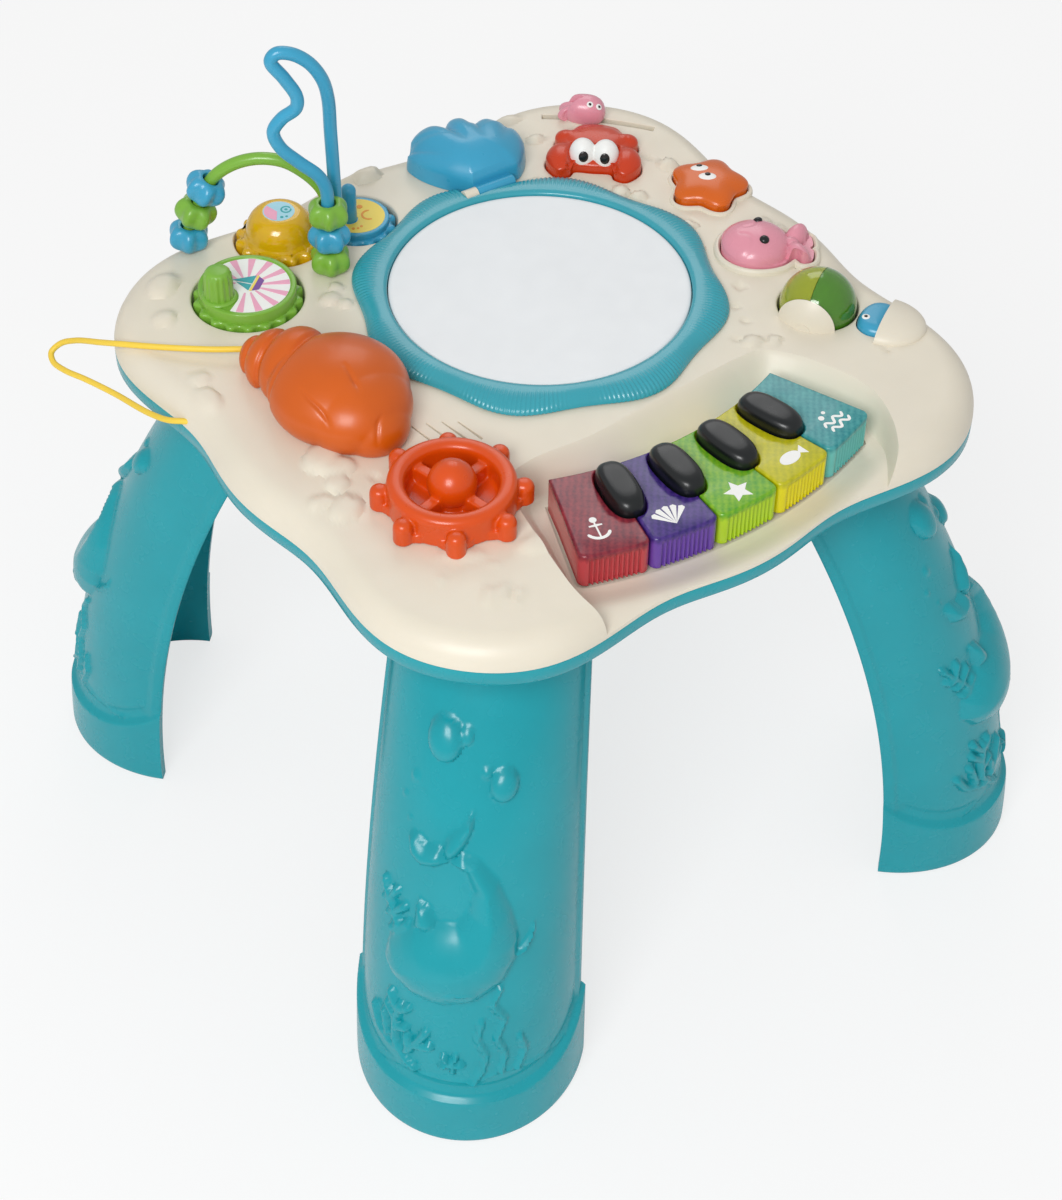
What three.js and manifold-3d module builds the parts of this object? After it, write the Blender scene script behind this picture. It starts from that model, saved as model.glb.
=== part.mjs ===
// A musical activity table for toddlers, in millimetres, with +Z up.
// The origin is on the floor under the middle of the table.
// The piano keys face -Y, the shell handset lies at the -X side, and a leg stands under each corner.
import * as THREE from "three";
import { mergeVertices } from "three/addons/utils/BufferGeometryUtils.js";
import Module from "manifold-3d";

const wasm = await Module();
wasm.setup();

// Clearances and shared sizes
const TOUCH_GAP = 0.3;
const RUNNING_GAP = 0.4;
const OVERRUN = 6;
const WALL = 2.6;
const FLAT_ENOUGH = 0.05;

// Table outline and the two shells
const JOINT_HEIGHT = 302.8;
const OUTLINE_RADIUS = 200;
const outlineWaveShares = [-0.113, 0.029, 0.008, -0.0025];
const DECK_RISE = 14;
const EDGE_ROUND = 15.5;
const LIP_HEIGHT = 10;
const LIP_ROUND = 2.4;
const BELLY_DEPTH = 24;
const BELLY_INSET = 21;
const BELLY_TAPER = 9;
const BELLY_ROUND = 3;

// Screw posts that hold the two shells together
const POST_RADIUS = 4.6;
const POST_SPLIT = 10;
const SCREW_RADIUS = 1.5;
const SCREW_HEAD_RADIUS = 3;
const SCREW_HEAD_HEIGHT = 1.8;
const SCREW_LENGTH = 20;
const POST_PLACES = [
  [-0.715 * OUTLINE_RADIUS, -0.5 * OUTLINE_RADIUS],
  [-0.735 * OUTLINE_RADIUS, 0.485 * OUTLINE_RADIUS],
  [0.515 * OUTLINE_RADIUS, 0.735 * OUTLINE_RADIUS],
  [0.7 * OUTLINE_RADIUS, -0.59 * OUTLINE_RADIUS],
];

// Legs
const LEG_FOOT_EDGE = 212.7;
const LEG_FLARE = 94.2;
const LEG_FLARE_POWER = 2.08;
const LEG_HALF_WIDTH = 58;
const LEG_HALF_WIDTH_TAPER = 12;
const LEG_DEPTH = 66;
const LEG_DEPTH_TAPER = 18;
const LEG_WALL = 3;
const LEG_RIDGE = 1.7;
const LEG_BAND_HEIGHT = 32;
const LEG_BAND_PROUD = 4;
const LEG_BAND_EAR = 24;
const LEG_PLATE = 3;
const LEG_PLUG_HEIGHT = 7;
const LEG_PLUG_INSET = 9;
const legAngles = [-90, -84, -82, -62, -42, -21, 0, 21, 42, 62, 82, 84, 90];
const legHeightShares = [0.28, 0.46, 0.62, 0.76, 0.89, 1];

// Moulded relief on the legs
const RELIEF_SIZE = 36;

// Drum
const DRUM_X = 23.5;
const DRUM_Y = 32.4;
const DRUM_RADIUS = 80.5;
const DRUM_TOP = 4.8;
const DRUM_PAD_THICKNESS = 3;
const DRUM_EDGE = 0.5;
const RING_RADIUS = 98;
const RING_LOBE = 3;
const RING_LOBES = 8;
const RING_CREST = 6.4;
const RING_NECK = 4.2;
const RING_NECK_DEPTH = 6;
const RING_LEDGE = 5;

// Steering wheel
const WHEEL_X = -108;
const WHEEL_Y = -75;
const WHEEL_RADIUS = 32;
const WHEEL_RIM_WIDTH = 9;
const WHEEL_RIM_HEIGHT = 17;
const WHEEL_KNOBS = 8;
const WHEEL_KNOB_RADIUS = 5;
const WHEEL_KNOB_CIRCLE = 35.2;
const WHEEL_KNOB_HEIGHT = 13;
const WHEEL_KNOB_ANGLE = 13.3;
const WHEEL_SPOKES = 4;
const WHEEL_SPOKE_WIDTH = 6;
const WHEEL_SPOKE_HEIGHT = 9;
const WHEEL_HUB_RADIUS = 10;
const WHEEL_BALL_RADIUS = 12.5;
const WHEEL_TOP = 26;
const WHEEL_STUB_RADIUS = 6;
const WHEEL_STUB_HEIGHT = 8;
const WHEEL_SCREW_LENGTH = 13;

// Gear train
const GEAR_MODULE = 3.15;
const GEAR_TOOTH_RISE = 1.3;
const GEAR_TOOTH_GAP = 0.3;
const GEAR_POCKET_FLOOR = 2;
const GEAR_POCKET_GAP = 1.7;
const GEAR_POST_RADIUS = 3;
const GREEN_X = -104;
const GREEN_Y = 119.5;
const GREEN_TEETH = 18;
const YELLOW_TEETH = 15;
const BLUE_TEETH = 13;
const YELLOW_ANGLE = 38.5;
const BLUE_ANGLE = -14;
const GREEN_TOOTH_TOP = 15;
const GREEN_TOP = 21.5;
const GREEN_DISC_RADIUS = 26;
const GREEN_LABEL_RADIUS = 23;
const GREEN_LABEL_DEPTH = 0.7;
const GREEN_KNOB_RADIUS = 8;
const GREEN_KNOB_RIBS = 14;
const GREEN_KNOB_OFFSET = 17;
const GREEN_KNOB_TOP = 39;
const YELLOW_TOOTH_TOP = 17;
const YELLOW_DOME_RADIUS = 18.7;
const YELLOW_DOME_TOP = 32;
const YELLOW_CAP_RADIUS = 9;
const BLUE_TOOTH_TOP = 13.5;
const BLUE_TOP = 17;
const BLUE_DISC_RADIUS = 17.5;
const BLUE_KNOB_RADIUS = 4.2;
const BLUE_KNOB_OFFSET = 5;
const BLUE_KNOB_TOP = 40;

// Bead wires and beads
const LEFT_STACK_X = -107.5;
const LEFT_STACK_Y = 173.2;
const RIGHT_STACK_X = -56;
const RIGHT_STACK_Y = 113;
const GREEN_FOOT_X = -47;
const GREEN_FOOT_Y = 127;
const BLUE_FOOT_X = -40.5;
const BLUE_FOOT_Y = 119.5;
const GREEN_WIRE_RADIUS = 3.1;
const BLUE_WIRE_RADIUS = 3.5;
const WIRE_ARCH = 73;
const BEAD_HEIGHT = 13.8;
const BEAD_GAP = 1.3;
const BEAD_TILT_GAP = 2.9;
const BEAD_RADIUS = 10.4;
const BEAD_LOBE = 0.9;
const BEAD_LOBES = 6;
const BEAD_BORE = 4.5;
const BEAD_SEAT = 0.5;
const BEAD_TILT_SEAT = 0.9;

// Scallop lid
const LID_X = 56;
const LID_Y = 118.5;
const LID_TURN = -3.5;
const LID_REACH = 61;
const LID_FAN_X = -1.8;
const LID_FAN_Y = -2.6;
const LID_TOP = 23;
const LID_BARREL_RADIUS = 3.8;
const LID_BARREL_LENGTH = 24;
const LID_AXIS_HEIGHT = 4.2;
const LID_PIN_RADIUS = 1.5;
const LID_EAR_WIDTH = 8;
const lidRimShares = [
  [18, 0.34], [30, 0.6], [42, 0.79], [48, 0.86], [54, 0.87], [60, 0.905], [67, 0.91], [72, 0.89], [78,
    0.97],
  [85, 0.98], [92, 0.9], [97, 1], [104, 1.01], [111, 0.98], [115, 0.93], [122, 0.9], [129, 0.74], [136,
    0.5],
];
const LID_WALL = 2.2;
const LID_WELL_DEPTH = 8;
const LID_WELL_INSET = 9;

// Push buttons
const BUTTON_SKIRT_GAP = 0.5;
const BUTTON_FLANGE = 2;
const BUTTON_FLANGE_THICKNESS = 1.6;
const CRAB_X = 120;
const CRAB_Y = 112;
const CRAB_TURN = -42;
const CRAB_TOP = 9;
const CRAB_EYE_RADIUS = 7;
const CRAB_REACH = 25.5;
const STAR_X = 154;
const STAR_Y = 52.5;
const STAR_REACH = 22;
const STAR_ARMS = 5;
const STAR_ARM_SHARE = 0.13;
const STAR_TURN = 37;
const STAR_TOP = 10;
const WHALE_BUTTON_X = 142.5;
const WHALE_BUTTON_Y = -6.5;
const WHALE_BUTTON_REACH = 21;
const WHALE_BUTTON_TURN = -37;
const WHALE_BUTTON_TOP = 15;
const WHALE_RING_WIDTH = 4;
const WHALE_RING_RISE = 3;

// Slider figure in its arc slot
const SLOT_RADIUS = 202;
const SLOT_WIDTH = 4.2;
const SLOT_START = 35;
const SLOT_END = 53.5;
const SLIDER_ANGLE = 46.7;
const SLIDER_REACH = 12.5;
const SLIDER_TOP = 15;
const SLIDER_KEEPER_RADIUS = 3.2;
const SLIDER_KEEPER_THICKNESS = 1.8;
const SLIDER_NECK_RADIUS = 1.7;

// Rolling ball under its cover
const BALL_X = 138.2;
const BALL_Y = -60.3;
const BALL_RADIUS = 20.6;
const BALL_FLAT = 19.4;
const BALL_WALL = 2.2;
const BALL_GAP = 1;
const BALL_AXLE_RADIUS = 2;
const BALL_AXLE_ANGLE = 29.4;
const BALL_COVER_WALL = 2.4;
const BALL_COVER_START = 18;
const BALL_LUG_RADIUS = 4;
const BALL_LUG_LENGTH = 4;

// Small fish that turns into a hollow mound
const FISH_X = 157.5;
const FISH_Y = -91.8;
const FISH_ANGLE = 29.5;
const FISH_REACH = 13;
const FISH_TOP = 4.5;
const FISH_MOUND_LENGTH = 18;
const FISH_MOUND_WIDTH = 21;
const FISH_MOUND_HEIGHT = 8.5;
const FISH_PIN_X = -17;
const FISH_PIN_Y = -6;
const FISH_PIN_RADIUS = 3;
const FISH_RING_RADIUS = 5.8;
const FISH_PLATE = 2;
const FISH_SCREW_LENGTH = 4.5;
const FISH_SWING = 12;
const FISH_SWING_STEPS = 6;

// Shell handset and its cord
const CONCH_X = -112;
const CONCH_Y = 18;
const CONCH_TURN = 112;
const CONCH_HALF_LENGTH = 43;
const CONCH_HEIGHT = 36;
const CONCH_COLLAR_RADIUS = 3.6;
const CONCH_COLLAR_LENGTH = 8;
const CORD_RADIUS = 1.6;
const CORD_TIP_HEIGHT = 20;
const CORD_HOLE_GAP = 0.9;
const CORD_POST_RADIUS = 4;

// Piano
const FAN_X = 9.6;
const FAN_Y = 90;
const KEYS = 5;
const KEY_PITCH = 8.6;
const KEY_BACK = 193.5;
const KEY_FRONT = 251.5;
const KEY_TOP = 17;
const KEY_SIDE_GAP = 0.9;
const KEY_CORNER = 7;
const KEY_EDGE = 1.3;
const KEY_LIFT = 2.3;
const KEY_FLOOR = -4.7;
const KEY_WELL_GAP = 1;
const KEY_WELL_WALL = 2.2;
const TRAY_FLOOR = -3;
const TRAY_LIP = 2;
const TRAY_SLOPE_START = 254;
const TRAY_SLOPE_END = 274;
const TRAY_BACK = 176;
const TRAY_LEFT_ANGLE = -23;
const TRAY_RIGHT_ANGLE = 26;
const TRAY_CORNER = 9;
const BLACK_HALF_WIDTH = 8;
const BLACK_HALF_LENGTH = 19.5;
const BLACK_TOP = 24.5;
const BLACK_GAP = 0.8;
const BLACK_STEM_RADIUS = 3;
const BLACK_TRAVEL = 2.4;

// Speaker, board, batteries and switch
const SPEAKER_X = -80;
const SPEAKER_Y = -32;
const SPEAKER_RADIUS = 26;
const SPEAKER_RIM = 2.4;
const SPEAKER_DEPTH = 13;
const SPEAKER_MAGNET_RADIUS = 14;
const SPEAKER_SLOTS = 4;
const SPEAKER_SLOT_WIDTH = 1.6;
const SPEAKER_SLOT_LENGTH = 26;
const SPEAKER_SLOT_PITCH = 7;
const SPEAKER_SLOT_ANGLE = 50;
const BOARD_X = 64;
const BOARD_Y = 46;
const BOARD_LENGTH = 84;
const BOARD_WIDTH = 58;
const BOARD_THICKNESS = 1.6;
const BOARD_HEIGHT = 12;
const BOARD_POST_RADIUS = 3;
const CELL_RADIUS = 7.2;
const CELL_LENGTH = 50;
const CELL_COUNT = 3;
const CELL_PITCH = 15;
const CELL_NUB_RADIUS = 2.6;
const CELL_NUB_LENGTH = 1.2;
const CELL_BOX_X = -14;
const CELL_BOX_Y = -5;
const CELL_BOX_GAP = 0.6;
const CELL_BOX_WALL = 2;
const CELL_BOX_HEIGHT = 17;
const DOOR_THICKNESS = 2.2;
const DOOR_GAP = 0.4;
const DOOR_EDGE = 3;
const SWITCH_X = 60;
const SWITCH_Y = -20;
const SWITCH_LENGTH = 10;
const SWITCH_WIDTH = 5;
const SWITCH_TRAVEL = 4;
const SWITCH_KNOB_DROP = 0.8;
const SWITCH_FLANGE = 2;

// Facets round each kind of round piece
const OUTLINE_STEPS = 60;
const EDGE_STEPS = 4;
const INSIDE_STEPS = 2;
const ARC_STEPS = 8;
const BIG_SIDES = 40;
const ROUND_SIDES = 20;
const SMALL_SIDES = 12;
const TINY_SIDES = 8;
const TOOTH_STEPS = 4;
const CORD_STEPS = 32;
const GREEN_WIRE_STEPS = 22;
const BLUE_WIRE_STEPS = 38;

const DECK_HEIGHT = JOINT_HEIGHT + DECK_RISE;
const DECK_UNDERSIDE = DECK_HEIGHT - WALL;
const BELLY_BOTTOM = JOINT_HEIGHT - BELLY_DEPTH;
const BELLY_FLOOR = BELLY_BOTTOM + WALL;
const LEG_TOP = BELLY_BOTTOM - TOUCH_GAP;

// Materials
function plastic(color, roughness = 0.35, opacity = 1) {
  const material = new THREE.MeshStandardMaterial({ color, roughness, metalness: 0 });
  material.transparent = opacity < 1;
  material.opacity = opacity;
  return material;
}

const CREAM = plastic("#e4decf");
const TEAL = plastic("#2a93a0");
const RING_TEAL = plastic("#3aa0b0");
const PAD_WHITE = plastic("#eaeded", 0.5);
const RED_ORANGE = plastic("#ef4a1c");
const ORANGE = plastic("#e0712a");
const LEAF_GREEN = plastic("#79bb3c");
const SKY_BLUE = plastic("#2f9dc8");
const CLEAR_YELLOW = plastic("#d9a514", 0.2, 0.85);
const CLEAR_GREEN = plastic("#4d9a2c", 0.15, 0.8);
const CLEAR_LIME = plastic("#c8c42a", 0.15, 0.8);
const CRAB_RED = plastic("#d4481d");
const STAR_ORANGE = plastic("#da701e");
const PINK = plastic("#e39aa9");
const BLACK = plastic("#14181a", 0.25);
const CORD_YELLOW = plastic("#f0cd48", 0.5);
const STEEL = new THREE.MeshStandardMaterial({ color: "#b9bcc0", roughness: 0.35, metalness: 1 });
const BOARD_GREEN = plastic("#1f6b3a", 0.6);
const CELL_GREY = plastic("#5d6166", 0.4);
const SPEAKER_GREY = plastic("#3b3e42", 0.6);
const keyColours = ["#93294a", "#3f2b8e", "#6fb32a", "#dccf1e", "#2fa0a2"];

const table = new THREE.Group();

// Turns a closed geometry into a solid with its faces pointing out
function solid(geometry) {
  const bare = geometry.clone();
  bare.deleteAttribute("normal");
  bare.deleteAttribute("uv");
  const merged = mergeVertices(bare);
  const places = merged.attributes.position.array;
  const faces = Array.from(merged.index.array);
  let volume = 0;
  const corners = [new THREE.Vector3(), new THREE.Vector3(), new THREE.Vector3()];
  for (let i = 0; i < faces.length; i += 3) {
    corners.forEach((corner, k) => corner.fromArray(places, 3 * faces[i + k]));
    volume += corners[0].dot(corners[1].clone().cross(corners[2]));
  }
  if (volume < 0) {
    faces.reverse();
  }
  const vertProperties = new Float32Array(places);
  const triVerts = new Uint32Array(faces);
  return new wasm.Manifold(new wasm.Mesh({ numProp: 3, vertProperties, triVerts }));
}

function geometryOf(body) {
  const mesh = body.asOriginal().simplify(FLAT_ENOUGH).getMesh();
  const geometry = new THREE.BufferGeometry();
  geometry.setAttribute("position", new THREE.BufferAttribute(mesh.vertProperties, 3));
  geometry.setIndex(new THREE.BufferAttribute(mesh.triVerts, 1));
  return geometry;
}

function add(name, body, material, parent = table) {
  const mesh = new THREE.Mesh(geometryOf(body), material);
  mesh.name = name;
  parent.add(mesh);
  return mesh;
}

function groupAt(x, y, z, turn = 0) {
  const group = new THREE.Group();
  group.position.set(x, y, z);
  group.rotation.z = radians(turn);
  table.add(group);
  return group;
}

function radians(degrees) {
  return degrees * Math.PI / 180;
}

function around(radius, degrees) {
  return [radius * Math.cos(radians(degrees)), radius * Math.sin(radians(degrees))];
}

// Basic solids along Z
function rod(radius, low, high, sides = SMALL_SIDES, x = 0, y = 0, topRadius = radius) {
  const geometry = new THREE.CylinderGeometry(topRadius, radius, high - low, sides);
  geometry.rotateX(Math.PI / 2);
  geometry.translate(x, y, (low + high) / 2);
  return solid(geometry);
}

function block(width, depth, low, high, x = 0, y = 0) {
  const geometry = new THREE.BoxGeometry(width, depth, high - low);
  geometry.translate(x, y, (low + high) / 2);
  return solid(geometry);
}

function ellipsoid(halfX, halfY, halfZ, across = SMALL_SIDES, up = SMALL_SIDES / 2) {
  const geometry = new THREE.SphereGeometry(1, across, up);
  geometry.rotateX(Math.PI / 2);
  geometry.scale(halfX, halfY, halfZ);
  return solid(geometry);
}

function turned(profile, sides = ROUND_SIDES) {
  const points = profile.map(([radius, height]) => new THREE.Vector2(radius, height));
  const geometry = new THREE.LatheGeometry(points, sides);
  geometry.rotateX(Math.PI / 2);
  return solid(geometry);
}

function prism(outline, low, high) {
  const shape = new THREE.Shape(outline.map(([x, y]) => new THREE.Vector2(x, y)));
  const geometry = new THREE.ExtrudeGeometry(shape, { depth: high - low, bevelEnabled: false });
  geometry.translate(0, 0, low);
  return solid(geometry);
}

// A solid through a stack of rings, each a list of points or one point where the form closes
function loft(rings) {
  const places = [];
  const faces = [];
  const starts = [];
  for (const ring of rings) {
    starts.push(places.length / 3);
    ring.forEach((point) => places.push(...point));
  }
  for (let r = 0; r + 1 < rings.length; r++) {
    const count = Math.max(rings[r].length, rings[r + 1].length);
    const lowStep = rings[r].length === 1 ? 0 : 1;
    const highStep = rings[r + 1].length === 1 ? 0 : 1;
    for (let i = 0; i < count; i++) {
      const j = (i + 1) % count;
      const low = [starts[r] + lowStep * i, starts[r] + lowStep * j];
      const high = [starts[r + 1] + highStep * i, starts[r + 1] + highStep * j];
      if (lowStep) {
        faces.push(low[0], low[1], high[1]);
      }
      if (highStep) {
        faces.push(low[0], high[1], high[0]);
      }
    }
  }
  const last = rings.length - 1;
  [0, last].forEach((r) => {
    if (rings[r].length > 1) {
      const flat = rings[r].map(([x, y]) => new THREE.Vector2(x, y));
      for (const face of THREE.ShapeUtils.triangulateShape(flat, [])) {
        const turnedFace = r === 0 ? [face[2], face[1], face[0]] : face;
        turnedFace.forEach((corner) => faces.push(starts[r] + corner));
      }
    }
  });
  const geometry = new THREE.BufferGeometry();
  geometry.setAttribute("position", new THREE.Float32BufferAttribute(places, 3));
  geometry.setIndex(faces);
  return solid(geometry);
}

// An outline moved outwards by a distance, square to its sides
function grown(outline, distance) {
  const count = outline.length;
  let area = 0;
  outline.forEach(([x, y], i) => {
    const [nextX, nextY] = outline[(i + 1) % count];
    area += x * nextY - y * nextX;
  });
  const side = Math.sign(area) * distance;
  return outline.map(([x, y], i) => {
    const [backX, backY] = outline[(i + count - 1) % count];
    const [nextX, nextY] = outline[(i + 1) % count];
    const before = new THREE.Vector2(y - backY, backX - x).normalize();
    const after = new THREE.Vector2(nextY - y, x - nextX).normalize();
    const middle = before.clone().add(after).normalize();
    const reach = side / Math.max(middle.dot(after), 0.5);
    return [x + middle.x * reach, y + middle.y * reach];
  });
}

function atHeight(outline, height, share = 1) {
  return outline.map(([x, y]) => [x * share, y * share, height]);
}

function moved(outline, x, y, turn = 0) {
  const cos = Math.cos(radians(turn));
  const sin = Math.sin(radians(turn));
  return outline.map(([px, py]) => [x + px * cos - py * sin, y + px * sin + py * cos]);
}

function tube(points, radius, steps) {
  const path = new THREE.CatmullRomCurve3(points.map((point) => new THREE.Vector3(...point)));
  const section = new THREE.Shape();
  for (let i = 0; i < TINY_SIDES; i++) {
    const [x, y] = around(radius, (360 * i) / TINY_SIDES);
    if (i === 0) {
      section.moveTo(x, y);
    } else {
      section.lineTo(x, y);
    }
  }
  section.closePath();
  return solid(new THREE.ExtrudeGeometry(section, { steps, extrudePath: path, bevelEnabled: false }));
}

// The table outline: four soft corners and slightly bowed sides
function outlineRadius(degrees) {
  let share = 1;
  outlineWaveShares.forEach((wave, k) => {
    share += wave * Math.cos(radians(4 * (k + 1) * degrees));
  });
  return OUTLINE_RADIUS * share;
}

function outlineRing(height, inset) {
  const ring = [];
  for (let i = 0; i < OUTLINE_STEPS; i++) {
    const degrees = (360 * i) / OUTLINE_STEPS;
    const [x, y] = around(outlineRadius(degrees) - inset, degrees);
    ring.push([x, y, height]);
  }
  return ring;
}

// Rings over the rounded edge of the deck, for its outer or its inner face
function deckRings(inset, rise, steps, start) {
  const rings = [];
  if (start < JOINT_HEIGHT) {
    rings.push(outlineRing(start, inset));
  }
  for (let i = 0; i <= steps; i++) {
    const turn = radians((90 * i) / steps);
    const height = JOINT_HEIGHT + rise * Math.sin(turn);
    rings.push(outlineRing(height, inset + EDGE_ROUND * (1 - Math.cos(turn))));
  }
  return rings;
}

// Piano layout in fan coordinates: angle from -Y, radius from the fan centre
function fanPoint(radius, degrees) {
  return [FAN_X + radius * Math.sin(radians(degrees)), FAN_Y - radius * Math.cos(radians(degrees))];
}

function fanArc(radius, from, to, steps) {
  const points = [];
  for (let i = 0; i <= steps; i++) {
    points.push(fanPoint(radius, from + ((to - from) * i) / steps));
  }
  return points;
}

const HALF_FAN = (KEY_PITCH * KEYS) / 2;

function fanWell(front, growth) {
  const side = (growth / KEY_FRONT) * (180 / Math.PI);
  const left = -HALF_FAN - side;
  const right = HALF_FAN + side;
  const back = fanArc(KEY_BACK - growth, right, left, ARC_STEPS);
  return [...fanArc(front + growth, left, right, ARC_STEPS), ...back];
}

function trayOutline(front, growth) {
  const side = (growth / TRAY_BACK) * (180 / Math.PI);
  const left = TRAY_LEFT_ANGLE - side;
  const right = TRAY_RIGHT_ANGLE + side;
  const back = TRAY_BACK - growth;
  const turn = (TRAY_CORNER / TRAY_BACK) * (180 / Math.PI);
  return [
    ...fanArc(front, left, right, ARC_STEPS),
    fanPoint(back + TRAY_CORNER, right),
    ...fanArc(back, right - turn, left + turn, ARC_STEPS),
    fanPoint(back + TRAY_CORNER, left),
  ];
}

function blackOutline(growth) {
  const outline = [];
  const power = 0.75;
  for (let i = 0; i < SMALL_SIDES; i++) {
    const turn = radians((360 * i) / SMALL_SIDES);
    const x = Math.sign(Math.cos(turn)) * Math.abs(Math.cos(turn)) ** power;
    const y = Math.sign(Math.sin(turn)) * Math.abs(Math.sin(turn)) ** power;
    outline.push([(BLACK_HALF_WIDTH + growth) * x, (BLACK_HALF_LENGTH + growth) * y]);
  }
  return outline;
}

const blackRing = KEY_BACK + BLACK_HALF_LENGTH + TOUCH_GAP;
const blackAngles = [];
for (let k = 1; k < KEYS; k++) {
  blackAngles.push((k - KEYS / 2) * KEY_PITCH);
}

// Gear layout
function pitchRadius(teeth) {
  return (GEAR_MODULE * teeth) / 2;
}

const YELLOW_REACH = pitchRadius(GREEN_TEETH) + pitchRadius(YELLOW_TEETH);
const BLUE_REACH = pitchRadius(YELLOW_TEETH) + pitchRadius(BLUE_TEETH);
const [yellowStepX, yellowStepY] = around(YELLOW_REACH, YELLOW_ANGLE);
const YELLOW_X = GREEN_X + yellowStepX;
const YELLOW_Y = GREEN_Y + yellowStepY;
const [blueStepX, blueStepY] = around(BLUE_REACH, BLUE_ANGLE);
const BLUE_X = YELLOW_X + blueStepX;
const BLUE_Y = YELLOW_Y + blueStepY;
const gearPlaces = [
  [GREEN_X, GREEN_Y, GREEN_TEETH],
  [YELLOW_X, YELLOW_Y, YELLOW_TEETH],
  [BLUE_X, BLUE_Y, BLUE_TEETH],
];
const GEAR_FLOOR = JOINT_HEIGHT + GEAR_POCKET_FLOOR;

function gearOutline(teeth, phase) {
  const outline = [];
  const steps = teeth * TOOTH_STEPS;
  for (let i = 0; i < steps; i++) {
    const degrees = (360 * i) / steps;
    const wave = Math.cos(radians(teeth * degrees) - phase);
    outline.push(around(pitchRadius(teeth) - GEAR_TOOTH_GAP + GEAR_TOOTH_RISE * wave, degrees));
  }
  return outline;
}

// Outlines of the push buttons, each about its own centre
function crabOutline() {
  const shape = [
    [0, -0.5], [0.4, -0.5], [0.52, -0.7], [0.78, -0.75], [1.04, -0.4], [0.98, -0.02], [0.8, 0.14],
    [0.92, 0.42], [0.84, 0.66], [0.6, 0.7], [0.4, 0.92], [0, 1],
  ];
  const left = shape.slice(1, -1).reverse().map(([x, y]) => [-x, y]);
  return [...shape, ...left].map(([x, y]) => [CRAB_REACH * x, CRAB_REACH * y]);
}

function starOutline() {
  const outline = [];
  const steps = 6 * STAR_ARMS;
  for (let i = 0; i < steps; i++) {
    const degrees = (360 * i) / steps;
    const wave = Math.cos(radians(STAR_ARMS * (degrees - STAR_TURN)));
    outline.push(around(STAR_REACH * (1 - STAR_ARM_SHARE + STAR_ARM_SHARE * wave), degrees));
  }
  return outline;
}

function whaleOutline(growth) {
  const shares = [
    [-1, 0], [-0.93, -0.38], [-0.68, -0.68], [-0.3, -0.85], [0.15, -0.85], [0.55, -0.7], [0.88, -0.4],
    [1.08, -0.6], [1.32, -0.5], [1.38, -0.15], [1.3, 0],
  ];
  const upper = shares.slice(1, -1).reverse().map(([x, y]) => [x, -y]);
  const reach = WHALE_BUTTON_REACH;
  return grown([...shares, ...upper].map(([x, y]) => [reach * x, reach * y]), growth);
}

function buttonPlaced(outline, x, y, turn) {
  return moved(grown(outline, BUTTON_SKIRT_GAP), x, y, turn);
}

// Scallop lid outline about the middle of its hinge
function lidOutline(inset) {
  const outline = lidRimShares.map(([degrees, share]) => {
    const [x, y] = around(LID_REACH * share, degrees);
    return [LID_FAN_X + x, LID_FAN_Y + y];
  });
  const halfBarrel = LID_BARREL_LENGTH / 2;
  outline.unshift([halfBarrel, LID_BARREL_RADIUS]);
  outline.push([-halfBarrel, LID_BARREL_RADIUS]);
  return grown(outline, -inset);
}

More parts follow.
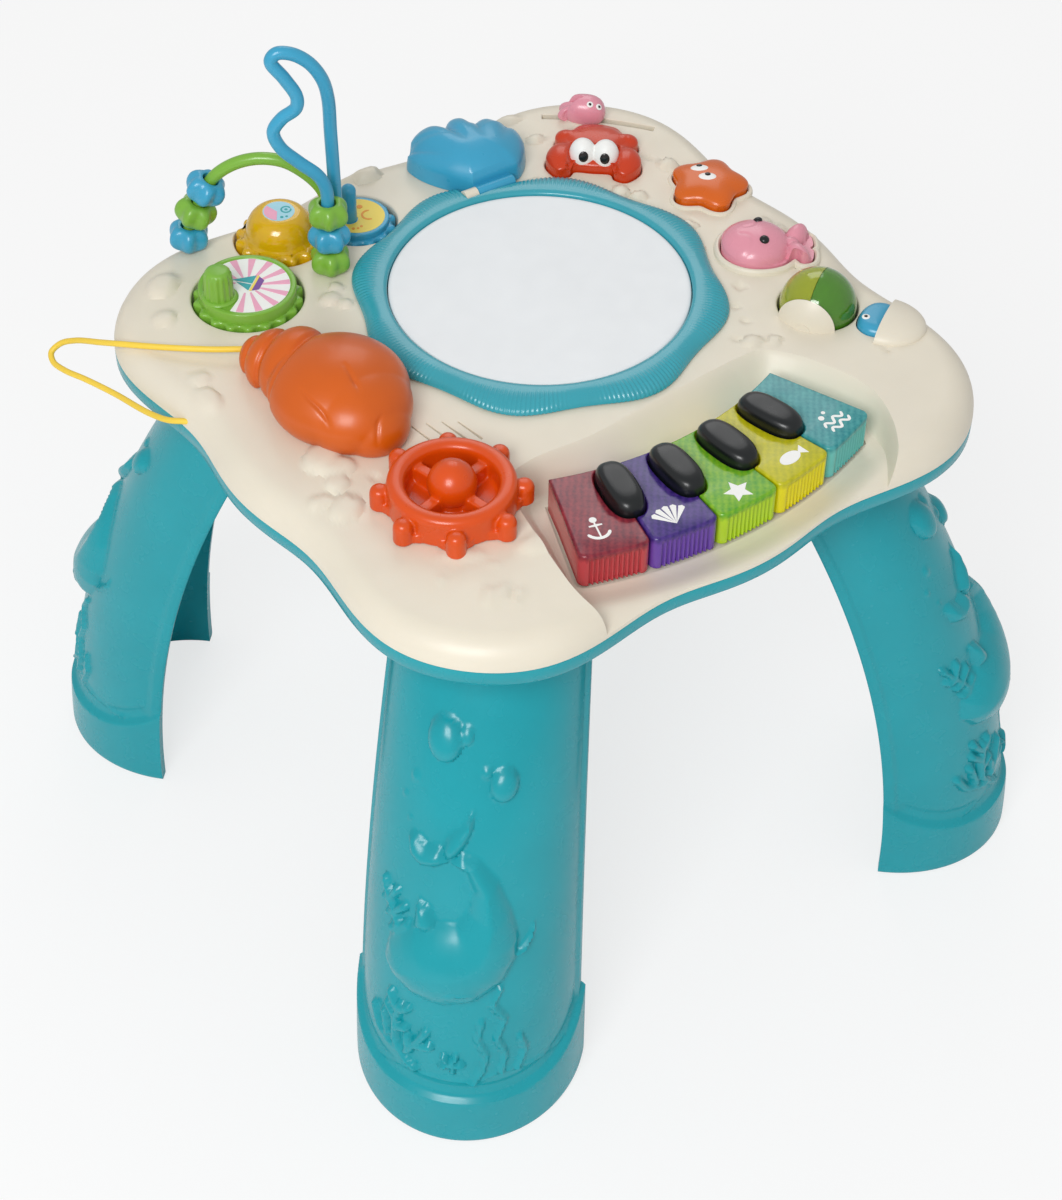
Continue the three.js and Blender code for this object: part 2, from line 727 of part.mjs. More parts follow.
// Tabletop shell
function tabletopShell() {
  let shell = loft(deckRings(0, DECK_RISE, EDGE_STEPS, JOINT_HEIGHT));
  const hollow = loft(deckRings(WALL, DECK_RISE - WALL, INSIDE_STEPS, JOINT_HEIGHT - OVERRUN));
  shell = shell.subtract(hollow);

  // Walls and floors below the deck
  const wellFloor = JOINT_HEIGHT + KEY_FLOOR;
  const inside = loft(deckRings(0, DECK_RISE, EDGE_STEPS, JOINT_HEIGHT)).add(loft([
    outlineRing(BELLY_BOTTOM, 2 * WALL + TOUCH_GAP),
    outlineRing(JOINT_HEIGHT + TOUCH_GAP, 2 * WALL + TOUCH_GAP),
  ]));
  const well = prism(fanWell(KEY_FRONT, KEY_WELL_GAP + KEY_WELL_WALL), wellFloor - KEY_WELL_WALL,
    JOINT_HEIGHT + TRAY_FLOOR);
  shell = shell.add(trayRoom(WALL).intersect(inside)).add(well.intersect(inside));
  for (const [x, y, teeth] of gearPlaces) {
    const radius = pitchRadius(teeth) + GEAR_POCKET_GAP + WALL;
    shell = shell.add(rod(radius, GEAR_FLOOR - WALL + 2 * TOUCH_GAP, DECK_UNDERSIDE + TOUCH_GAP,
      ROUND_SIDES, x, y));
  }
  shell = shell.add(fishMound(0));
  const lidWell = moved(lidOutline(LID_WELL_INSET), LID_X, LID_Y, LID_TURN);
  const lidWellWall = moved(lidOutline(LID_WELL_INSET - WALL), LID_X, LID_Y, LID_TURN);
  shell = shell.add(prism(lidWellWall, DECK_HEIGHT - LID_WELL_DEPTH - WALL, DECK_UNDERSIDE + TOUCH_GAP));
  for (const [x, y] of POST_PLACES) {
    shell = shell.add(rod(POST_RADIUS, JOINT_HEIGHT - POST_SPLIT, DECK_UNDERSIDE + TOUCH_GAP, TINY_SIDES,
      x, y));
  }

  // Raised rim round the whale button
  const rim = moved(whaleOutline(WHALE_RING_WIDTH), WHALE_BUTTON_X, WHALE_BUTTON_Y, WHALE_BUTTON_TURN);
  shell = shell.add(prism(rim, DECK_UNDERSIDE, DECK_HEIGHT + WHALE_RING_RISE));

  // Cuts
  shell = shell.subtract(trayRoom(0));
  shell = shell.subtract(prism(fanWell(KEY_FRONT, KEY_WELL_GAP), wellFloor, DECK_HEIGHT));
  for (const degrees of blackAngles) {
    const [x, y] = fanPoint(blackRing, degrees);
    shell = shell.subtract(rod(BLACK_STEM_RADIUS + RUNNING_GAP, wellFloor - WALL - OVERRUN,
      wellFloor + OVERRUN,
      SMALL_SIDES, x, y));
  }
  for (const [x, y, teeth] of gearPlaces) {
    const radius = pitchRadius(teeth) + GEAR_POCKET_GAP;
    shell = shell.subtract(rod(radius, GEAR_FLOOR, DECK_HEIGHT + OVERRUN, ROUND_SIDES, x, y));
  }
  shell = shell.subtract(rod(BALL_RADIUS + BALL_GAP, DECK_UNDERSIDE - OVERRUN, DECK_HEIGHT + OVERRUN,
    ROUND_SIDES, BALL_X, BALL_Y));
  shell = shell.add(placed(ballBearings(), BALL_X, BALL_Y, DECK_HEIGHT, BALL_AXLE_ANGLE));
  shell = shell.subtract(placed(ballAxle(TOUCH_GAP), BALL_X, BALL_Y, DECK_HEIGHT, BALL_AXLE_ANGLE));
  shell = shell.subtract(fishMound(WALL * 0.8));
  shell = shell.subtract(prism(lidWell, DECK_HEIGHT - LID_WELL_DEPTH, DECK_HEIGHT + OVERRUN));
  shell = shell.subtract(rod(DRUM_RADIUS + RING_NECK + 2 * TOUCH_GAP, DECK_UNDERSIDE - OVERRUN,
    DECK_HEIGHT + OVERRUN, BIG_SIDES, DRUM_X, DRUM_Y));
  const buttonHoles = [
    buttonPlaced(crabOutline(), CRAB_X, CRAB_Y, CRAB_TURN),
    buttonPlaced(starOutline(), STAR_X, STAR_Y, 0),
    buttonPlaced(whaleOutline(0), WHALE_BUTTON_X, WHALE_BUTTON_Y, WHALE_BUTTON_TURN),
  ];
  for (let k = 0; k <= FISH_SWING_STEPS; k++) {
    const swung = swungFish((-FISH_SWING * k) / FISH_SWING_STEPS);
    buttonHoles.push(moved(swung, FISH_X, FISH_Y, FISH_ANGLE));
  }
  for (const outline of buttonHoles) {
    shell = shell.subtract(prism(outline, DECK_UNDERSIDE - OVERRUN, DECK_HEIGHT + OVERRUN));
  }
  shell = shell.subtract(prism(slotOutline(), DECK_UNDERSIDE - OVERRUN, DECK_HEIGHT + OVERRUN));
  shell = shell.subtract(speakerSlots());
  const cordHole = tubeBetween(cordRoute.at(-2), cordRoute.at(-1), CORD_RADIUS + CORD_HOLE_GAP, OVERRUN);
  shell = shell.subtract(cordHole);
  for (const [x, y] of POST_PLACES) {
    shell = shell.subtract(rod(SCREW_RADIUS + TOUCH_GAP, JOINT_HEIGHT - POST_SPLIT - OVERRUN,
      BELLY_FLOOR + SCREW_LENGTH + TOUCH_GAP, TINY_SIDES, x, y));
  }

  // Posts that carry the gears, the wheel and the lid
  for (const [x, y] of gearPlaces) {
    shell = shell.add(rod(GEAR_POST_RADIUS, GEAR_FLOOR - TOUCH_GAP, DECK_HEIGHT - TOUCH_GAP, TINY_SIDES,
      x, y));
  }
  const stub = rod(WHEEL_STUB_RADIUS, DECK_UNDERSIDE, DECK_HEIGHT + WHEEL_STUB_HEIGHT, SMALL_SIDES,
    WHEEL_X, WHEEL_Y);
  shell = shell.add(stub);
  shell = shell.subtract(rod(SCREW_RADIUS + RUNNING_GAP, DECK_UNDERSIDE - OVERRUN,
    DECK_HEIGHT + WHEEL_STUB_HEIGHT + OVERRUN, TINY_SIDES, WHEEL_X, WHEEL_Y));
  const fishPin = rod(FISH_PIN_RADIUS, fishScrewHeight + TOUCH_GAP, -WALL / 2, SMALL_SIDES, FISH_PIN_X,
    FISH_PIN_Y);
  const fishBore = rod(SCREW_RADIUS + TOUCH_GAP, fishScrewHeight - OVERRUN,
    fishScrewHeight + FISH_SCREW_LENGTH + TOUCH_GAP, TINY_SIDES, FISH_PIN_X, FISH_PIN_Y);
  shell = shell.add(placed(fishPin, FISH_X, FISH_Y, DECK_HEIGHT, FISH_ANGLE));
  shell = shell.subtract(placed(fishBore, FISH_X, FISH_Y, DECK_HEIGHT, FISH_ANGLE));
  shell = shell.add(lidEar());
  return shell;
}

// Room over the floor of the piano tray, or with a wall the tray's own block
function trayRoom(wall) {
  const low = JOINT_HEIGHT - wall;
  const top = wall ? DECK_UNDERSIDE + TOUCH_GAP : DECK_HEIGHT + OVERRUN;
  const far = KEY_FRONT + 2 * LEG_HALF_WIDTH;
  const bowl = turned([
    [0, low + TRAY_FLOOR],
    [TRAY_SLOPE_START, low + TRAY_FLOOR],
    [TRAY_SLOPE_END, low + TRAY_LIP],
    [far, low + TRAY_LIP],
    [far, top],
    [0, top],
  ], OUTLINE_STEPS).translate([FAN_X, FAN_Y, 0]);
  return bowl.intersect(prism(trayOutline(far, wall), low + TRAY_FLOOR - OVERRUN, top + OVERRUN));
}

// Cover over one end of the ball's axle and a low lug at the other
function ballBearings() {
  const inner = BALL_RADIUS + BALL_GAP;
  const outer = inner + BALL_COVER_WALL;
  const shell = ellipsoid(outer, outer, outer, ROUND_SIDES)
    .subtract(ellipsoid(inner, inner, inner, ROUND_SIDES));
  const boss = crossRod(2 * BALL_AXLE_RADIUS, outer - BALL_FLAT - TOUCH_GAP)
    .translate([-(outer + BALL_FLAT + TOUCH_GAP) / 2, 0, 0]);
  const cap = shell.intersect(block(outer, 2 * outer, -inner / 2, outer, -BALL_COVER_START - outer / 2));
  const lug = crossRod(BALL_LUG_RADIUS, BALL_LUG_LENGTH).translate([inner + BALL_LUG_LENGTH / 2, 0, 0]);
  return cap.add(boss.intersect(ellipsoid(outer, outer, outer, ROUND_SIDES))).add(lug);
}

function ballAxle(growth) {
  const middle = (BALL_LUG_LENGTH - BALL_COVER_WALL) / 2;
  const length = 2 * (BALL_RADIUS + BALL_GAP) + BALL_LUG_LENGTH / 2 + BALL_COVER_WALL / 2;
  return crossRod(BALL_AXLE_RADIUS + growth, length + 2 * growth).translate([middle / 2, 0, 0]);
}

function slotOutline() {
  const outer = [];
  const inner = [];
  for (let i = 0; i <= ARC_STEPS; i++) {
    const degrees = SLOT_START + ((SLOT_END - SLOT_START) * i) / ARC_STEPS;
    outer.push(around(SLOT_RADIUS + SLOT_WIDTH / 2, degrees));
    inner.unshift(around(SLOT_RADIUS - SLOT_WIDTH / 2, degrees));
  }
  return [...outer, ...inner];
}

function speakerSlots() {
  let slots;
  for (let i = 0; i < SPEAKER_SLOTS; i++) {
    const geometry = new THREE.BoxGeometry(SPEAKER_SLOT_LENGTH, SPEAKER_SLOT_WIDTH, 2 * (WALL + OVERRUN));
    geometry.translate(0, SPEAKER_SLOT_PITCH * (i - (SPEAKER_SLOTS - 1) / 2), 0);
    geometry.rotateZ(radians(SPEAKER_SLOT_ANGLE));
    geometry.translate(SPEAKER_X, SPEAKER_Y, DECK_HEIGHT);
    const slot = solid(geometry);
    slots = slots ? slots.add(slot) : slot;
  }
  return slots;
}

function tubeBetween(from, to, radius, extra) {
  const start = new THREE.Vector3(...from);
  const end = new THREE.Vector3(...to);
  const way = end.clone().sub(start).normalize();
  start.addScaledVector(way, -extra);
  end.addScaledVector(way, extra);
  const geometry = new THREE.CylinderGeometry(radius, radius, start.distanceTo(end), TINY_SIDES);
  geometry.applyQuaternion(new THREE.Quaternion().setFromUnitVectors(new THREE.Vector3(0, 1, 0), way));
  const middle = start.add(end).multiplyScalar(1 / 2);
  geometry.translate(middle.x, middle.y, middle.z);
  return solid(geometry);
}

// A cylinder along X, used for hinge barrels and pins
function crossRod(radius, length, sides = SMALL_SIDES) {
  const geometry = new THREE.CylinderGeometry(radius, radius, length, sides);
  geometry.rotateZ(Math.PI / 2);
  return solid(geometry);
}

function placed(body, x, y, z, turn = 0) {
  return body.rotate([0, 0, turn]).translate([x, y, z]);
}

function lidEar() {
  const axis = DECK_HEIGHT + LID_AXIS_HEIGHT;
  const side = -(LID_BARREL_LENGTH / 2 + TOUCH_GAP + LID_EAR_WIDTH / 2);
  const radius = LID_BARREL_RADIUS;
  const foot = block(LID_EAR_WIDTH, 1.4 * radius, -LID_AXIS_HEIGHT - WALL / 2, 0, side, -0.2 * radius);
  const head = crossRod(radius, LID_EAR_WIDTH).translate([side, 0, 0]);
  const bore = crossRod(LID_PIN_RADIUS + TOUCH_GAP,
    lidPinLength + 2 * TOUCH_GAP).translate([lidPinMiddle, 0, 0]);
  return placed(foot.add(head).subtract(bore), LID_X, LID_Y, axis, LID_TURN);
}

// The pin reaches from the ear into the blind bore of the barrel
const lidPinLength = LID_BARREL_LENGTH + LID_EAR_WIDTH / 2;
const lidPinMiddle = -(LID_BARREL_LENGTH / 2 + TOUCH_GAP + LID_EAR_WIDTH * 0.75) + lidPinLength / 2;

const fishScrewHeight = -WALL - 2 * TOUCH_GAP - FISH_PLATE - TOUCH_GAP;

// The fish pocket lies on the inner side of the mound's straight edge, in coordinates along that edge
function fishOutline() {
  const shares = [[-1, -0.12], [1, -0.12], [1.03, 0.3], [0.85, 0.7], [0.4, 0.98], [-0.2, 1.06], [-0.75,
    0.9],
    [-1.03, 0.45]];
  return shares.map(([x, y]) => [x * FISH_REACH, y * FISH_REACH]);
}

// The fish outline with its clearance, turned round the pin
function swungFish(turn) {
  const shifted = moved(grown(fishOutline(), BUTTON_SKIRT_GAP), -FISH_PIN_X, -FISH_PIN_Y);
  return moved(shifted, FISH_PIN_X, FISH_PIN_Y, turn);
}

// The mound, or with an inset the room under it and through the deck
function fishMound(inset) {
  const length = FISH_MOUND_LENGTH - inset;
  const width = FISH_MOUND_WIDTH - inset;
  const dome = ellipsoid(length, width, FISH_MOUND_HEIGHT - inset, ROUND_SIDES, TINY_SIDES);
  const low = inset ? -WALL - OVERRUN : -WALL / 2;
  const keep = block(3 * length, width, low, FISH_MOUND_HEIGHT, 0, (inset - width) / 2);
  let room = dome.intersect(keep);
  if (inset) {
    room = room.add(block(2 * (FISH_REACH + inset), FISH_REACH, -WALL - OVERRUN, 0, 0, -FISH_REACH / 2));
  }
  return placed(room, FISH_X, FISH_Y, DECK_HEIGHT, FISH_ANGLE);
}

// Base tray: the lip that shows under the deck and the belly that holds the works
function baseTray() {
  const top = JOINT_HEIGHT - TOUCH_GAP;
  const lipBottom = JOINT_HEIGHT - LIP_HEIGHT;
  let tray = loft([
    outlineRing(BELLY_BOTTOM, BELLY_INSET + BELLY_TAPER),
    outlineRing(BELLY_BOTTOM + BELLY_ROUND, BELLY_INSET + BELLY_TAPER - BELLY_ROUND),
    outlineRing(lipBottom, BELLY_INSET),
    outlineRing(lipBottom, LIP_ROUND),
    outlineRing(lipBottom + LIP_ROUND, 0),
    outlineRing(top, 0),
  ]);
  tray = tray.subtract(loft([
    outlineRing(BELLY_FLOOR, BELLY_INSET + BELLY_TAPER),
    outlineRing(lipBottom + WALL, BELLY_INSET + WALL),
    outlineRing(lipBottom + WALL, LIP_ROUND + WALL),
    outlineRing(top + OVERRUN, WALL),
  ]));

  // Screw posts, board posts and the battery box
  for (const [x, y] of POST_PLACES) {
    tray = tray.add(rod(POST_RADIUS, BELLY_BOTTOM + WALL / 2, JOINT_HEIGHT - POST_SPLIT - TOUCH_GAP,
      TINY_SIDES, x, y));
    tray = tray.subtract(rod(SCREW_RADIUS + TOUCH_GAP, BELLY_BOTTOM - OVERRUN, JOINT_HEIGHT, TINY_SIDES,
      x, y));
    tray = tray.subtract(rod(SCREW_HEAD_RADIUS + TOUCH_GAP, BELLY_BOTTOM - OVERRUN,
      BELLY_BOTTOM + SCREW_HEAD_HEIGHT + TOUCH_GAP, TINY_SIDES, x, y));
  }
  for (const [x, y] of boardCorners()) {
    tray = tray.add(rod(BOARD_POST_RADIUS, BELLY_BOTTOM + WALL / 2, JOINT_HEIGHT - BOARD_HEIGHT - TOUCH_GAP,
      TINY_SIDES, x, y));
  }
  const inLength = CELL_LENGTH + CELL_NUB_LENGTH + 2 * CELL_BOX_GAP;
  const inWidth = CELL_PITCH * CELL_COUNT + 2 * CELL_BOX_GAP;
  const boxTop = BELLY_BOTTOM + CELL_BOX_HEIGHT + DOOR_THICKNESS;
  tray = tray.add(block(inLength + 2 * CELL_BOX_WALL, inWidth + 2 * CELL_BOX_WALL,
    BELLY_BOTTOM + WALL / 2, boxTop,
    CELL_BOX_X, CELL_BOX_Y));
  tray = tray.subtract(block(inLength, inWidth, BELLY_BOTTOM - OVERRUN, boxTop - CELL_BOX_WALL,
    CELL_BOX_X, CELL_BOX_Y));
  tray = tray.subtract(block(inLength + 2 * DOOR_EDGE, inWidth + 2 * DOOR_EDGE, BELLY_BOTTOM - OVERRUN,
    BELLY_BOTTOM + DOOR_THICKNESS + TOUCH_GAP - WALL / 2, CELL_BOX_X, CELL_BOX_Y));

  // Switch slot, sockets for the leg plugs and the cord post
  tray = tray.subtract(block(SWITCH_LENGTH + SWITCH_TRAVEL + 2 * TOUCH_GAP, SWITCH_WIDTH + 2 * TOUCH_GAP,
    BELLY_BOTTOM - OVERRUN, BELLY_FLOOR + OVERRUN, SWITCH_X + SWITCH_TRAVEL / 2, SWITCH_Y));
  for (let k = 0; k < 4; k++) {
    const socket = prism(legPlugOutline(2 * TOUCH_GAP), BELLY_BOTTOM - OVERRUN, BELLY_FLOOR + OVERRUN);
    tray = tray.subtract(socket.rotate([0, 0, 45 + 90 * k]));
  }
  const [postX, postY] = cordPost();
  tray = tray.add(rod(CORD_POST_RADIUS, lipBottom + WALL / 2, JOINT_HEIGHT + 1.5 * CORD_POST_RADIUS,
    SMALL_SIDES,
    postX, postY));
  return tray;
}

function boardCorners() {
  const x = BOARD_LENGTH / 2 - 2 * BOARD_POST_RADIUS;
  const y = BOARD_WIDTH / 2 - 2 * BOARD_POST_RADIUS;
  return [[-x, -y], [x, -y], [x, y], [-x, y]].map(([px, py]) => [BOARD_X + px, BOARD_Y + py]);
}

// Leg sections: half ellipses whose ends lie on a flared edge line
function legSection(height) {
  const share = height / JOINT_HEIGHT;
  return {
    edge: LEG_FOOT_EDGE - LEG_FLARE * share ** LEG_FLARE_POWER,
    halfWidth: LEG_HALF_WIDTH - LEG_HALF_WIDTH_TAPER * share ** 1.6,
    depth: LEG_DEPTH - LEG_DEPTH_TAPER * share ** 1.2,
  };
}

function legPoint(height, degrees, offset) {
  const { edge, halfWidth, depth } = legSection(height);
  const [out, side] = around(1, degrees);
  return [edge + (depth + offset) * out, (halfWidth + offset) * side, height];
}

function legPlugOutline(growth) {
  const outline = [];
  for (let degrees = -90; degrees <= 90; degrees += 30) {
    const [x, y] = legPoint(LEG_TOP, degrees, growth - LEG_PLUG_INSET);
    outline.push([x, y]);
  }
  const back = LEG_PLUG_INSET - growth;
  outline[0][0] += back;
  outline.at(-1)[0] += back;
  return outline;
}

function leg() {
  const heights = [0, LEG_BAND_HEIGHT, LEG_BAND_HEIGHT + LEG_BAND_PROUD];
  const bandShares = [0, 1, 1];
  for (const share of legHeightShares) {
    heights.push(share * LEG_TOP);
    bandShares.push(0);
  }
  const rings = heights.map((height, level) => {
    const proud = level < 2 ? LEG_BAND_PROUD : 0;
    const outer = [];
    const inner = [];
    for (const degrees of legAngles) {
      const ear = LEG_BAND_EAR * bandShares[level] * Math.abs(degrees / 90) ** 4;
      const ridge = Math.abs(degrees) > 83.5 ? LEG_RIDGE : 0;
      outer.push(legPoint(height + ear, degrees, Math.max(proud, ridge)));
      inner.unshift(legPoint(height + ear, degrees, -LEG_WALL));
    }
    return [...outer, ...inner];
  });
  let body = loftSections(rings);
  const plate = [];
  for (const degrees of legAngles) {
    plate.push(legPoint(LEG_TOP, degrees, -LEG_WALL / 2));
  }
  body = body.add(prism(plate, LEG_TOP - LEG_PLATE, LEG_TOP));
  body = body.add(prism(legPlugOutline(0), LEG_TOP - LEG_PLATE, LEG_TOP + LEG_PLUG_HEIGHT));
  return body.add(whaleRelief());
}

// A loft whose end rings are closed with strips between their outer and inner halves
function loftSections(rings) {
  const count = rings[0].length;
  const places = rings.flat(2);
  const faces = [];
  for (let r = 0; r + 1 < rings.length; r++) {
    for (let i = 0; i < count; i++) {
      const j = (i + 1) % count;
      const low = [r * count + i, r * count + j];
      const high = [(r + 1) * count + i, (r + 1) * count + j];
      faces.push(low[0], low[1], high[1], low[0], high[1], high[0]);
    }
  }
  for (const [r, flip] of [[0, true], [rings.length - 1, false]]) {
    for (let i = 0; i + 1 < count / 2; i++) {
      const quad = [i, i + 1, count - 2 - i, count - 1 - i].map((k) => r * count + k);
      if (flip) {
        quad.reverse();
      }
      faces.push(quad[0], quad[1], quad[2], quad[0], quad[2], quad[3]);
    }
  }
  const geometry = new THREE.BufferGeometry();
  geometry.setAttribute("position", new THREE.Float32BufferAttribute(places, 3));
  geometry.setIndex(faces);
  return solid(geometry);
}

// Whale with tail, flukes and fin, and two bubbles, raised on the leg and kept outside its inner face.
// Each row: height up the leg, degrees round it, half width, half height and rise
function whaleRelief() {
  const shares = [
    [0.435, -4, 1, 0.76, 0.33],
    [0.565, 2, 0.24, 0.55, 0.2],
    [0.645, -18, 0.36, 0.17, 0.17],
    [0.69, 0, 0.17, 0.34, 0.17],
    [0.475, 36, 0.2, 0.26, 0.12],
    [0.843, -15, 0.29, 0.29, 0.18],
    [0.778, 20, 0.23, 0.23, 0.14],
  ];
  let relief;
  for (const [height, degrees, halfWidth, halfHeight, proud] of shares) {
    const [x, y, z] = legPoint(height * LEG_TOP, degrees, 0);
    const sides = halfWidth > 1 / 2 ? SMALL_SIDES : TINY_SIDES;
    const depth = proud * RELIEF_SIZE + LEG_WALL;
    const lump = ellipsoid(depth, halfWidth * RELIEF_SIZE, halfHeight * RELIEF_SIZE, sides, sides / 2)
      .rotate([0, 0, degrees]).translate([x - LEG_WALL, y, z]);
    relief = relief ? relief.add(lump) : lump;
  }
  const core = [];
  for (let i = 0; i <= ARC_STEPS; i++) {
    const height = LEG_BAND_HEIGHT + ((LEG_TOP - LEG_BAND_HEIGHT) * i) / ARC_STEPS;
    core.push(legAngles.map((degrees) => legPoint(height, degrees, -LEG_WALL / 2)));
  }
  return relief.subtract(loft(core));
}

// Drum ring with its lobed outer edge
function drumRing() {
  const inner = DRUM_RADIUS + RUNNING_GAP;
  const neck = DRUM_RADIUS + RING_NECK;
  const wide = RING_RADIUS - neck;
  const profile = [
    [inner - RING_LEDGE, -RING_NECK_DEPTH, 0],
    [neck, -RING_NECK_DEPTH, 0],
    [neck, TOUCH_GAP, 0],
    [RING_RADIUS, TOUCH_GAP, 1],
    [RING_RADIUS - 0.16 * wide, 0.42 * RING_CREST, 0.85],
    [RING_RADIUS - 0.5 * wide, 0.84 * RING_CREST, 0.45],
    [neck, RING_CREST, 0],
    [inner, RING_CREST - DRUM_EDGE, 0],
    [inner, -RING_NECK_DEPTH / 2, 0],
    [inner - RING_LEDGE, -RING_NECK_DEPTH / 2, 0],
  ];
  const places = [];
  const faces = [];
  const count = profile.length;
  for (let i = 0; i < BIG_SIDES; i++) {
    const degrees = (360 * i) / BIG_SIDES;
    const lobe = RING_LOBE * Math.cos(radians(RING_LOBES * degrees));
    for (const [radius, height, share] of profile) {
      places.push(...around(radius + share * lobe, degrees), height);
    }
    const next = ((i + 1) % BIG_SIDES) * count;
    for (let k = 0; k < count; k++) {
      const l = (k + 1) % count;
      faces.push(i * count + k, next + k, next + l, i * count + k, next + l, i * count + l);
    }
  }
  const geometry = new THREE.BufferGeometry();
  geometry.setAttribute("position", new THREE.Float32BufferAttribute(places, 3));
  geometry.setIndex(faces);

  // Notch that clears the hinge of the lid
  const length = LID_BARREL_LENGTH + LID_EAR_WIDTH + 4 * TOUCH_GAP;
  const depth = RING_RADIUS - DRUM_RADIUS;
  const notch = block(length, depth, 0, 2 * RING_CREST, -LID_EAR_WIDTH / 2,
    depth / 2 - LID_BARREL_RADIUS - 2 * TOUCH_GAP);
  return solid(geometry).subtract(placed(notch, LID_X - DRUM_X, LID_Y - DRUM_Y, 0, LID_TURN));
}

function drumPad() {
  return turned([
    [0, DRUM_TOP - DRUM_PAD_THICKNESS],
    [DRUM_RADIUS, DRUM_TOP - DRUM_PAD_THICKNESS],
    [DRUM_RADIUS, DRUM_TOP - DRUM_EDGE],
    [DRUM_RADIUS - DRUM_EDGE, DRUM_TOP],
    [0, DRUM_TOP],
  ], BIG_SIDES);
}

// Steering wheel about its own axis, with its underside at the deck
function steeringWheel() {
  const inner = WHEEL_RADIUS - WHEEL_RIM_WIDTH;
  const middle = WHEEL_RADIUS - WHEEL_RIM_WIDTH / 2;
  const edge = WHEEL_RIM_WIDTH / 4;
  let wheel = turned([
    [inner, TOUCH_GAP],
    [WHEEL_RADIUS, TOUCH_GAP],
    [WHEEL_RADIUS, WHEEL_RIM_HEIGHT - edge],
    [middle + edge, WHEEL_RIM_HEIGHT],
    [middle - edge, WHEEL_RIM_HEIGHT],
    [inner, WHEEL_RIM_HEIGHT - edge],
    [inner, TOUCH_GAP],
  ]);
  for (let i = 0; i < WHEEL_KNOBS; i++) {
    const [x, y] = around(WHEEL_KNOB_CIRCLE, WHEEL_KNOB_ANGLE + (360 * i) / WHEEL_KNOBS);
    const shoulder = WHEEL_KNOB_HEIGHT - WHEEL_KNOB_RADIUS / 2;
    wheel = wheel.add(turned([
      [0, TOUCH_GAP],
      [WHEEL_KNOB_RADIUS, TOUCH_GAP],
      [WHEEL_KNOB_RADIUS, shoulder],
      [0.6 * WHEEL_KNOB_RADIUS, WHEEL_KNOB_HEIGHT],
      [0, WHEEL_KNOB_HEIGHT],
    ], TINY_SIDES).translate([x, y, 0]));
  }
  for (let i = 0; i < WHEEL_SPOKES; i++) {
    const spoke = block(middle, WHEEL_SPOKE_WIDTH, TOUCH_GAP + WALL, WHEEL_SPOKE_HEIGHT + WALL, middle / 2);
    wheel = wheel.add(spoke.rotate([0, 0, WHEEL_KNOB_ANGLE + (360 * i) / WHEEL_SPOKES]));
  }
  wheel = wheel.add(rod(WHEEL_HUB_RADIUS, TOUCH_GAP, WHEEL_TOP - WHEEL_BALL_RADIUS, SMALL_SIDES));
  const ball = ellipsoid(WHEEL_BALL_RADIUS, WHEEL_BALL_RADIUS, WHEEL_BALL_RADIUS);
  wheel = wheel.add(ball.translate([0, 0, WHEEL_TOP - WHEEL_BALL_RADIUS]));
  wheel = wheel.subtract(block(2 * WHEEL_RADIUS, 2 * WHEEL_RADIUS, -WHEEL_RADIUS, TOUCH_GAP));
  wheel = wheel.subtract(rod(WHEEL_STUB_RADIUS + TOUCH_GAP, -OVERRUN, WHEEL_STUB_HEIGHT + TOUCH_GAP,
    SMALL_SIDES));
  const screwTop = WHEEL_SCREW_LENGTH + TOUCH_GAP - WALL;
  return wheel.subtract(rod(SCREW_RADIUS + TOUCH_GAP, 0, screwTop, TINY_SIDES));
}

function screw(length, headRadius = SCREW_HEAD_RADIUS) {
  return turned([
    [0, -SCREW_HEAD_HEIGHT],
    [headRadius, -SCREW_HEAD_HEIGHT],
    [headRadius, 0],
    [SCREW_RADIUS, 0],
    [SCREW_RADIUS, length - SCREW_RADIUS],
    [0, length],
  ], TINY_SIDES);
}

// Gears about their own axes, with heights above the joint
function gearBase(teeth, phase, top) {
  return prism(gearOutline(teeth, phase), GEAR_POCKET_FLOOR + TOUCH_GAP, top);
}

function boredGear(gear) {
  return gear.subtract(rod(GEAR_POST_RADIUS + TOUCH_GAP, 0, DECK_RISE, TINY_SIDES));
}

function greenGear(phase) {
  let gear = gearBase(GREEN_TEETH, phase, GREEN_TOOTH_TOP);
  gear = gear.add(rod(GREEN_DISC_RADIUS, GREEN_TOOTH_TOP - WALL, GREEN_TOP, ROUND_SIDES));
  gear = gear.subtract(rod(GREEN_LABEL_RADIUS, GREEN_TOP - GREEN_LABEL_DEPTH, GREEN_TOP + OVERRUN,
    ROUND_SIDES));
  const outline = [];
  for (let i = 0; i < 2 * GREEN_KNOB_RIBS; i++) {
    const radius = i % 2 ? GREEN_KNOB_RADIUS : 0.92 * GREEN_KNOB_RADIUS;
    outline.push(around(radius, (180 * i) / GREEN_KNOB_RIBS));
  }
  const shoulder = GREEN_KNOB_TOP - GREEN_KNOB_RADIUS / 3;
  const knob = loft([
    atHeight(outline, GREEN_TOP - WALL),
    atHeight(outline, shoulder, 0.92),
    atHeight(outline, GREEN_KNOB_TOP, 0.62),
  ]);
  gear = gear.add(knob.translate([-GREEN_KNOB_OFFSET, 0, 0]));
  return boredGear(gear);
}

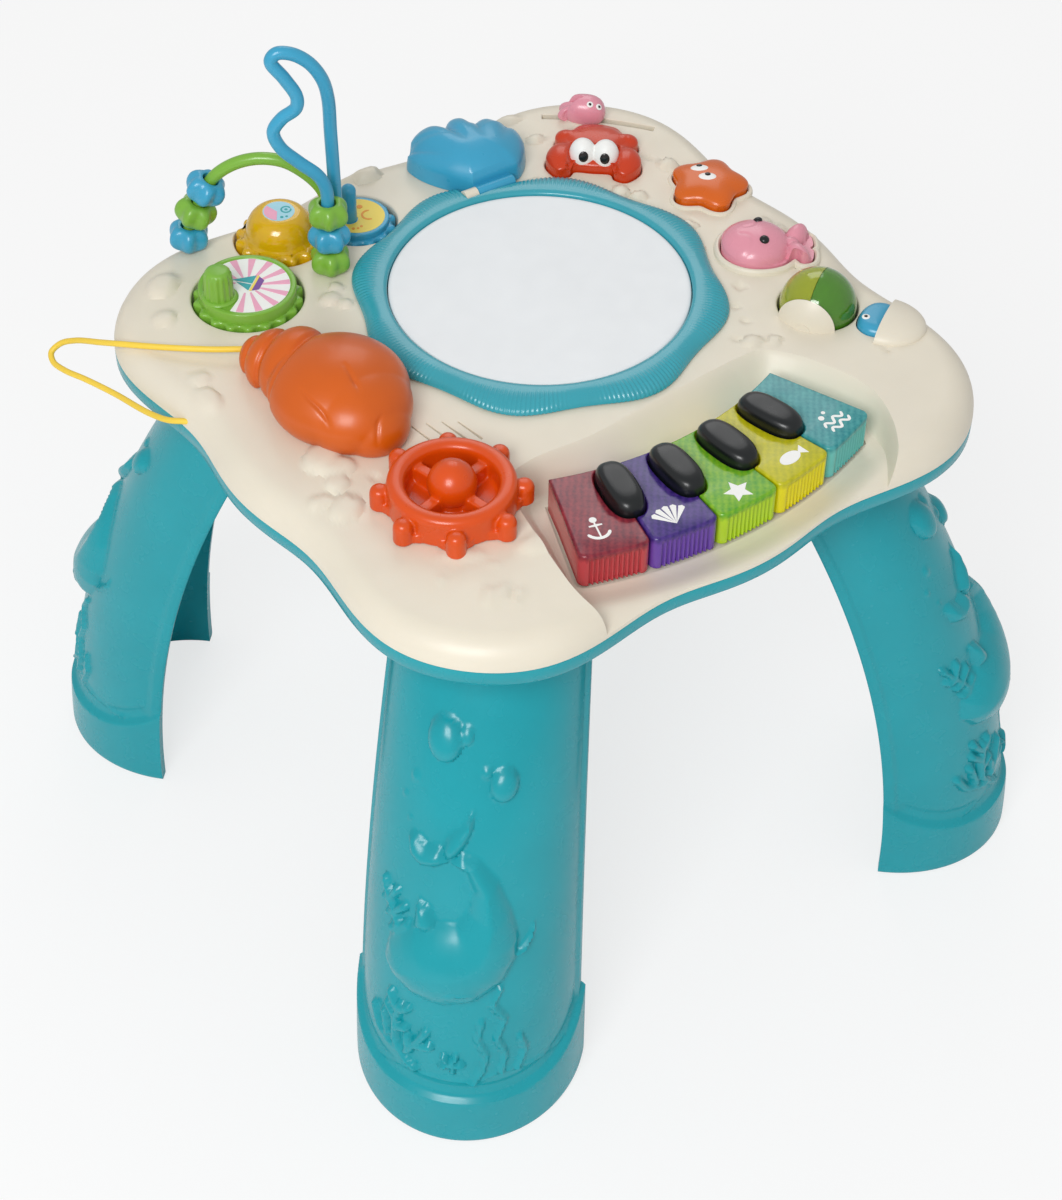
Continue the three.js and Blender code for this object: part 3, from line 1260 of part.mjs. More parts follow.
function yellowGear(phase) {
  let gear = gearBase(YELLOW_TEETH, phase, YELLOW_TOOTH_TOP);
  const rise = YELLOW_DOME_TOP - YELLOW_TOOTH_TOP;
  const dome = [[0, YELLOW_TOOTH_TOP - WALL], [YELLOW_DOME_RADIUS, YELLOW_TOOTH_TOP - WALL]];
  for (const turn of [0, 22, 42, 60]) {
    const [across, up] = around(1, turn);
    dome.push([YELLOW_CAP_RADIUS + (YELLOW_DOME_RADIUS - YELLOW_CAP_RADIUS) * across,
      YELLOW_TOOTH_TOP + rise * up]);
  }
  dome.push([YELLOW_CAP_RADIUS, YELLOW_DOME_TOP], [0, YELLOW_DOME_TOP]);
  gear = gear.add(turned(dome, ROUND_SIDES));
  return boredGear(gear);
}

function blueGear(phase) {
  let gear = gearBase(BLUE_TEETH, phase, BLUE_TOOTH_TOP);
  gear = gear.add(rod(BLUE_DISC_RADIUS, BLUE_TOOTH_TOP - WALL, BLUE_TOP, ROUND_SIDES));
  const knob = turned([
    [0, BLUE_TOP - WALL],
    [BLUE_KNOB_RADIUS, BLUE_TOP - WALL],
    [BLUE_KNOB_RADIUS, BLUE_KNOB_TOP - BLUE_KNOB_RADIUS],
    [0.7 * BLUE_KNOB_RADIUS, BLUE_KNOB_TOP - 0.3 * BLUE_KNOB_RADIUS],
    [0, BLUE_KNOB_TOP],
  ], TINY_SIDES);
  gear = gear.add(knob.translate([-BLUE_KNOB_OFFSET, 0, 0]));
  return boredGear(gear);
}

// Bead with soft lobes and a wide bore, standing on its lower end
function bead() {
  const heightShares = [0, 0.28, 0.72, 1];
  const radiusShares = [0.66, 1, 1, 0.66];
  const count = BEAD_LOBES * 3;
  const rings = heightShares.map((heightShare, level) => {
    const ring = [];
    for (let i = 0; i < count; i++) {
      const wave = BEAD_LOBE * Math.cos(radians((360 * i * BEAD_LOBES) / count));
      const radius = BEAD_RADIUS * radiusShares[level] + wave * radiusShares[level];
      ring.push([...around(radius, (360 * i) / count), heightShare * BEAD_HEIGHT]);
    }
    return ring;
  });
  return loft(rings).subtract(rod(BEAD_BORE, -OVERRUN, BEAD_HEIGHT + OVERRUN, SMALL_SIDES));
}

const deckSeat = DECK_HEIGHT + BEAD_SEAT;
const wireFoot = DECK_HEIGHT + TOUCH_GAP;

function greenRoute() {
  const shares = [
    [0, 0], [0, 0.12], [0.02, 0.25], [0.06, 0.38], [0.133, 0.62], [0.228, 0.81], [0.376, 0.945], [0.54, 1],
    [0.7, 0.975], [0.833, 0.87], [0.94, 0.72], [0.985, 0.58], [1, 0.35], [1, 0],
  ];
  return shares.map(([along, up]) => [
    LEFT_STACK_X + (GREEN_FOOT_X - LEFT_STACK_X) * along,
    LEFT_STACK_Y + (GREEN_FOOT_Y - LEFT_STACK_Y) * along,
    wireFoot + (WIRE_ARCH - DECK_RISE) * up,
  ]);
}

// A bead on the green wire, with its middle a given way up along it
function beadOnWire(body, distance) {
  const wire = new THREE.CatmullRomCurve3(greenRoute().map((point) => new THREE.Vector3(...point)));
  const share = distance / wire.getLength();
  const upright = new THREE.Vector3(0, 0, 1);
  const turn = new THREE.Quaternion().setFromUnitVectors(upright, wire.getTangentAt(share));
  const middle = wire.getPointAt(share);
  const matrix = new THREE.Matrix4().compose(middle, turn, new THREE.Vector3(1, 1, 1));
  return body.translate([0, 0, -BEAD_HEIGHT / 2]).transform(matrix.elements);
}

// The tall wire bends sideways and back, then comes down behind the beads
const BLUE_WIRE_HEIGHT = 133;
const BLUE_WIRE_SWING = 27;
const BLUE_WIRE_TURN = 143;

function blueWire() {
  const [swingX, swingY] = around(BLUE_WIRE_SWING, BLUE_WIRE_TURN);
  const shares = [
    [0, 0, 0], [0, 0, 0.12], [0, 0, 0.3], [0.02, 0, 0.4], [0.16, 0, 0.46], [0.5, 0, 0.52], [0.85, 0, 0.59],
    [0.97, 0.02, 0.66], [0.8, 0.04, 0.72], [0.52, 0.06, 0.77], [0.5, 0.08, 0.82], [0.72, 0.1, 0.9],
    [0.96, 0.14, 0.97], [0.86, 0.2, 1], [0.6, 0.3, 0.995], [0.3, 0.42, 0.95], [0.08, 0.55, 0.87],
    [0, 0.66, 0.78], [0, 0.78, 0.6], [0, 0.9, 0.35], [0, 1, 0.12], [0, 1, 0],
  ];
  const points = shares.map(([swing, back, up]) => [
    RIGHT_STACK_X + swingX * swing + (BLUE_FOOT_X - RIGHT_STACK_X) * back,
    RIGHT_STACK_Y + swingY * swing + (BLUE_FOOT_Y - RIGHT_STACK_Y) * back,
    wireFoot + BLUE_WIRE_HEIGHT * up,
  ]);
  return tube(points, BLUE_WIRE_RADIUS, BLUE_WIRE_STEPS);
}

// Scallop lid about the middle of its hinge, heights above the deck
function shellLid() {
  const middleShare = 0.5;
  const domeShares = [1, 1, 0.93, 0.75, 0.45];
  const heightShares = [0, 0.26, 0.6, 0.85, 0.98];
  function dome(inset, top, low) {
    const outline = lidOutline(inset);
    const centre = [0, LID_REACH * middleShare];
    const rings = domeShares.map((share, level) => {
      const height = level === 0 ? low : TOUCH_GAP + (top - TOUCH_GAP) * heightShares[level];
      return outline.map(([x, y]) => [
        centre[0] + (x - centre[0]) * share,
        centre[1] + (y - centre[1]) * share,
        height,
      ]);
    });
    rings.push([[centre[0], centre[1], top]]);
    return loft(rings);
  }
  let lid = dome(0, LID_TOP, TOUCH_GAP).subtract(dome(LID_WALL, LID_TOP - LID_WALL, -OVERRUN));
  const barrel = crossRod(LID_BARREL_RADIUS, LID_BARREL_LENGTH).translate([0, 0, LID_AXIS_HEIGHT]);
  const bridge = block(LID_BARREL_LENGTH, 2 * LID_BARREL_RADIUS, LID_AXIS_HEIGHT - LID_WALL,
    LID_AXIS_HEIGHT + LID_WALL, 0, LID_BARREL_RADIUS);
  lid = lid.add(barrel).add(bridge);
  const bore = crossRod(LID_PIN_RADIUS + TOUCH_GAP, lidPinLength + 2 * TOUCH_GAP);
  return lid.subtract(bore.translate([lidPinMiddle, 0, LID_AXIS_HEIGHT]));
}

// A push button: a flange under the deck that follows its inside, a skirt and a domed top
function pushButton(outline, top, x, y, turn) {
  const flangeLow = -WALL - TOUCH_GAP - BUTTON_FLANGE_THICKNESS;
  const flange = placed(prism(grown(outline, BUTTON_FLANGE), flangeLow, 0), x, y, DECK_HEIGHT, turn);
  const cap = loft([
    atHeight(outline, flangeLow),
    atHeight(outline, top * 0.45),
    atHeight(outline, top * 0.75, 0.93),
    atHeight(outline, top * 0.95, 0.7),
    [[0, 0, top]],
  ]);
  const room = loft(deckRings(WALL + TOUCH_GAP, DECK_RISE - WALL - TOUCH_GAP, INSIDE_STEPS,
    JOINT_HEIGHT - OVERRUN));
  return placed(cap, x, y, DECK_HEIGHT, turn).add(flange.intersect(room));
}

function crabButton() {
  let crab = pushButton(crabOutline(), CRAB_TOP, CRAB_X, CRAB_Y, CRAB_TURN);
  for (const sign of [-1, 1]) {
    const eye = ellipsoid(CRAB_EYE_RADIUS, CRAB_EYE_RADIUS * 0.8, CRAB_EYE_RADIUS)
      .translate([sign * CRAB_EYE_RADIUS * 0.82, -CRAB_EYE_RADIUS * 0.6, CRAB_TOP * 0.8]);
    crab = crab.add(placed(eye, CRAB_X, CRAB_Y, DECK_HEIGHT, CRAB_TURN));
  }
  return crab;
}

// Slider figure: a small whale over a neck and a keeper disc
function sliderFigure() {
  const shares = [
    [1, 0], [0.88, 0.4], [0.5, 0.62], [0, 0.66], [-0.5, 0.58], [-0.85, 0.34], [-1.1, 0.42], [-1.3, 0.3],
      [-1.2, 0],
  ];
  const lower = shares.slice(1, -1).reverse().map(([x, y]) => [x, -y]);
  const outline = [...shares, ...lower].map(([x, y]) => [x * SLIDER_REACH, y * SLIDER_REACH]);
  let figure = loft([
    atHeight(outline, TOUCH_GAP, 0.9),
    atHeight(outline, SLIDER_TOP * 0.3),
    atHeight(outline, SLIDER_TOP * 0.7, 0.85),
    atHeight(outline, SLIDER_TOP * 0.93, 0.55),
    [[0, 0, SLIDER_TOP]],
  ]);
  const keeperTop = -WALL - 3 * TOUCH_GAP;
  figure = figure.add(rod(SLIDER_NECK_RADIUS, keeperTop - TOUCH_GAP, WALL, TINY_SIDES));
  return figure.add(rod(SLIDER_KEEPER_RADIUS, keeperTop - SLIDER_KEEPER_THICKNESS, keeperTop, SMALL_SIDES));
}

// Half of the rolling ball, a bowl whose flat side lies along the axle
function ballHalf(side) {
  const inner = BALL_RADIUS - BALL_WALL;
  const bowl = ellipsoid(BALL_RADIUS, BALL_RADIUS, BALL_RADIUS, ROUND_SIDES, TINY_SIDES)
    .subtract(ellipsoid(inner, inner, inner));
  const keep = block(2 * BALL_FLAT, BALL_RADIUS, -BALL_RADIUS, BALL_RADIUS, 0,
    side * (BALL_RADIUS + TOUCH_GAP) / 2);
  return bowl.intersect(keep).subtract(crossRod(BALL_AXLE_RADIUS + TOUCH_GAP, 2 * BALL_RADIUS));
}

// Small fish on a plate that turns round a pin under the deck
function fishFlap() {
  const outline = fishOutline();
  const centre = [0, FISH_REACH / 2];
  const plateTop = -WALL - TOUCH_GAP;
  const levels = [[plateTop - FISH_PLATE, 1], [0, 1], [FISH_TOP * 0.7, 0.86], [FISH_TOP, 0.6]];
  const body = loft(levels.map(([height, share]) => outline.map(([x, y]) => [
    centre[0] + (x - centre[0]) * share,
    centre[1] + (y - centre[1]) * share,
    height,
  ])));
  const ring = rod(FISH_RING_RADIUS, plateTop - FISH_PLATE, plateTop, SMALL_SIDES, FISH_PIN_X, FISH_PIN_Y);
  const arm = prism([
    [FISH_PIN_X, FISH_PIN_Y - FISH_RING_RADIUS / 2],
    [0, -FISH_REACH * 0.1],
    [0, FISH_REACH * 0.5],
    [FISH_PIN_X, FISH_PIN_Y + FISH_RING_RADIUS],
  ], plateTop - FISH_PLATE, plateTop);
  const bore = rod(FISH_PIN_RADIUS + TOUCH_GAP, plateTop - FISH_PLATE - OVERRUN, OVERRUN, SMALL_SIDES,
    FISH_PIN_X, FISH_PIN_Y);
  return body.add(ring).add(arm).subtract(bore);
}

// Shell handset: a round body, a nose and three whorls towards the tip
function conchHandset() {
  const lumpShares = [
    [-0.03, 0.06, 0.84, 0.84, 0.98],
    [-0.66, 0.26, 0.42, 0.44, 0.66],
    [0.7, -0.13, 0.37, 0.56, 0.84],
    [1.01, -0.11, 0.28, 0.4, 0.7],
    [1.22, -0.09, 0.21, 0.24, 0.5],
  ];
  let shell = conchCollar();
  for (const [along, across, halfLength, halfWidth, rise] of lumpShares) {
    const height = rise * CONCH_HEIGHT;
    const lump = ellipsoid(halfLength * CONCH_HALF_LENGTH, halfWidth * CONCH_HALF_LENGTH, height * 0.66)
      .translate([along * CONCH_HALF_LENGTH, across * CONCH_HALF_LENGTH, height * 0.34]);
    shell = shell.add(lump);
  }
  const side = 4 * CONCH_HALF_LENGTH;
  return shell.subtract(block(side, side, -side, TOUCH_GAP));
}

// The collar at the tip that the cord starts from, in the handset's own coordinates
function conchCollar() {
  const face = new THREE.Vector3(...cordRoute[0]);
  const way = new THREE.Vector3(...cordRoute[1]).sub(face).normalize();
  face.addScaledVector(way, -TOUCH_GAP);
  const root = face.clone().addScaledVector(way, -CONCH_COLLAR_LENGTH);
  return tubeBetween(root.toArray(), face.toArray(), CONCH_COLLAR_RADIUS, 0)
    .translate([-CONCH_X, -CONCH_Y, -DECK_HEIGHT]).rotate([0, 0, -CONCH_TURN]);
}

// The handset's cord, from the tip of the shell out over the edge and back to the hole in the skirt
const CORD_RISE = JOINT_HEIGHT;
const cordRoute = [
  [-132.5, 77, CORD_RISE + CORD_TIP_HEIGHT],
  [-145, 86, CORD_RISE + 19.6],
  [-162, 102, CORD_RISE + 18],
  [-178, 121, CORD_RISE + 15],
  [-184, 136, CORD_RISE + 9],
  [-190, 154, CORD_RISE + 1],
  [-195, 163, CORD_RISE - 5],
  [-200, 164, CORD_RISE - 9],
  [-202, 159, CORD_RISE - 11],
  [-201, 148, CORD_RISE - 10],
  [-197, 134, CORD_RISE - 8],
  [-192, 110, CORD_RISE - 4],
  [-187, 84, CORD_RISE - 1],
  [-183, 70, CORD_RISE + 2],
  [-177, 62.5, CORD_RISE + 3.5],
  [-171, 57, CORD_RISE + 3.5],
];

function cordPost() {
  const end = new THREE.Vector3(...cordRoute.at(-1));
  const before = new THREE.Vector3(...cordRoute.at(-2));
  const way = end.clone().sub(before).normalize();
  end.addScaledVector(way, CORD_POST_RADIUS + TOUCH_GAP);
  return [end.x, end.y];
}

// Piano keys in fan coordinates
function pianoKey(index) {
  const middle = (index - (KEYS - 1) / 2) * KEY_PITCH;
  const gap = (KEY_SIDE_GAP / 2 / KEY_FRONT) * (180 / Math.PI);
  const backGap = (KEY_SIDE_GAP / 2 / KEY_BACK) * (180 / Math.PI);
  const half = KEY_PITCH / 2;
  const corner = (KEY_CORNER / KEY_FRONT) * (180 / Math.PI);
  function outline(inset) {
    const turn = (inset / KEY_FRONT) * (180 / Math.PI);
    return [
      fanPoint(KEY_BACK + inset, middle - half + backGap + turn),
      fanPoint(KEY_FRONT - KEY_CORNER / 2 - inset, middle - half + gap + turn),
      fanPoint(KEY_FRONT - inset, middle - half + gap + corner),
      fanPoint(KEY_FRONT - inset, middle + half - gap - corner),
      fanPoint(KEY_FRONT - KEY_CORNER / 2 - inset, middle + half - gap - turn),
      fanPoint(KEY_BACK + inset, middle + half - backGap - turn),
    ];
  }
  const floor = KEY_FLOOR + TOUCH_GAP;
  const lifts = [0, 1, 1, 1, 1, 0];
  const low = outline(0).map(([x, y], i) => [x, y,
    JOINT_HEIGHT + floor + lifts[i] * (KEY_LIFT - TOUCH_GAP)]);
  const top = JOINT_HEIGHT + KEY_TOP;
  let key = loft([low, atHeight(outline(0), top - KEY_EDGE), atHeight(outline(KEY_EDGE), top)]);
  for (const degrees of blackAngles) {
    const notch = moved(blackOutline(BLACK_GAP), ...fanPoint(blackRing, degrees), degrees);
    key = key.subtract(prism(notch, JOINT_HEIGHT + KEY_FLOOR, top + OVERRUN));
  }
  return key;
}

function blackKey() {
  const outline = blackOutline(0);
  const low = KEY_FLOOR + BLACK_TRAVEL;
  const key = loft([
    atHeight(outline, low),
    atHeight(outline, BLACK_TOP - 5 * KEY_EDGE),
    atHeight(outline, BLACK_TOP - 2 * KEY_EDGE, 0.97),
    atHeight(outline, BLACK_TOP - KEY_EDGE / 2, 0.85),
    atHeight(outline, BLACK_TOP, 0.62),
  ]);
  return key.add(rod(BLACK_STEM_RADIUS, KEY_FLOOR - WALL - TOUCH_GAP, low + TOUCH_GAP, TINY_SIDES));
}

// Inner pieces
function speaker() {
  return turned([
    [0, -SPEAKER_DEPTH],
    [SPEAKER_MAGNET_RADIUS, -SPEAKER_DEPTH],
    [SPEAKER_MAGNET_RADIUS, -SPEAKER_DEPTH / 2],
    [SPEAKER_RADIUS - SPEAKER_RIM, -SPEAKER_RIM],
    [SPEAKER_RADIUS, -SPEAKER_RIM],
    [SPEAKER_RADIUS, 0],
    [SPEAKER_RADIUS - SPEAKER_RIM, 0],
    [SPEAKER_MAGNET_RADIUS / 2, -SPEAKER_DEPTH / 3],
    [0, -SPEAKER_DEPTH / 3],
  ]);
}

function cell() {
  const half = CELL_LENGTH / 2;
  return turned([
    [0, -half],
    [CELL_RADIUS, -half],
    [CELL_RADIUS, half],
    [CELL_NUB_RADIUS, half],
    [CELL_NUB_RADIUS, half + CELL_NUB_LENGTH],
    [0, half + CELL_NUB_LENGTH],
  ], SMALL_SIDES).rotate([0, 90, 0]);
}

function batteryDoor() {
  const inLength = CELL_LENGTH + CELL_NUB_LENGTH + 2 * CELL_BOX_GAP;
  const inWidth = CELL_PITCH * CELL_COUNT + 2 * CELL_BOX_GAP;
  const length = inLength + 2 * (DOOR_EDGE - DOOR_GAP);
  const width = inWidth + 2 * (DOOR_EDGE - DOOR_GAP);
  const thin = DOOR_THICKNESS - WALL / 2;
  return block(length, width, BELLY_BOTTOM, BELLY_BOTTOM + thin, CELL_BOX_X, CELL_BOX_Y)
    .add(block(inLength - 2 * DOOR_GAP, inWidth - 2 * DOOR_GAP, BELLY_BOTTOM + thin / 2,
      BELLY_BOTTOM + DOOR_THICKNESS, CELL_BOX_X, CELL_BOX_Y));
}

function powerSwitch() {
  const knob = block(SWITCH_LENGTH, SWITCH_WIDTH, BELLY_BOTTOM - SWITCH_KNOB_DROP,
    BELLY_FLOOR + 2 * TOUCH_GAP);
  const flange = block(SWITCH_LENGTH + 2 * SWITCH_FLANGE + SWITCH_TRAVEL, SWITCH_WIDTH + 2 * SWITCH_FLANGE,
    BELLY_FLOOR + TOUCH_GAP, BELLY_FLOOR + SWITCH_FLANGE);
  return knob.add(flange).translate([SWITCH_X, SWITCH_Y, 0]);
}

// Assembly
add("tabletop_shell", tabletopShell(), CREAM);
add("base_tray", baseTray(), TEAL);
const legNames = ["leg_back_right", "leg_back_left", "leg_front_left", "leg_front_right"];
const legBody = leg();
const legPitch = 360 / legNames.length;
legNames.forEach((name, k) => add(name, legBody, TEAL, groupAt(0, 0, 0, legPitch * (k + 1 / 2))));

const drumGroup = groupAt(DRUM_X, DRUM_Y, DECK_HEIGHT);
add("drum_ring", drumRing(), RING_TEAL, drumGroup);
add("drum_pad", drumPad(), PAD_WHITE, drumGroup);

const wheelGroup = groupAt(WHEEL_X, WHEEL_Y, DECK_HEIGHT);
add("steering_wheel", steeringWheel(), RED_ORANGE, wheelGroup);
add("wheel_screw", screw(WHEEL_SCREW_LENGTH), STEEL, groupAt(WHEEL_X, WHEEL_Y, DECK_UNDERSIDE - TOUCH_GAP));

const greenPhase = radians(GREEN_TEETH * YELLOW_ANGLE);
const yellowPhase = radians(YELLOW_TEETH * (YELLOW_ANGLE + 180) + 180);
const yellowAtBlue = radians(YELLOW_TEETH * BLUE_ANGLE) - yellowPhase;
const bluePhase = radians(BLUE_TEETH * (BLUE_ANGLE + 180) + 180) + yellowAtBlue;
add("green_gear", greenGear(greenPhase), LEAF_GREEN, groupAt(GREEN_X, GREEN_Y, JOINT_HEIGHT));
add("yellow_gear", yellowGear(yellowPhase), CLEAR_YELLOW, groupAt(YELLOW_X, YELLOW_Y, JOINT_HEIGHT));
add("blue_gear", blueGear(bluePhase), SKY_BLUE, groupAt(BLUE_X, BLUE_Y, JOINT_HEIGHT));

add("green_wire", tube(greenRoute(), GREEN_WIRE_RADIUS, GREEN_WIRE_STEPS), LEAF_GREEN);
add("blue_wire", blueWire(), SKY_BLUE);
const beadBody = bead();
const beadLevels = ["bottom", "middle", "top"];
beadLevels.forEach((level, k) => {
  const turned = beadBody.rotate([0, 0, 30 * k]);
  const height = deckSeat + k * (BEAD_HEIGHT + BEAD_GAP);
  const distance = BEAD_TILT_SEAT + BEAD_HEIGHT / 2 + k * (BEAD_HEIGHT + BEAD_TILT_GAP);
  add(`left_bead_${level}`, beadOnWire(turned, distance), k === 1 ? LEAF_GREEN : SKY_BLUE);
  add(`right_bead_${level}`, turned, k === 1 ? SKY_BLUE : LEAF_GREEN,
    groupAt(RIGHT_STACK_X, RIGHT_STACK_Y, height));
});

const lidGroup = groupAt(LID_X, LID_Y, DECK_HEIGHT, LID_TURN);
add("shell_lid", shellLid(), SKY_BLUE, lidGroup);
add("lid_pin", crossRod(LID_PIN_RADIUS, lidPinLength).translate([lidPinMiddle, 0, LID_AXIS_HEIGHT]),
  STEEL, lidGroup);

add("crab_button", crabButton(), CRAB_RED);
add("star_button", pushButton(starOutline(), STAR_TOP, STAR_X, STAR_Y, 0), STAR_ORANGE);
add("whale_button",
  pushButton(whaleOutline(0), WHALE_BUTTON_TOP, WHALE_BUTTON_X, WHALE_BUTTON_Y, WHALE_BUTTON_TURN), PINK);
const [sliderX, sliderY] = around(SLOT_RADIUS, SLIDER_ANGLE);
add("slider_figure", sliderFigure(), PINK, groupAt(sliderX, sliderY, DECK_HEIGHT, SLIDER_ANGLE - 90));

const ballGroup = groupAt(BALL_X, BALL_Y, DECK_HEIGHT, BALL_AXLE_ANGLE);
add("ball_half_yellow", ballHalf(1), CLEAR_LIME, ballGroup);
add("ball_half_green", ballHalf(-1), CLEAR_GREEN, ballGroup);
add("ball_axle", ballAxle(0), STEEL, ballGroup);
const fishGroup = groupAt(FISH_X, FISH_Y, DECK_HEIGHT, FISH_ANGLE);
add("fish_flap", fishFlap(), SKY_BLUE, fishGroup);
const fishScrew = screw(FISH_SCREW_LENGTH, FISH_RING_RADIUS * 0.8);
add("fish_screw", fishScrew.translate([FISH_PIN_X, FISH_PIN_Y, fishScrewHeight]), STEEL, fishGroup);

add("conch_handset", conchHandset(), ORANGE, groupAt(CONCH_X, CONCH_Y, DECK_HEIGHT, CONCH_TURN));
add("handset_cord", tube(cordRoute, CORD_RADIUS, CORD_STEPS), CORD_YELLOW);

const keyNames = ["key_maroon", "key_purple", "key_green", "key_yellow", "key_teal"];
keyNames.forEach((name, k) => add(name, pianoKey(k), plastic(keyColours[k], 0.2, 0.9)));
blackAngles.forEach((degrees, k) => {
  const [x, y] = fanPoint(blackRing, degrees);
  add(`black_key_${k + 1}`, blackKey(), BLACK, groupAt(x, y, JOINT_HEIGHT, degrees));
});

add("speaker", speaker(), SPEAKER_GREY, groupAt(SPEAKER_X, SPEAKER_Y, DECK_UNDERSIDE - TOUCH_GAP));
add("circuit_board", block(BOARD_LENGTH, BOARD_WIDTH, JOINT_HEIGHT - BOARD_HEIGHT,
  JOINT_HEIGHT - BOARD_HEIGHT + BOARD_THICKNESS, BOARD_X, BOARD_Y), BOARD_GREEN);
for (let k = 0; k < CELL_COUNT; k++) {
  const y = CELL_BOX_Y + CELL_PITCH * (k - (CELL_COUNT - 1) / 2);
  add(`battery_cell_${k + 1}`, cell(), CELL_GREY,
    groupAt(CELL_BOX_X - CELL_NUB_LENGTH / 2, y, BELLY_BOTTOM + DOOR_THICKNESS + TOUCH_GAP + CELL_RADIUS));
}
add("battery_door", batteryDoor(), TEAL);
add("power_switch", powerSwitch(), BLACK);
POST_PLACES.forEach(([x, y], k) => {
  add(`shell_screw_${k + 1}`, screw(SCREW_LENGTH), STEEL, groupAt(x, y, BELLY_BOTTOM + SCREW_HEAD_HEIGHT));
});

export default table;
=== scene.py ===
import math
import bpy
import bmesh
from mathutils import Matrix, Vector


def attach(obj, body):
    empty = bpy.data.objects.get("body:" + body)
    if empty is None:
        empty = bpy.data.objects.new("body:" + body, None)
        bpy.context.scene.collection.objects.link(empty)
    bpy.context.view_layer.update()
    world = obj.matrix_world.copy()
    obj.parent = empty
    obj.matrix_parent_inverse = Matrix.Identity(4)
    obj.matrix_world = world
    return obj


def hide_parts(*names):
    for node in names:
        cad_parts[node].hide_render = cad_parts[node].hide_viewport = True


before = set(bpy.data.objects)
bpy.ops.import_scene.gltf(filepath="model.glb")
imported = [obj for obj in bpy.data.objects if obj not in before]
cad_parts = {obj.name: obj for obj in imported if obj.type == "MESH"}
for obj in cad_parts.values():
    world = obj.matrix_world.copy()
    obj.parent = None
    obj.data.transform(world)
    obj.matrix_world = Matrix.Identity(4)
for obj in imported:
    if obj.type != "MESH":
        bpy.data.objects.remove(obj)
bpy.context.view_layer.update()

# Sizes below are in millimetres; meshes are made in metres.
MM = 0.001
JOINT = 302.8          # where the cream top meets the teal tray
DECK = 316.8           # top of the deck
AXIS = 0.01            # least radius of a turned profile, at its axis
EDGE = 15.5            # width of the deck's rounded edge
RISE = 14              # height of that edge above the joint
DRUM = (23.5, 32.4)
WHEEL = (-108.0, -75.0)
WHEEL_TURN = 13.3
FAN = (9.6, 90.0)      # centre of the piano's arc
KEY_PITCH = 8.6        # degrees of that arc per key
KEY_BACK = 193.5       # radii on the arc: the keys' back and front, and the middle of the black keys
KEY_FRONT = 251.5
BLACK_KEY_RADIUS = 213.3
ARC_DEGREES = 57.3     # degrees in a radian, for short stretches of the arc
CONCH = (-112, 18)
CONCH_TURN = 112
CONCH_REACH = 43
BALL, CRAB, STAR, WHALE = (138.2, -60.3), (120, 112, -42), (154, 52.5, 0), (142.5, -6.5, -37)
FISH, LID = (157.5, -91.8), (56, 118.5)
FISH_TURN, LID_TURN, AXLE_TURN = 29.5, -3.5, 29.4
FISH_PIVOT = (-17, -6)  # seen from the fish's own place
PIN_HEIGHT = 4.2       # height of the lid's pin above the deck
LID_TIP = (-1.8, -2.6)  # where the lid's ribs start, seen from its own place
LID_REACH = 61


# The photograph's viewpoint, in metres, and its frame of 1062 by 1200 pixels
VIEW_TURN = -36.86
CENTRE = (531, 600)
FOCAL_PIXELS = 2675.7
azimuth, elevation, roll = math.radians(VIEW_TURN), math.radians(45.0), math.radians(1.108)
back = Vector((math.sin(azimuth) * math.cos(elevation), -math.cos(azimuth) * math.cos(elevation),
               math.sin(elevation)))
across = Vector((math.cos(azimuth), math.sin(azimuth), 0))
upright = back.cross(across)
right = across * math.cos(roll) + upright * math.sin(roll)
up = upright * math.cos(roll) - across * math.sin(roll)
viewpoint = Vector((-0.64913, -0.86230, 1.20588))

# Where eyes are seen in that frame
CRAB_PUPILS = ((583.5, 157), (604.8, 159))
STAR_EYES = (((699.5, 167.5), (699.3, 166)), ((707.5, 176), (707.8, 174.6)))
WHALE_EYES = ((757.5, 220.5), (764.5, 239.5))
SLIDER_EYES = ((590, 104.5), (599, 107))
FISH_EYE = (866, 316.5)


def sight(u, v):
    """The line of view through a point of the photograph's frame."""
    return ((right * (u - CENTRE[0]) + up * (CENTRE[1] - v)) / FOCAL_PIXELS - back).normalized()


# Shaders
def linear(code):
    """An sRGB hex value as the linear colour a shader takes."""
    parts = [int(code[i:i + 2], 16) / 255 for i in (1, 3, 5)]
    return tuple(c / 12.92 if c <= 0.04045 else ((c + 0.055) / 1.055) ** 2.4 for c in parts) + (1.0,)


def add_node(tree, kind, settings=None, links=None):
    """Adds a node with its settings and the sockets that feed it."""
    made = tree.nodes.new(kind)
    for key, value in (settings or {}).items():
        if isinstance(key, int) or key in made.inputs:
            made.inputs[key].default_value = value
        else:
            setattr(made, key, value)
    for key, source in (links or {}).items():
        tree.links.new(source, made.inputs[key])
    return made


def per_metre(size_mm):
    """A pattern's scale from the size of one of its features."""
    return 1.0 / (size_mm * MM)


def new_material(name):
    """A material, its nodes and its surface shader."""
    material = bpy.data.materials.new(name)
    material.use_nodes = True
    return material, material.node_tree, material.node_tree.nodes["Principled BSDF"]


def two_tones(tree, shader, fac, low, high):
    """Colours a surface between two tones, each with its place on the ramp."""
    ramp = add_node(tree, "ShaderNodeValToRGB", None, {"Fac": fac})
    for stop, (position, colour) in zip(ramp.color_ramp.elements, (low, high)):
        stop.position, stop.color = position, colour
    tree.links.new(ramp.outputs["Color"], shader.inputs["Base Color"])


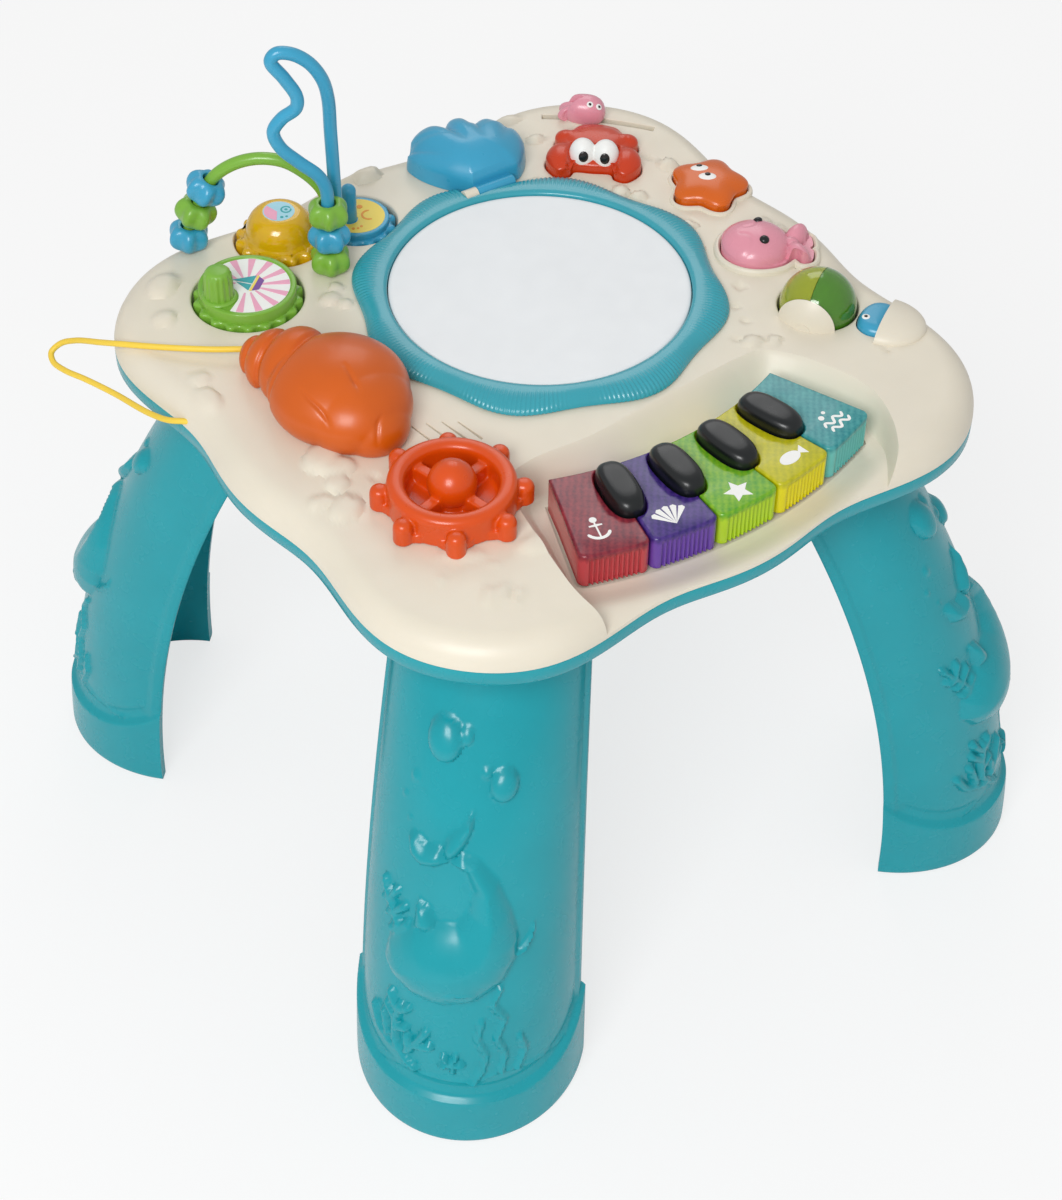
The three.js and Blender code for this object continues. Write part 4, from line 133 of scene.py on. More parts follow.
def moulded(name, colour, roughness=0.34, coat=0.15, clear=0.0, tone=0.05, peel_mm=1.6, peel=0.006,
            ior=1.5, thin=0.0):
    """Injection-moulded plastic: an even colour with faint flow tones, the orange peel of a
    polished mould, and a gloss that is a little uneven."""
    material, tree, shader = new_material(name)
    place = add_node(tree, "ShaderNodeTexCoord").outputs["Object"]
    flow = add_node(tree, "ShaderNodeTexNoise", {"Scale": per_metre(34), "Detail": 3.0, "Roughness": 0.5},
                    {"Vector": place})
    base = Vector(linear(colour)[:3])
    low = tuple(base * (1 - tone)) + (1.0,)
    high = tuple(Vector([min(1.0, c) for c in base * (1 + tone)])) + (1.0,)
    two_tones(tree, shader, flow.outputs["Fac"], (0.3, low), (0.7, high))
    wear = add_node(tree, "ShaderNodeTexNoise", {"Scale": per_metre(12), "Detail": 2.0}, {"Vector": place})
    gloss = add_node(tree, "ShaderNodeMapRange",
                     {"From Min": 0.3, "From Max": 0.7, "To Min": roughness * 0.88,
                      "To Max": roughness * 1.12},
                     {"Value": wear.outputs["Fac"]})
    tree.links.new(gloss.outputs["Result"], shader.inputs["Roughness"])
    skin = add_node(tree, "ShaderNodeTexNoise", {"Scale": per_metre(peel_mm), "Detail": 1.0},
                    {"Vector": place})
    bump = add_node(tree, "ShaderNodeBump", {"Strength": 0.5, "Distance": peel * MM},
                    {"Height": skin.outputs["Fac"]})
    tree.links.new(bump.outputs["Normal"], shader.inputs["Normal"])
    shader.inputs["IOR"].default_value = ior
    shader.inputs["Coat Weight"].default_value = coat
    shader.inputs["Coat Roughness"].default_value = 0.12
    shader.inputs["Transmission Weight"].default_value = clear
    if thin:
        shader.inputs["Subsurface Weight"].default_value = thin
        shader.inputs["Subsurface Radius"].default_value = (1.0, 0.8, 0.6)
        shader.inputs["Subsurface Scale"].default_value = 2.0 * MM
    return material


def plated_steel(name, colour, roughness):
    """Zinc-plated steel: bright, with fine turning marks that break up its reflections."""
    material, tree, shader = new_material(name)
    shader.inputs["Base Color"].default_value = linear(colour)
    shader.inputs["Metallic"].default_value = 1.0
    place = add_node(tree, "ShaderNodeTexCoord").outputs["Object"]
    marks = add_node(tree, "ShaderNodeTexNoise", {"Scale": per_metre(0.6), "Detail": 2.0}, {"Vector": place})
    gloss = add_node(tree, "ShaderNodeMapRange", {"To Min": roughness * 0.8, "To Max": roughness * 1.3},
                     {"Value": marks.outputs["Fac"]})
    tree.links.new(gloss.outputs["Result"], shader.inputs["Roughness"])
    return material


# Satin moulded plastics: broad soft highlights
cream_abs = moulded("cream_abs_satin", "#e5ddcb", 0.42, 0.05, tone=0.02, thin=0.05)
conch_abs = moulded("orange_abs_satin", "#d05c06", 0.34, 0.08)
# Plain polypropylene: a waxy sheen, even in colour, for the tray and the legs
teal_pp = moulded("teal_polypropylene_moulded", "#149ba7", 0.26, 0.1, tone=0.03, peel=0.003, ior=1.42)
# Polished moulded ABS: bright colours with clear, slightly uneven highlights
ring_abs = moulded("teal_abs_gloss", "#34a0b0", 0.26, 0.3, tone=0.03)
red_abs = moulded("red_orange_abs_gloss", "#da4d04", 0.3, 0.12, thin=0.05)
green_abs = moulded("green_abs_gloss", "#7cb33c", 0.3, 0.2)
blue_abs = moulded("blue_abs_gloss", "#38a0c6", 0.3, 0.2)
crab_abs = moulded("crab_red_abs_gloss", "#cc3908", 0.28, 0.2)
star_abs = moulded("star_orange_abs_gloss", "#d96204", 0.28, 0.2)
pink_abs = moulded("pink_abs_gloss", "#e597a8", 0.28, 0.25)
black_abs = moulded("black_abs_gloss", "#101416", 0.3, 0.1, tone=0.02)
# Matt polycarbonate film: the drum's white skin, with wide dull reflections
pad_film = moulded("white_polycarbonate_matt", "#e9ecee", 0.4, 0.05, tone=0.01, peel_mm=0.8)
# Clear polystyrene: light goes into it, so that the gear and the ball glow at their edges
yellow_clear = moulded("yellow_clear_polystyrene", "#e8b80c", 0.16, 0.3, clear=0.12, ior=1.59, thin=0.3)
lime_clear = moulded("lime_clear_polystyrene", "#c2cd2c", 0.1, 0.4, clear=0.5, ior=1.59, thin=0.2)
leaf_clear = moulded("green_clear_polystyrene", "#64ab2a", 0.1, 0.4, clear=0.5, ior=1.59, thin=0.2)
# Soft extruded PVC: dull and a little deeper in tone along the cord
cord_pvc = moulded("yellow_pvc_extruded", "#f3cf45", 0.45, 0.0)
# Works under the deck: a board of green laminate, sleeved cells, a fibrous speaker cone, steel screws
board_laminate = moulded("green_board_laminate", "#1f6b3a", 0.5, 0.1)
cell_sleeve = moulded("grey_cell_sleeve", "#5d6166", 0.35, 0.2)
cone_paper = moulded("dark_speaker_paper", "#3b3e42", 0.7, 0.0, tone=0.12, peel_mm=0.7, peel=0.08)
steel = plated_steel("zinc_plated_steel", "#b9bcc0", 0.3)


def pad_ink(name, colour):
    """Pad-printed ink: flat, dull and quite even beside the plastic that it lies on."""
    return moulded(name, colour, 0.45, 0.0, tone=0.01)


white_ink, pink_ink = pad_ink("white_ink", "#f7f7f4"), pad_ink("pink_ink", "#f2aac6")
purple_ink, teal_ink = pad_ink("purple_ink", "#7a4aa0"), pad_ink("teal_ink", "#2ea6ad")
sun_ink, orange_ink = pad_ink("sun_yellow_ink", "#f6dc62"), pad_ink("orange_ink", "#ef9a34")
ice_ink = pad_ink("ice_blue_ink", "#a9d9ea")
# Lacquered black ink: small bright points in the pupils
black_ink = moulded("black_ink_lacquered", "#16120f", 0.25, 0.3, tone=0.02)
# Each key's deep colour, and the bright one painted at its foot for the light that leaves it there
key_colours = {"key_maroon": ("#66102c", "#c9484f"), "key_purple": ("#241668", "#7048b0"),
               "key_green": ("#4aa31c", "#bce02a"), "key_yellow": ("#b9b70e", "#f0e414"),
               "key_teal": ("#178890", "#6ccac6")}


def tinted_key(name, colour, glow):
    """Tinted clear ABS, grained on its underside: deep in colour from above, with a bright colour
    painted towards its foot for the light that leaves it there."""
    material = moulded(name, colour, 0.2, 0.15, clear=0.12, ior=1.5, thin=0.15)
    tree = material.node_tree
    shader = tree.nodes["Principled BSDF"]
    place = add_node(tree, "ShaderNodeTexCoord").outputs["Object"]
    grain = add_node(tree, "ShaderNodeTexVoronoi", {"Scale": per_metre(1.5)}, {"Vector": place})
    spread = add_node(tree, "ShaderNodeTexNoise", {"Scale": per_metre(9), "Detail": 2.0}, {"Vector": place})
    height = add_node(tree, "ShaderNodeSeparateXYZ", None, {"Vector": place})
    # painted glow: below 15.6 mm over the joint the colour turns to the bright one, fully so under 11 mm,
    # standing in for light that passes through the clear key and leaves its foot
    foot = add_node(tree, "ShaderNodeMapRange", {"From Min": (JOINT + 15.6) * MM,
                                                 "From Max": (JOINT + 11) * MM},
                    {"Value": height.outputs["Z"]})
    patch = add_node(tree, "ShaderNodeMath", {"operation": "MULTIPLY_ADD", 1: 0.5, 2: -0.22},
                     {0: spread.outputs["Fac"]})
    grit = add_node(tree, "ShaderNodeMath", {"operation": "MULTIPLY_ADD", 1: 0.25},
                    {0: grain.outputs["Distance"], 2: patch.outputs["Value"]})
    # uneven hatching moulded under the top, 3.4 mm from line to line
    for turn, weight in ((38, 0.17), (-50, 0.06)):
        lie = add_node(tree, "ShaderNodeMapping", {"Rotation": (0, 0, math.radians(turn))}, {"Vector": place})
        lines = add_node(tree, "ShaderNodeTexWave", {"Scale": per_metre(3.4) / 3.2, "Distortion": 2.5,
                                                     "Detail": 2.0},
                         {"Vector": lie.outputs["Vector"]})
        grit = add_node(tree, "ShaderNodeMath", {"operation": "MULTIPLY_ADD", 1: weight},
                        {0: lines.outputs["Fac"], 2: grit.outputs["Value"]})
    total = add_node(tree, "ShaderNodeMath", {"operation": "ADD", "use_clamp": True},
                     {0: foot.outputs["Result"], 1: grit.outputs["Value"]})
    # deep colour above, the painted glow colour at the foot and along the moulded grain
    two_tones(tree, shader, total.outputs["Value"], (0.05, linear(colour)), (0.95, linear(glow)))
    return material


# Making meshes
def linked(name, data):
    """A new object in the scene."""
    obj = bpy.data.objects.new(name, data)
    bpy.context.scene.collection.objects.link(obj)
    return obj


def raw(name, points, faces):
    """An object with a mesh from points in millimetres."""
    mesh = bpy.data.meshes.new(name)
    mesh.from_pydata([(x * MM, y * MM, z * MM) for x, y, z in points], [], faces)
    return linked(name, mesh)


def clean(mesh, split=False):
    """Merges points that coincide and turns all faces outwards; can split many-sided faces."""
    work = bmesh.new()
    work.from_mesh(mesh)
    bmesh.ops.remove_doubles(work, verts=work.verts, dist=1e-7)
    bmesh.ops.recalc_face_normals(work, faces=work.faces)
    if split:
        bmesh.ops.triangulate(work, faces=[f for f in work.faces if len(f.verts) > 4])
    work.to_mesh(mesh)
    work.free()


def smoothed(obj, sharp=38.0):
    """Cleans a mesh and shades it smooth but for edges sharper than an angle."""
    clean(obj.data)
    obj.data.shade_smooth()
    obj.data.set_sharp_from_angle(angle=math.radians(sharp))
    return obj


def dress(obj, finish, body=None, stands_for=(), slot=None):
    """Gives an object its material and its body, and hides the nodes that it stands for; its slot is not
    used.
    """
    obj.data.materials.clear()
    obj.data.materials.append(finish)
    if body:
        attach(obj, body)
    if stands_for:
        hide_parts(*([stands_for] if isinstance(stands_for, str) else stands_for))
    return obj


def piece(name, points, faces, finish, body, stands_for=(), slot=None, sharp=38.0):
    """A dressed piece from points in millimetres."""
    return dress(smoothed(raw(name, points, faces), sharp), finish, body, stands_for, slot)


def finished(obj, name, sharp, finish, body, stands_for=(), slot=None):
    """Smooths, names and dresses a solid that was put together from several."""
    smoothed(obj, sharp).name = name
    return dress(obj, finish, body, stands_for, slot)


def applied(obj):
    """Bakes the modifiers of an object into its mesh."""
    bpy.context.view_layer.update()
    graph = bpy.context.evaluated_depsgraph_get()
    mesh = bpy.data.meshes.new_from_object(obj.evaluated_get(graph))
    obj.modifiers.clear()
    old = obj.data
    obj.data = mesh
    bpy.data.meshes.remove(old)
    return obj


def scratch(points, faces):
    """A helper solid for cutting or joining, in millimetres."""
    obj = raw("scratch", points, faces)
    clean(obj.data, split=True)
    return obj


def combined(obj, others, operation):
    """Union or difference with other solids or helper objects, which are then removed."""
    others = [other if isinstance(other, bpy.types.Object) else scratch(*other) for other in others]
    for other in others:
        tool = obj.modifiers.new("combine", "BOOLEAN")
        tool.operation = operation
        tool.solver = "MANIFOLD"
        tool.object = other
    applied(obj)
    for other in others:
        mesh = other.data
        bpy.data.objects.remove(other)
        bpy.data.meshes.remove(mesh)
    return obj


def around(radius, degrees):
    """A point on a circle round the origin."""
    return radius * math.cos(math.radians(degrees)), radius * math.sin(math.radians(degrees))


def placed(points, x=0.0, y=0.0, z=0.0, turn=0.0):
    """Points turned about the upright axis and moved; flat ones get a height."""
    c, s = math.cos(math.radians(turn)), math.sin(math.radians(turn))
    return [(x + px * c - py * s, y + px * s + py * c, z + (p[0] if p else 0.0)) for px, py, *p in points]


def laid(outline, x, y, turn=0.0):
    """A flat outline, turned and moved."""
    return [(a, b) for a, b, _ in placed(outline, x, y, 0.0, turn)]


def put(solid, x, y, turn=0.0, z=DECK):
    """A solid turned and moved, onto the deck unless another height is given."""
    return placed(solid[0], x, y, z, turn), solid[1]


def rings_solid(rings, close=True):
    """Points and faces of a solid through rings of equal length, closed with fans."""
    count = len(rings[0])
    points = [p for ring in rings for p in ring]
    faces = []
    for r in range(len(rings) - 1):
        for i in range(count):
            j = (i + 1) % count
            a, b = r * count, (r + 1) * count
            faces.append((a + i, a + j, b + j, b + i))
    if close:
        for r, flip in ((0, True), (len(rings) - 1, False)):
            ring = rings[r]
            middle = tuple(sum(c) / count for c in zip(*ring))
            points.append(middle)
            hub = len(points) - 1
            for i in range(count):
                j = (i + 1) % count
                tri = (r * count + i, r * count + j, hub)
                faces.append(tri[::-1] if flip else tri)
    return points, faces


def capped_solid(rings):
    """Like rings_solid, with n-gon ends, for outlines that a fan can't close."""
    count = len(rings[0])
    points, faces = rings_solid(rings, close=False)
    faces.append(tuple(range(count))[::-1])
    faces.append(tuple(range((len(rings) - 1) * count, len(rings) * count)))
    return points, faces


def loop_solid(rings):
    """Rings joined round into a tube-like solid, the last to the first."""
    return rings_solid(list(rings) + [rings[0]], close=False)


def smooth_closed(outline, count):
    """A closed smooth line through a few points."""
    n = len(outline)
    samples = []
    for k in range(count):
        at = k * n / count
        i, t = int(at), at - int(at)
        p = [outline[(i + d) % n] for d in (-1, 0, 1, 2)]
        samples.append(tuple(
            0.5 * (2 * p[1][c] + (p[2][c] - p[0][c]) * t
                   + (2 * p[0][c] - 5 * p[1][c] + 4 * p[2][c] - p[3][c]) * t * t
                   + (3 * p[1][c] - p[0][c] - 3 * p[2][c] + p[3][c]) * t ** 3) for c in range(len(p[0]))))
    return samples


def smooth_open(points, count):
    """A smooth line through a list of points, by centripetal spline as in the solid."""
    ends = [tuple(2 * a - b for a, b in zip(points[0], points[1])), *points,
            tuple(2 * a - b for a, b in zip(points[-1], points[-2]))]
    samples = []
    spans = len(points) - 1
    for k in range(count + 1):
        at = min(k * spans / count, spans - 1e-9)
        i, t = int(at), at - int(at)
        p = [Vector(ends[i + d]) for d in range(4)]
        knots = [0.0]
        for a, b in zip(p, p[1:]):
            knots.append(knots[-1] + max((b - a).length, 1e-6) ** 0.5)
        u = knots[1] + t * (knots[2] - knots[1])

        def mix(a, b, k0, k1):
            return a * ((k1 - u) / (k1 - k0)) + b * ((u - k0) / (k1 - k0))
        a1, a2, a3 = (mix(p[m], p[m + 1], knots[m], knots[m + 1]) for m in range(3))
        b1, b2 = mix(a1, a2, knots[0], knots[2]), mix(a2, a3, knots[1], knots[3])
        samples.append(tuple(mix(b1, b2, knots[1], knots[2])))
    return samples


def flat_curve(points, count):
    """A smooth open line through flat points."""
    return [(x, y) for x, y, _ in smooth_open(level(points, 0), count)]


def grown(outline, distance):
    """An outline moved outwards, square to its sides."""
    n = len(outline)
    area = sum(outline[i][0] * outline[(i + 1) % n][1] - outline[(i + 1) % n][0] * outline[i][1]
               for i in range(n))
    side = math.copysign(distance, area * distance) if distance else 0.0
    made = []
    for i in range(n):
        a, b, c = Vector(outline[i - 1]), Vector(outline[i]), Vector(outline[(i + 1) % n])
        before = Vector(((b - a).y, -(b - a).x)).normalized()
        after = Vector(((c - b).y, -(c - b).x)).normalized()
        middle = (before + after)
        middle = middle.normalized() if middle.length > 1e-6 else before
        reach = side / max(middle.dot(after), 0.5)
        made.append((b.x + middle.x * reach, b.y + middle.y * reach))
    return made


def level(outline, z):
    """A flat outline at a height."""
    return [(x, y, z) for x, y in outline]


def flared_cut(outline, low, top, round_mm=1.5, steps=5):
    """A cutting solid whose hole meets the surface with a rounded edge."""
    rings = [level(outline, low), level(outline, top - round_mm)]
    for k in range(1, steps + 1):
        turn = math.pi / 2 * k / steps
        wider = grown(outline, round_mm * (1 - math.cos(turn)))
        rings.append(level(wider, top - round_mm + round_mm * math.sin(turn)))
    wider = grown(outline, round_mm + 0.6)
    return capped_solid(rings + [level(wider, top + 0.4), level(wider, top + 8)])


def prism(outline, low, high):
    return capped_solid([level(outline, low), level(outline, high)])


def rectangle(x, y):
    """The outline between pairs of limits."""
    return [(x[0], y[0]), (x[1], y[0]), (x[1], y[1]), (x[0], y[1])]


def box(x, y, z):
    return prism(rectangle(x, y), *z)


def circle(radius, count, x=0.0, y=0.0):
    """The corners of a round outline."""
    return [(x + a, y + b) for a, b in (around(radius, 360 * k / count) for k in range(count))]


def rounded_profile(profile, size, steps=4):
    """Rounds the inner corners of a lathe profile, each corner by up to a size."""
    made = [profile[0]]
    for a, b, c in zip(profile, profile[1:], profile[2:]):
        a, b, c = Vector(a), Vector(b), Vector(c)
        reach = min(size, (a - b).length * 0.45, (c - b).length * 0.45)
        start, end = b + (a - b).normalized() * reach, b + (c - b).normalized() * reach
        for k in range(steps + 1):
            t = k / steps
            made.append(tuple((1 - t) ** 2 * start + 2 * t * (1 - t) * b + t * t * end))
    made.append(profile[-1])
    return made


def bar(radius, ends, count, z=0.0):
    """A round bar that lies along the x axis."""
    return rings_solid([[(x, a, z + b) for a, b in circle(radius, count)] for x in ends])


def rod(radius, low, high):
    """The profile of a plain round peg."""
    return [(AXIS, low), (radius, low), (radius, high), (AXIS, high)]


def lathe(profile, sides, x=0.0, y=0.0, z=0.0):
    """A solid turned from a profile of radii and heights."""
    rings = [[(x + a, y + b, z + h)
              for a, b in (around(max(r, 0.001), 360 * k / sides) for k in range(sides))]
             for r, h in profile]
    return rings_solid(rings)


def ellipsoid(cx, cy, cz, rx, ry, rz, turn=0.0, across=32, up=16):
    rings = []
    for j in range(1, up):
        tilt = math.pi * j / up
        ring = [(rx * math.sin(tilt) * math.cos(2 * math.pi * i / across),
                 ry * math.sin(tilt) * math.sin(2 * math.pi * i / across), -rz * math.cos(tilt))
                for i in range(across)]
        rings.append(placed(ring, cx, cy, cz, turn))
    points, faces = rings_solid(rings)
    points[-2], points[-1] = (cx, cy, cz - rz), (cx, cy, cz + rz)
    return points, faces


def sphere(radius, across):
    return ellipsoid(0, 0, 0, radius, radius, radius, 0, across, across // 2)


def joined(solids):
    """Several solids as one list of points and faces."""
    points, faces = [], []
    for some, more in solids:
        start = len(points)
        points += some
        faces += [tuple(i + start for i in face) for face in more]
    return points, faces


def fused(name, solids, voxel_mm, smooth, finish, body, floor=None):
    """Overlapping solids melted into one soft moulded form."""
    obj = piece(name, *joined(solids), finish, None)
    melt = obj.modifiers.new("melt", "REMESH")
    melt.mode = "VOXEL"
    melt.voxel_size = voxel_mm * MM
    ease = obj.modifiers.new("ease", "SMOOTH")
    ease.factor = 0.5
    ease.iterations = smooth
    applied(obj)
    if floor is not None:
        for v in obj.data.vertices:
            v.co.z = max(v.co.z, floor * MM)
    obj.data.shade_smooth()
    return dress(obj, finish, body)


def swept(name, points, radius, finish, body, stands_for, slot, sides, samples):
    """A round wire along a smooth line."""
    line = [Vector(p) for p in smooth_open(points, samples)]
    side = Vector((1, 0, 0))
    rings = []
    for k, p in enumerate(line):
        way = (line[min(k + 1, samples)] - line[max(k - 1, 0)]).normalized()
        side = (side - way * side.dot(way)).normalized()
        other = way.cross(side)
        rings.append([tuple(p + side * a + other * b) for a, b in circle(radius, sides)])
    return piece(name, *rings_solid(rings), finish, body, stands_for, slot)


# The table's outline
def outline_radius(degrees):
    """The table's edge, a square with soft waves."""
    waves = (-0.113, 0.029, 0.008, -0.0025)
    return 200 * (1 + sum(w * math.cos(math.radians(4 * (k + 1) * degrees)) for k, w in enumerate(waves)))


def table_ring(z, inset, count=360):
    """The table's outline at a height, moved inwards."""
    turns = [360 * k / count for k in range(count)]
    return [(*around(outline_radius(turn) - inset, turn), z) for turn in turns]


def fan(radius, degrees):
    """A point on the piano's fan."""
    a = math.radians(degrees)
    return FAN[0] + radius * math.sin(a), FAN[1] - radius * math.cos(a)


def fan_arc(radius, start, end, steps):
    return [fan(radius, start + (end - start) * k / steps) for k in range(steps + 1)]


def segment_distance(x, y, a, b):
    dx, dy = b[0] - a[0], b[1] - a[1]
    t = max(0.0, min(1.0, ((x - a[0]) * dx + (y - a[1]) * dy) / (dx * dx + dy * dy + 1e-9)))
    return math.hypot(x - a[0] - t * dx, y - a[1] - t * dy)


def line_distance(x, y, line):
    return min(segment_distance(x, y, a, b) for a, b in zip(line, line[1:]))


def inside(x, y, outline):
    """How far a point lies inside an outline; negative outside."""
    within = False
    for (ax, ay), (bx, by) in zip(outline, outline[1:] + outline[:1]):
        if (ay > y) != (by > y) and x < (bx - ax) * (y - ay) / (by - ay) + ax:
            within = not within
    depth = line_distance(x, y, outline + outline[:1])
    return depth if within else -depth


def domed(depth, edge, rise, soft=0.5):
    """Height of a form with a rounded edge: nothing outside it, its full rise past the edge."""
    if depth <= 0:
        return 0.0
    t = min(1.0, depth / edge)
    return rise * (1 - (1 - t) ** 2) ** soft


# Relief moulded into the deck
# Each pebble: x, y, half length, half width, turn, rise. Each shell: x, y, reach, turn, rise.
pebbles = [(-137, 152, 11, 8, 30, 2.6), (-150, 128, 7, 6, 0, 1.8), (6, 173.5, 9, 8, 0, 4.5),
           (-4, 178, 7, 6, 20, 3.0), (150, 84, 6, 5, 0, 2.2), (112, 78, 7, 5, 40, 2.4),
           (119, 70, 5, 4, 0, 1.8), (112, 22, 7, 5, 30, 2.4), (117, 15, 4, 4, 0, 1.8),
           (76, 152, 6, 5, 0, 1.8), (88, 156, 5, 4, 20, 1.6), (104, 146, 5, 4, 0, 1.8),
           (-70, 92, 6, 5, 20, 1.8), (-63, 98, 5, 4, 60, 1.5), (-66, 84, 4, 4, 0, 1.4),
           (-36, 96, 5, 4, 0, 1.6), (-92, -122, 9, 6, -20, 1.4), (-78, -128, 6, 5, 10, 1.1),
           (-64, -132, 5, 4, 0, 0.9), (-152, -48, 11, 8, 30, 2.2), (-160, -38, 7, 5, 0, 1.6),
           (-58, -78, 6, 4, 20, 1.3), (-50, -84, 4, 3, 0, 1.1), (90, -64, 6, 5, 0, 1.7),
           (100, -70, 5, 4, 30, 1.5), (-165, 60, 10, 7, 80, 1.6), (-160, 76, 6, 5, 0, 1.3),
           (108, 65, 5, 4, 20, 2.0), (110, 59, 4, 3.5, 0, 1.6), (125, 34, 6, 4, -40, 2.0),
           (79, 113, 5, 4, 0, 1.8), (79, 106, 4, 3, 0, 1.4), (102, 171, 7, 5, -30, 2.0),
           (-142, -11, 12, 9, 30, 2.6), (-139, -22, 9, 7, 0, 2.4), (-146, -31, 7, 6, 40, 1.8),
           (160, 10, 6, 4, 50, 1.4), (164, 2, 4, 3, 0, 1.2), (132, 146, 6, 4, -40, 1.2),
           (60, 164, 6, 5, 0, 1.4), (-131, -138.5, 8, 3.4, 60, 1.2), (-124.2, -140, 8.5, 3, 48, 1.0),
           (-119.5, -145.5, 7, 2.8, 40, 0.9), (-142, -116, 2.2, 2, 0, 0.8), (-90, -116.5, 2.4, 2, 0, 0.9),
           (-116, -122, 3, 2, 50, 0.6)]
shells = [(-158, 150, 13, 150, 2.2), (-84, -126, 12, 100, 1.6), (122, 92, 9, -30, 1.8),
          (-128, -112, 13, 60, 1.5), (-28, 160, 10, 60, 1.8)]
dents = [(114.6, -23.8, 4.0, 20), (101.9, -36, 3.0, 60), (98.7, -48.3, 3.0, 0), (85.6, -57.6, 3.0, 40),
         (144.6, -109.3, 3.0, 0), (-128, -37.7, 3.4, 0), (-145, -44.4, 3.4, 0), (129, 34, 3.0, 10),
         (-70, 176, 3.0, 20), (146, 96, 3.0, 0)]


def deck_relief(x, y):
    """How far the pebbles, shells and pits raise or sink the deck, in millimetres."""
    rise = 0.0
    for px, py, rx, ry, turn, high in pebbles:
        if abs(x - px) > 14 or abs(y - py) > 14:
            continue
        c, s = math.cos(math.radians(turn)), math.sin(math.radians(turn))
        u, v = ((x - px) * c + (y - py) * s) / rx, (-(x - px) * s + (y - py) * c) / ry
        rise = max(rise, domed(1 - math.hypot(u, v), 0.7, high * 1.35))
    for px, py, reach, turn, high in shells:
        dist = math.hypot(x - px, y - py)
        if dist > reach * 1.1:
            continue
        angle = math.degrees(math.atan2(y - py, x - px)) - turn
        angle = (angle + 180) % 360 - 180
        edge = reach * (0.94 + 0.06 * math.cos(math.radians(angle * 6)))
        if abs(angle) < 75:
            rib = 0.75 + 0.25 * math.cos(math.radians(angle * 14))
            rise = max(rise, domed(min(edge - dist, dist * (75 - abs(angle)) / 60) / reach, 0.3, high) * rib)
    for px, py, size, turn in dents:
        depth = size - max(abs(x - px) * 1.1, abs(y - py)) if max(abs(x - px), abs(y - py)) < 8 else 0
        if depth > 0:
            rise -= min(1.4, depth * 0.6)
    return rise


def set_on_deck(obj, x, y, turn):
    """Turns and moves an object made round the origin to its place on the deck."""
    turned = Matrix.Rotation(math.radians(turn), 4, "Z")
    obj.data.transform(Matrix.Translation((x * MM, y * MM, DECK * MM)) @ turned)
    return obj


def ball_cover():
    """The bearing cap over one end of the ball, with the lug at the other."""
    cap = combined(scratch(*sphere(24, 96)), [sphere(21.6, 72)], "DIFFERENCE")
    combined(cap, [box((-18, 40), (-40, 40), (-40, 40)), box((-40, 40), (-40, 40), (-40, -10.8))],
             "DIFFERENCE")
    combined(cap, [bar(4, (-24, -19.7), 28), bar(4, (21.6, 25.6), 28)], "UNION")
    combined(cap, [bar(2.3, (-22.9, 23.7), 24)], "DIFFERENCE")
    return set_on_deck(cap, *BALL, AXLE_TURN)


def fish_mound():
    """A low hollow mound with its open side towards the fish."""
    mound = scratch(*ellipsoid(0, 0, 0, 18.8, 22.2, 7.6, 0, 96, 48))
    combined(mound, [box((-30, 30), (0, 30), (-20, 20)), box((-30, 30), (-40, 10), (-20, -1.5)),
                     ellipsoid(0, 0, 0, 17.2, 20.2, 6.1, 0, 96, 48)], "DIFFERENCE")
    combined(mound, [lathe(rod(3, -5.2, -1.3), 28, *FISH_PIVOT)], "UNION")
    return set_on_deck(mound, *FISH, FISH_TURN)


def lid_ear():
    """The ear that holds the lid's pin."""
    side = [(y, z) for y, z in (around(3.8, a) for a in range(-20, 201, 10))] + [(-3.42, -5.5), (1.9, -5.5)]
    ear = scratch(*capped_solid([[(x, y, z + PIN_HEIGHT) for y, z in side] for x in (-20.3, -12.3)]))
    return set_on_deck(ear, *LID, LID_TURN)


DECK_COLUMNS, DECK_STEPS, EDGE_STEPS = 420, 66, 12
DRUM_HOLE = 85.3
KEYS_HALF = KEY_PITCH * 2.5


def deck_skin():
    """A thick plate: from the drum's hole over the relief and round the edge to the joint, and back."""
    columns = []
    for k in range(DECK_COLUMNS):
        degrees = 360 * k / DECK_COLUMNS
        rim = around(outline_radius(degrees) - EDGE, degrees)
        way = Vector((rim[0] - DRUM[0], rim[1] - DRUM[1])).normalized()
        start = (DRUM[0] + way.x * DRUM_HOLE, DRUM[1] + way.y * DRUM_HOLE)
        column = [(*start, JOINT)]
        for j in range(DECK_STEPS + 1):
            x = start[0] + (rim[0] - start[0]) * j / DECK_STEPS
            y = start[1] + (rim[1] - start[1]) * j / DECK_STEPS
            column.append((x, y, DECK + deck_relief(x, y) * min(1.0, j / 4)))
        for j in range(1, EDGE_STEPS + 1):
            turn = math.radians(90 - 90 * j / EDGE_STEPS)
            x, y = around(outline_radius(degrees) - EDGE * (1 - math.cos(turn)), degrees)
            fade = math.sin(turn)
            column.append((x, y, JOINT + RISE * fade + deck_relief(x, y) * fade ** 2))
        columns.append(column)
    deep = len(columns[0])
    faces = []
    for k in range(DECK_COLUMNS):
        a, b = k * deep, ((k + 1) % DECK_COLUMNS) * deep
        for j in range(deep):
            i = (j + 1) % deep
            faces.append((a + j, b + j, b + i, a + i))
    return scratch([p for column in columns for p in column], faces)


def piano_floor():
    """The floor under the piano's tray, and the well that hangs below it for the keys."""
    slab = scratch(*prism([(x, y) for x, y, _ in table_ring(0, 5.6, 180)], JOINT - 5.8, JOINT + 0.5))
    wedge = fan_arc(172, -28.5, 27.5, 24) + fan_arc(300, 27.5, -28.5, 24)
    combined(slab, [prism(wedge, JOINT - 8, JOINT + 2)], "INTERSECT")
    wide = KEYS_HALF + 3.2 / KEY_FRONT * ARC_DEGREES
    well = fan_arc(KEY_FRONT + 3.2, -wide, wide, 30) + fan_arc(190.3, wide, -wide, 24)
    return [slab, prism(well, JOINT - 6.9, JOINT + 6)]


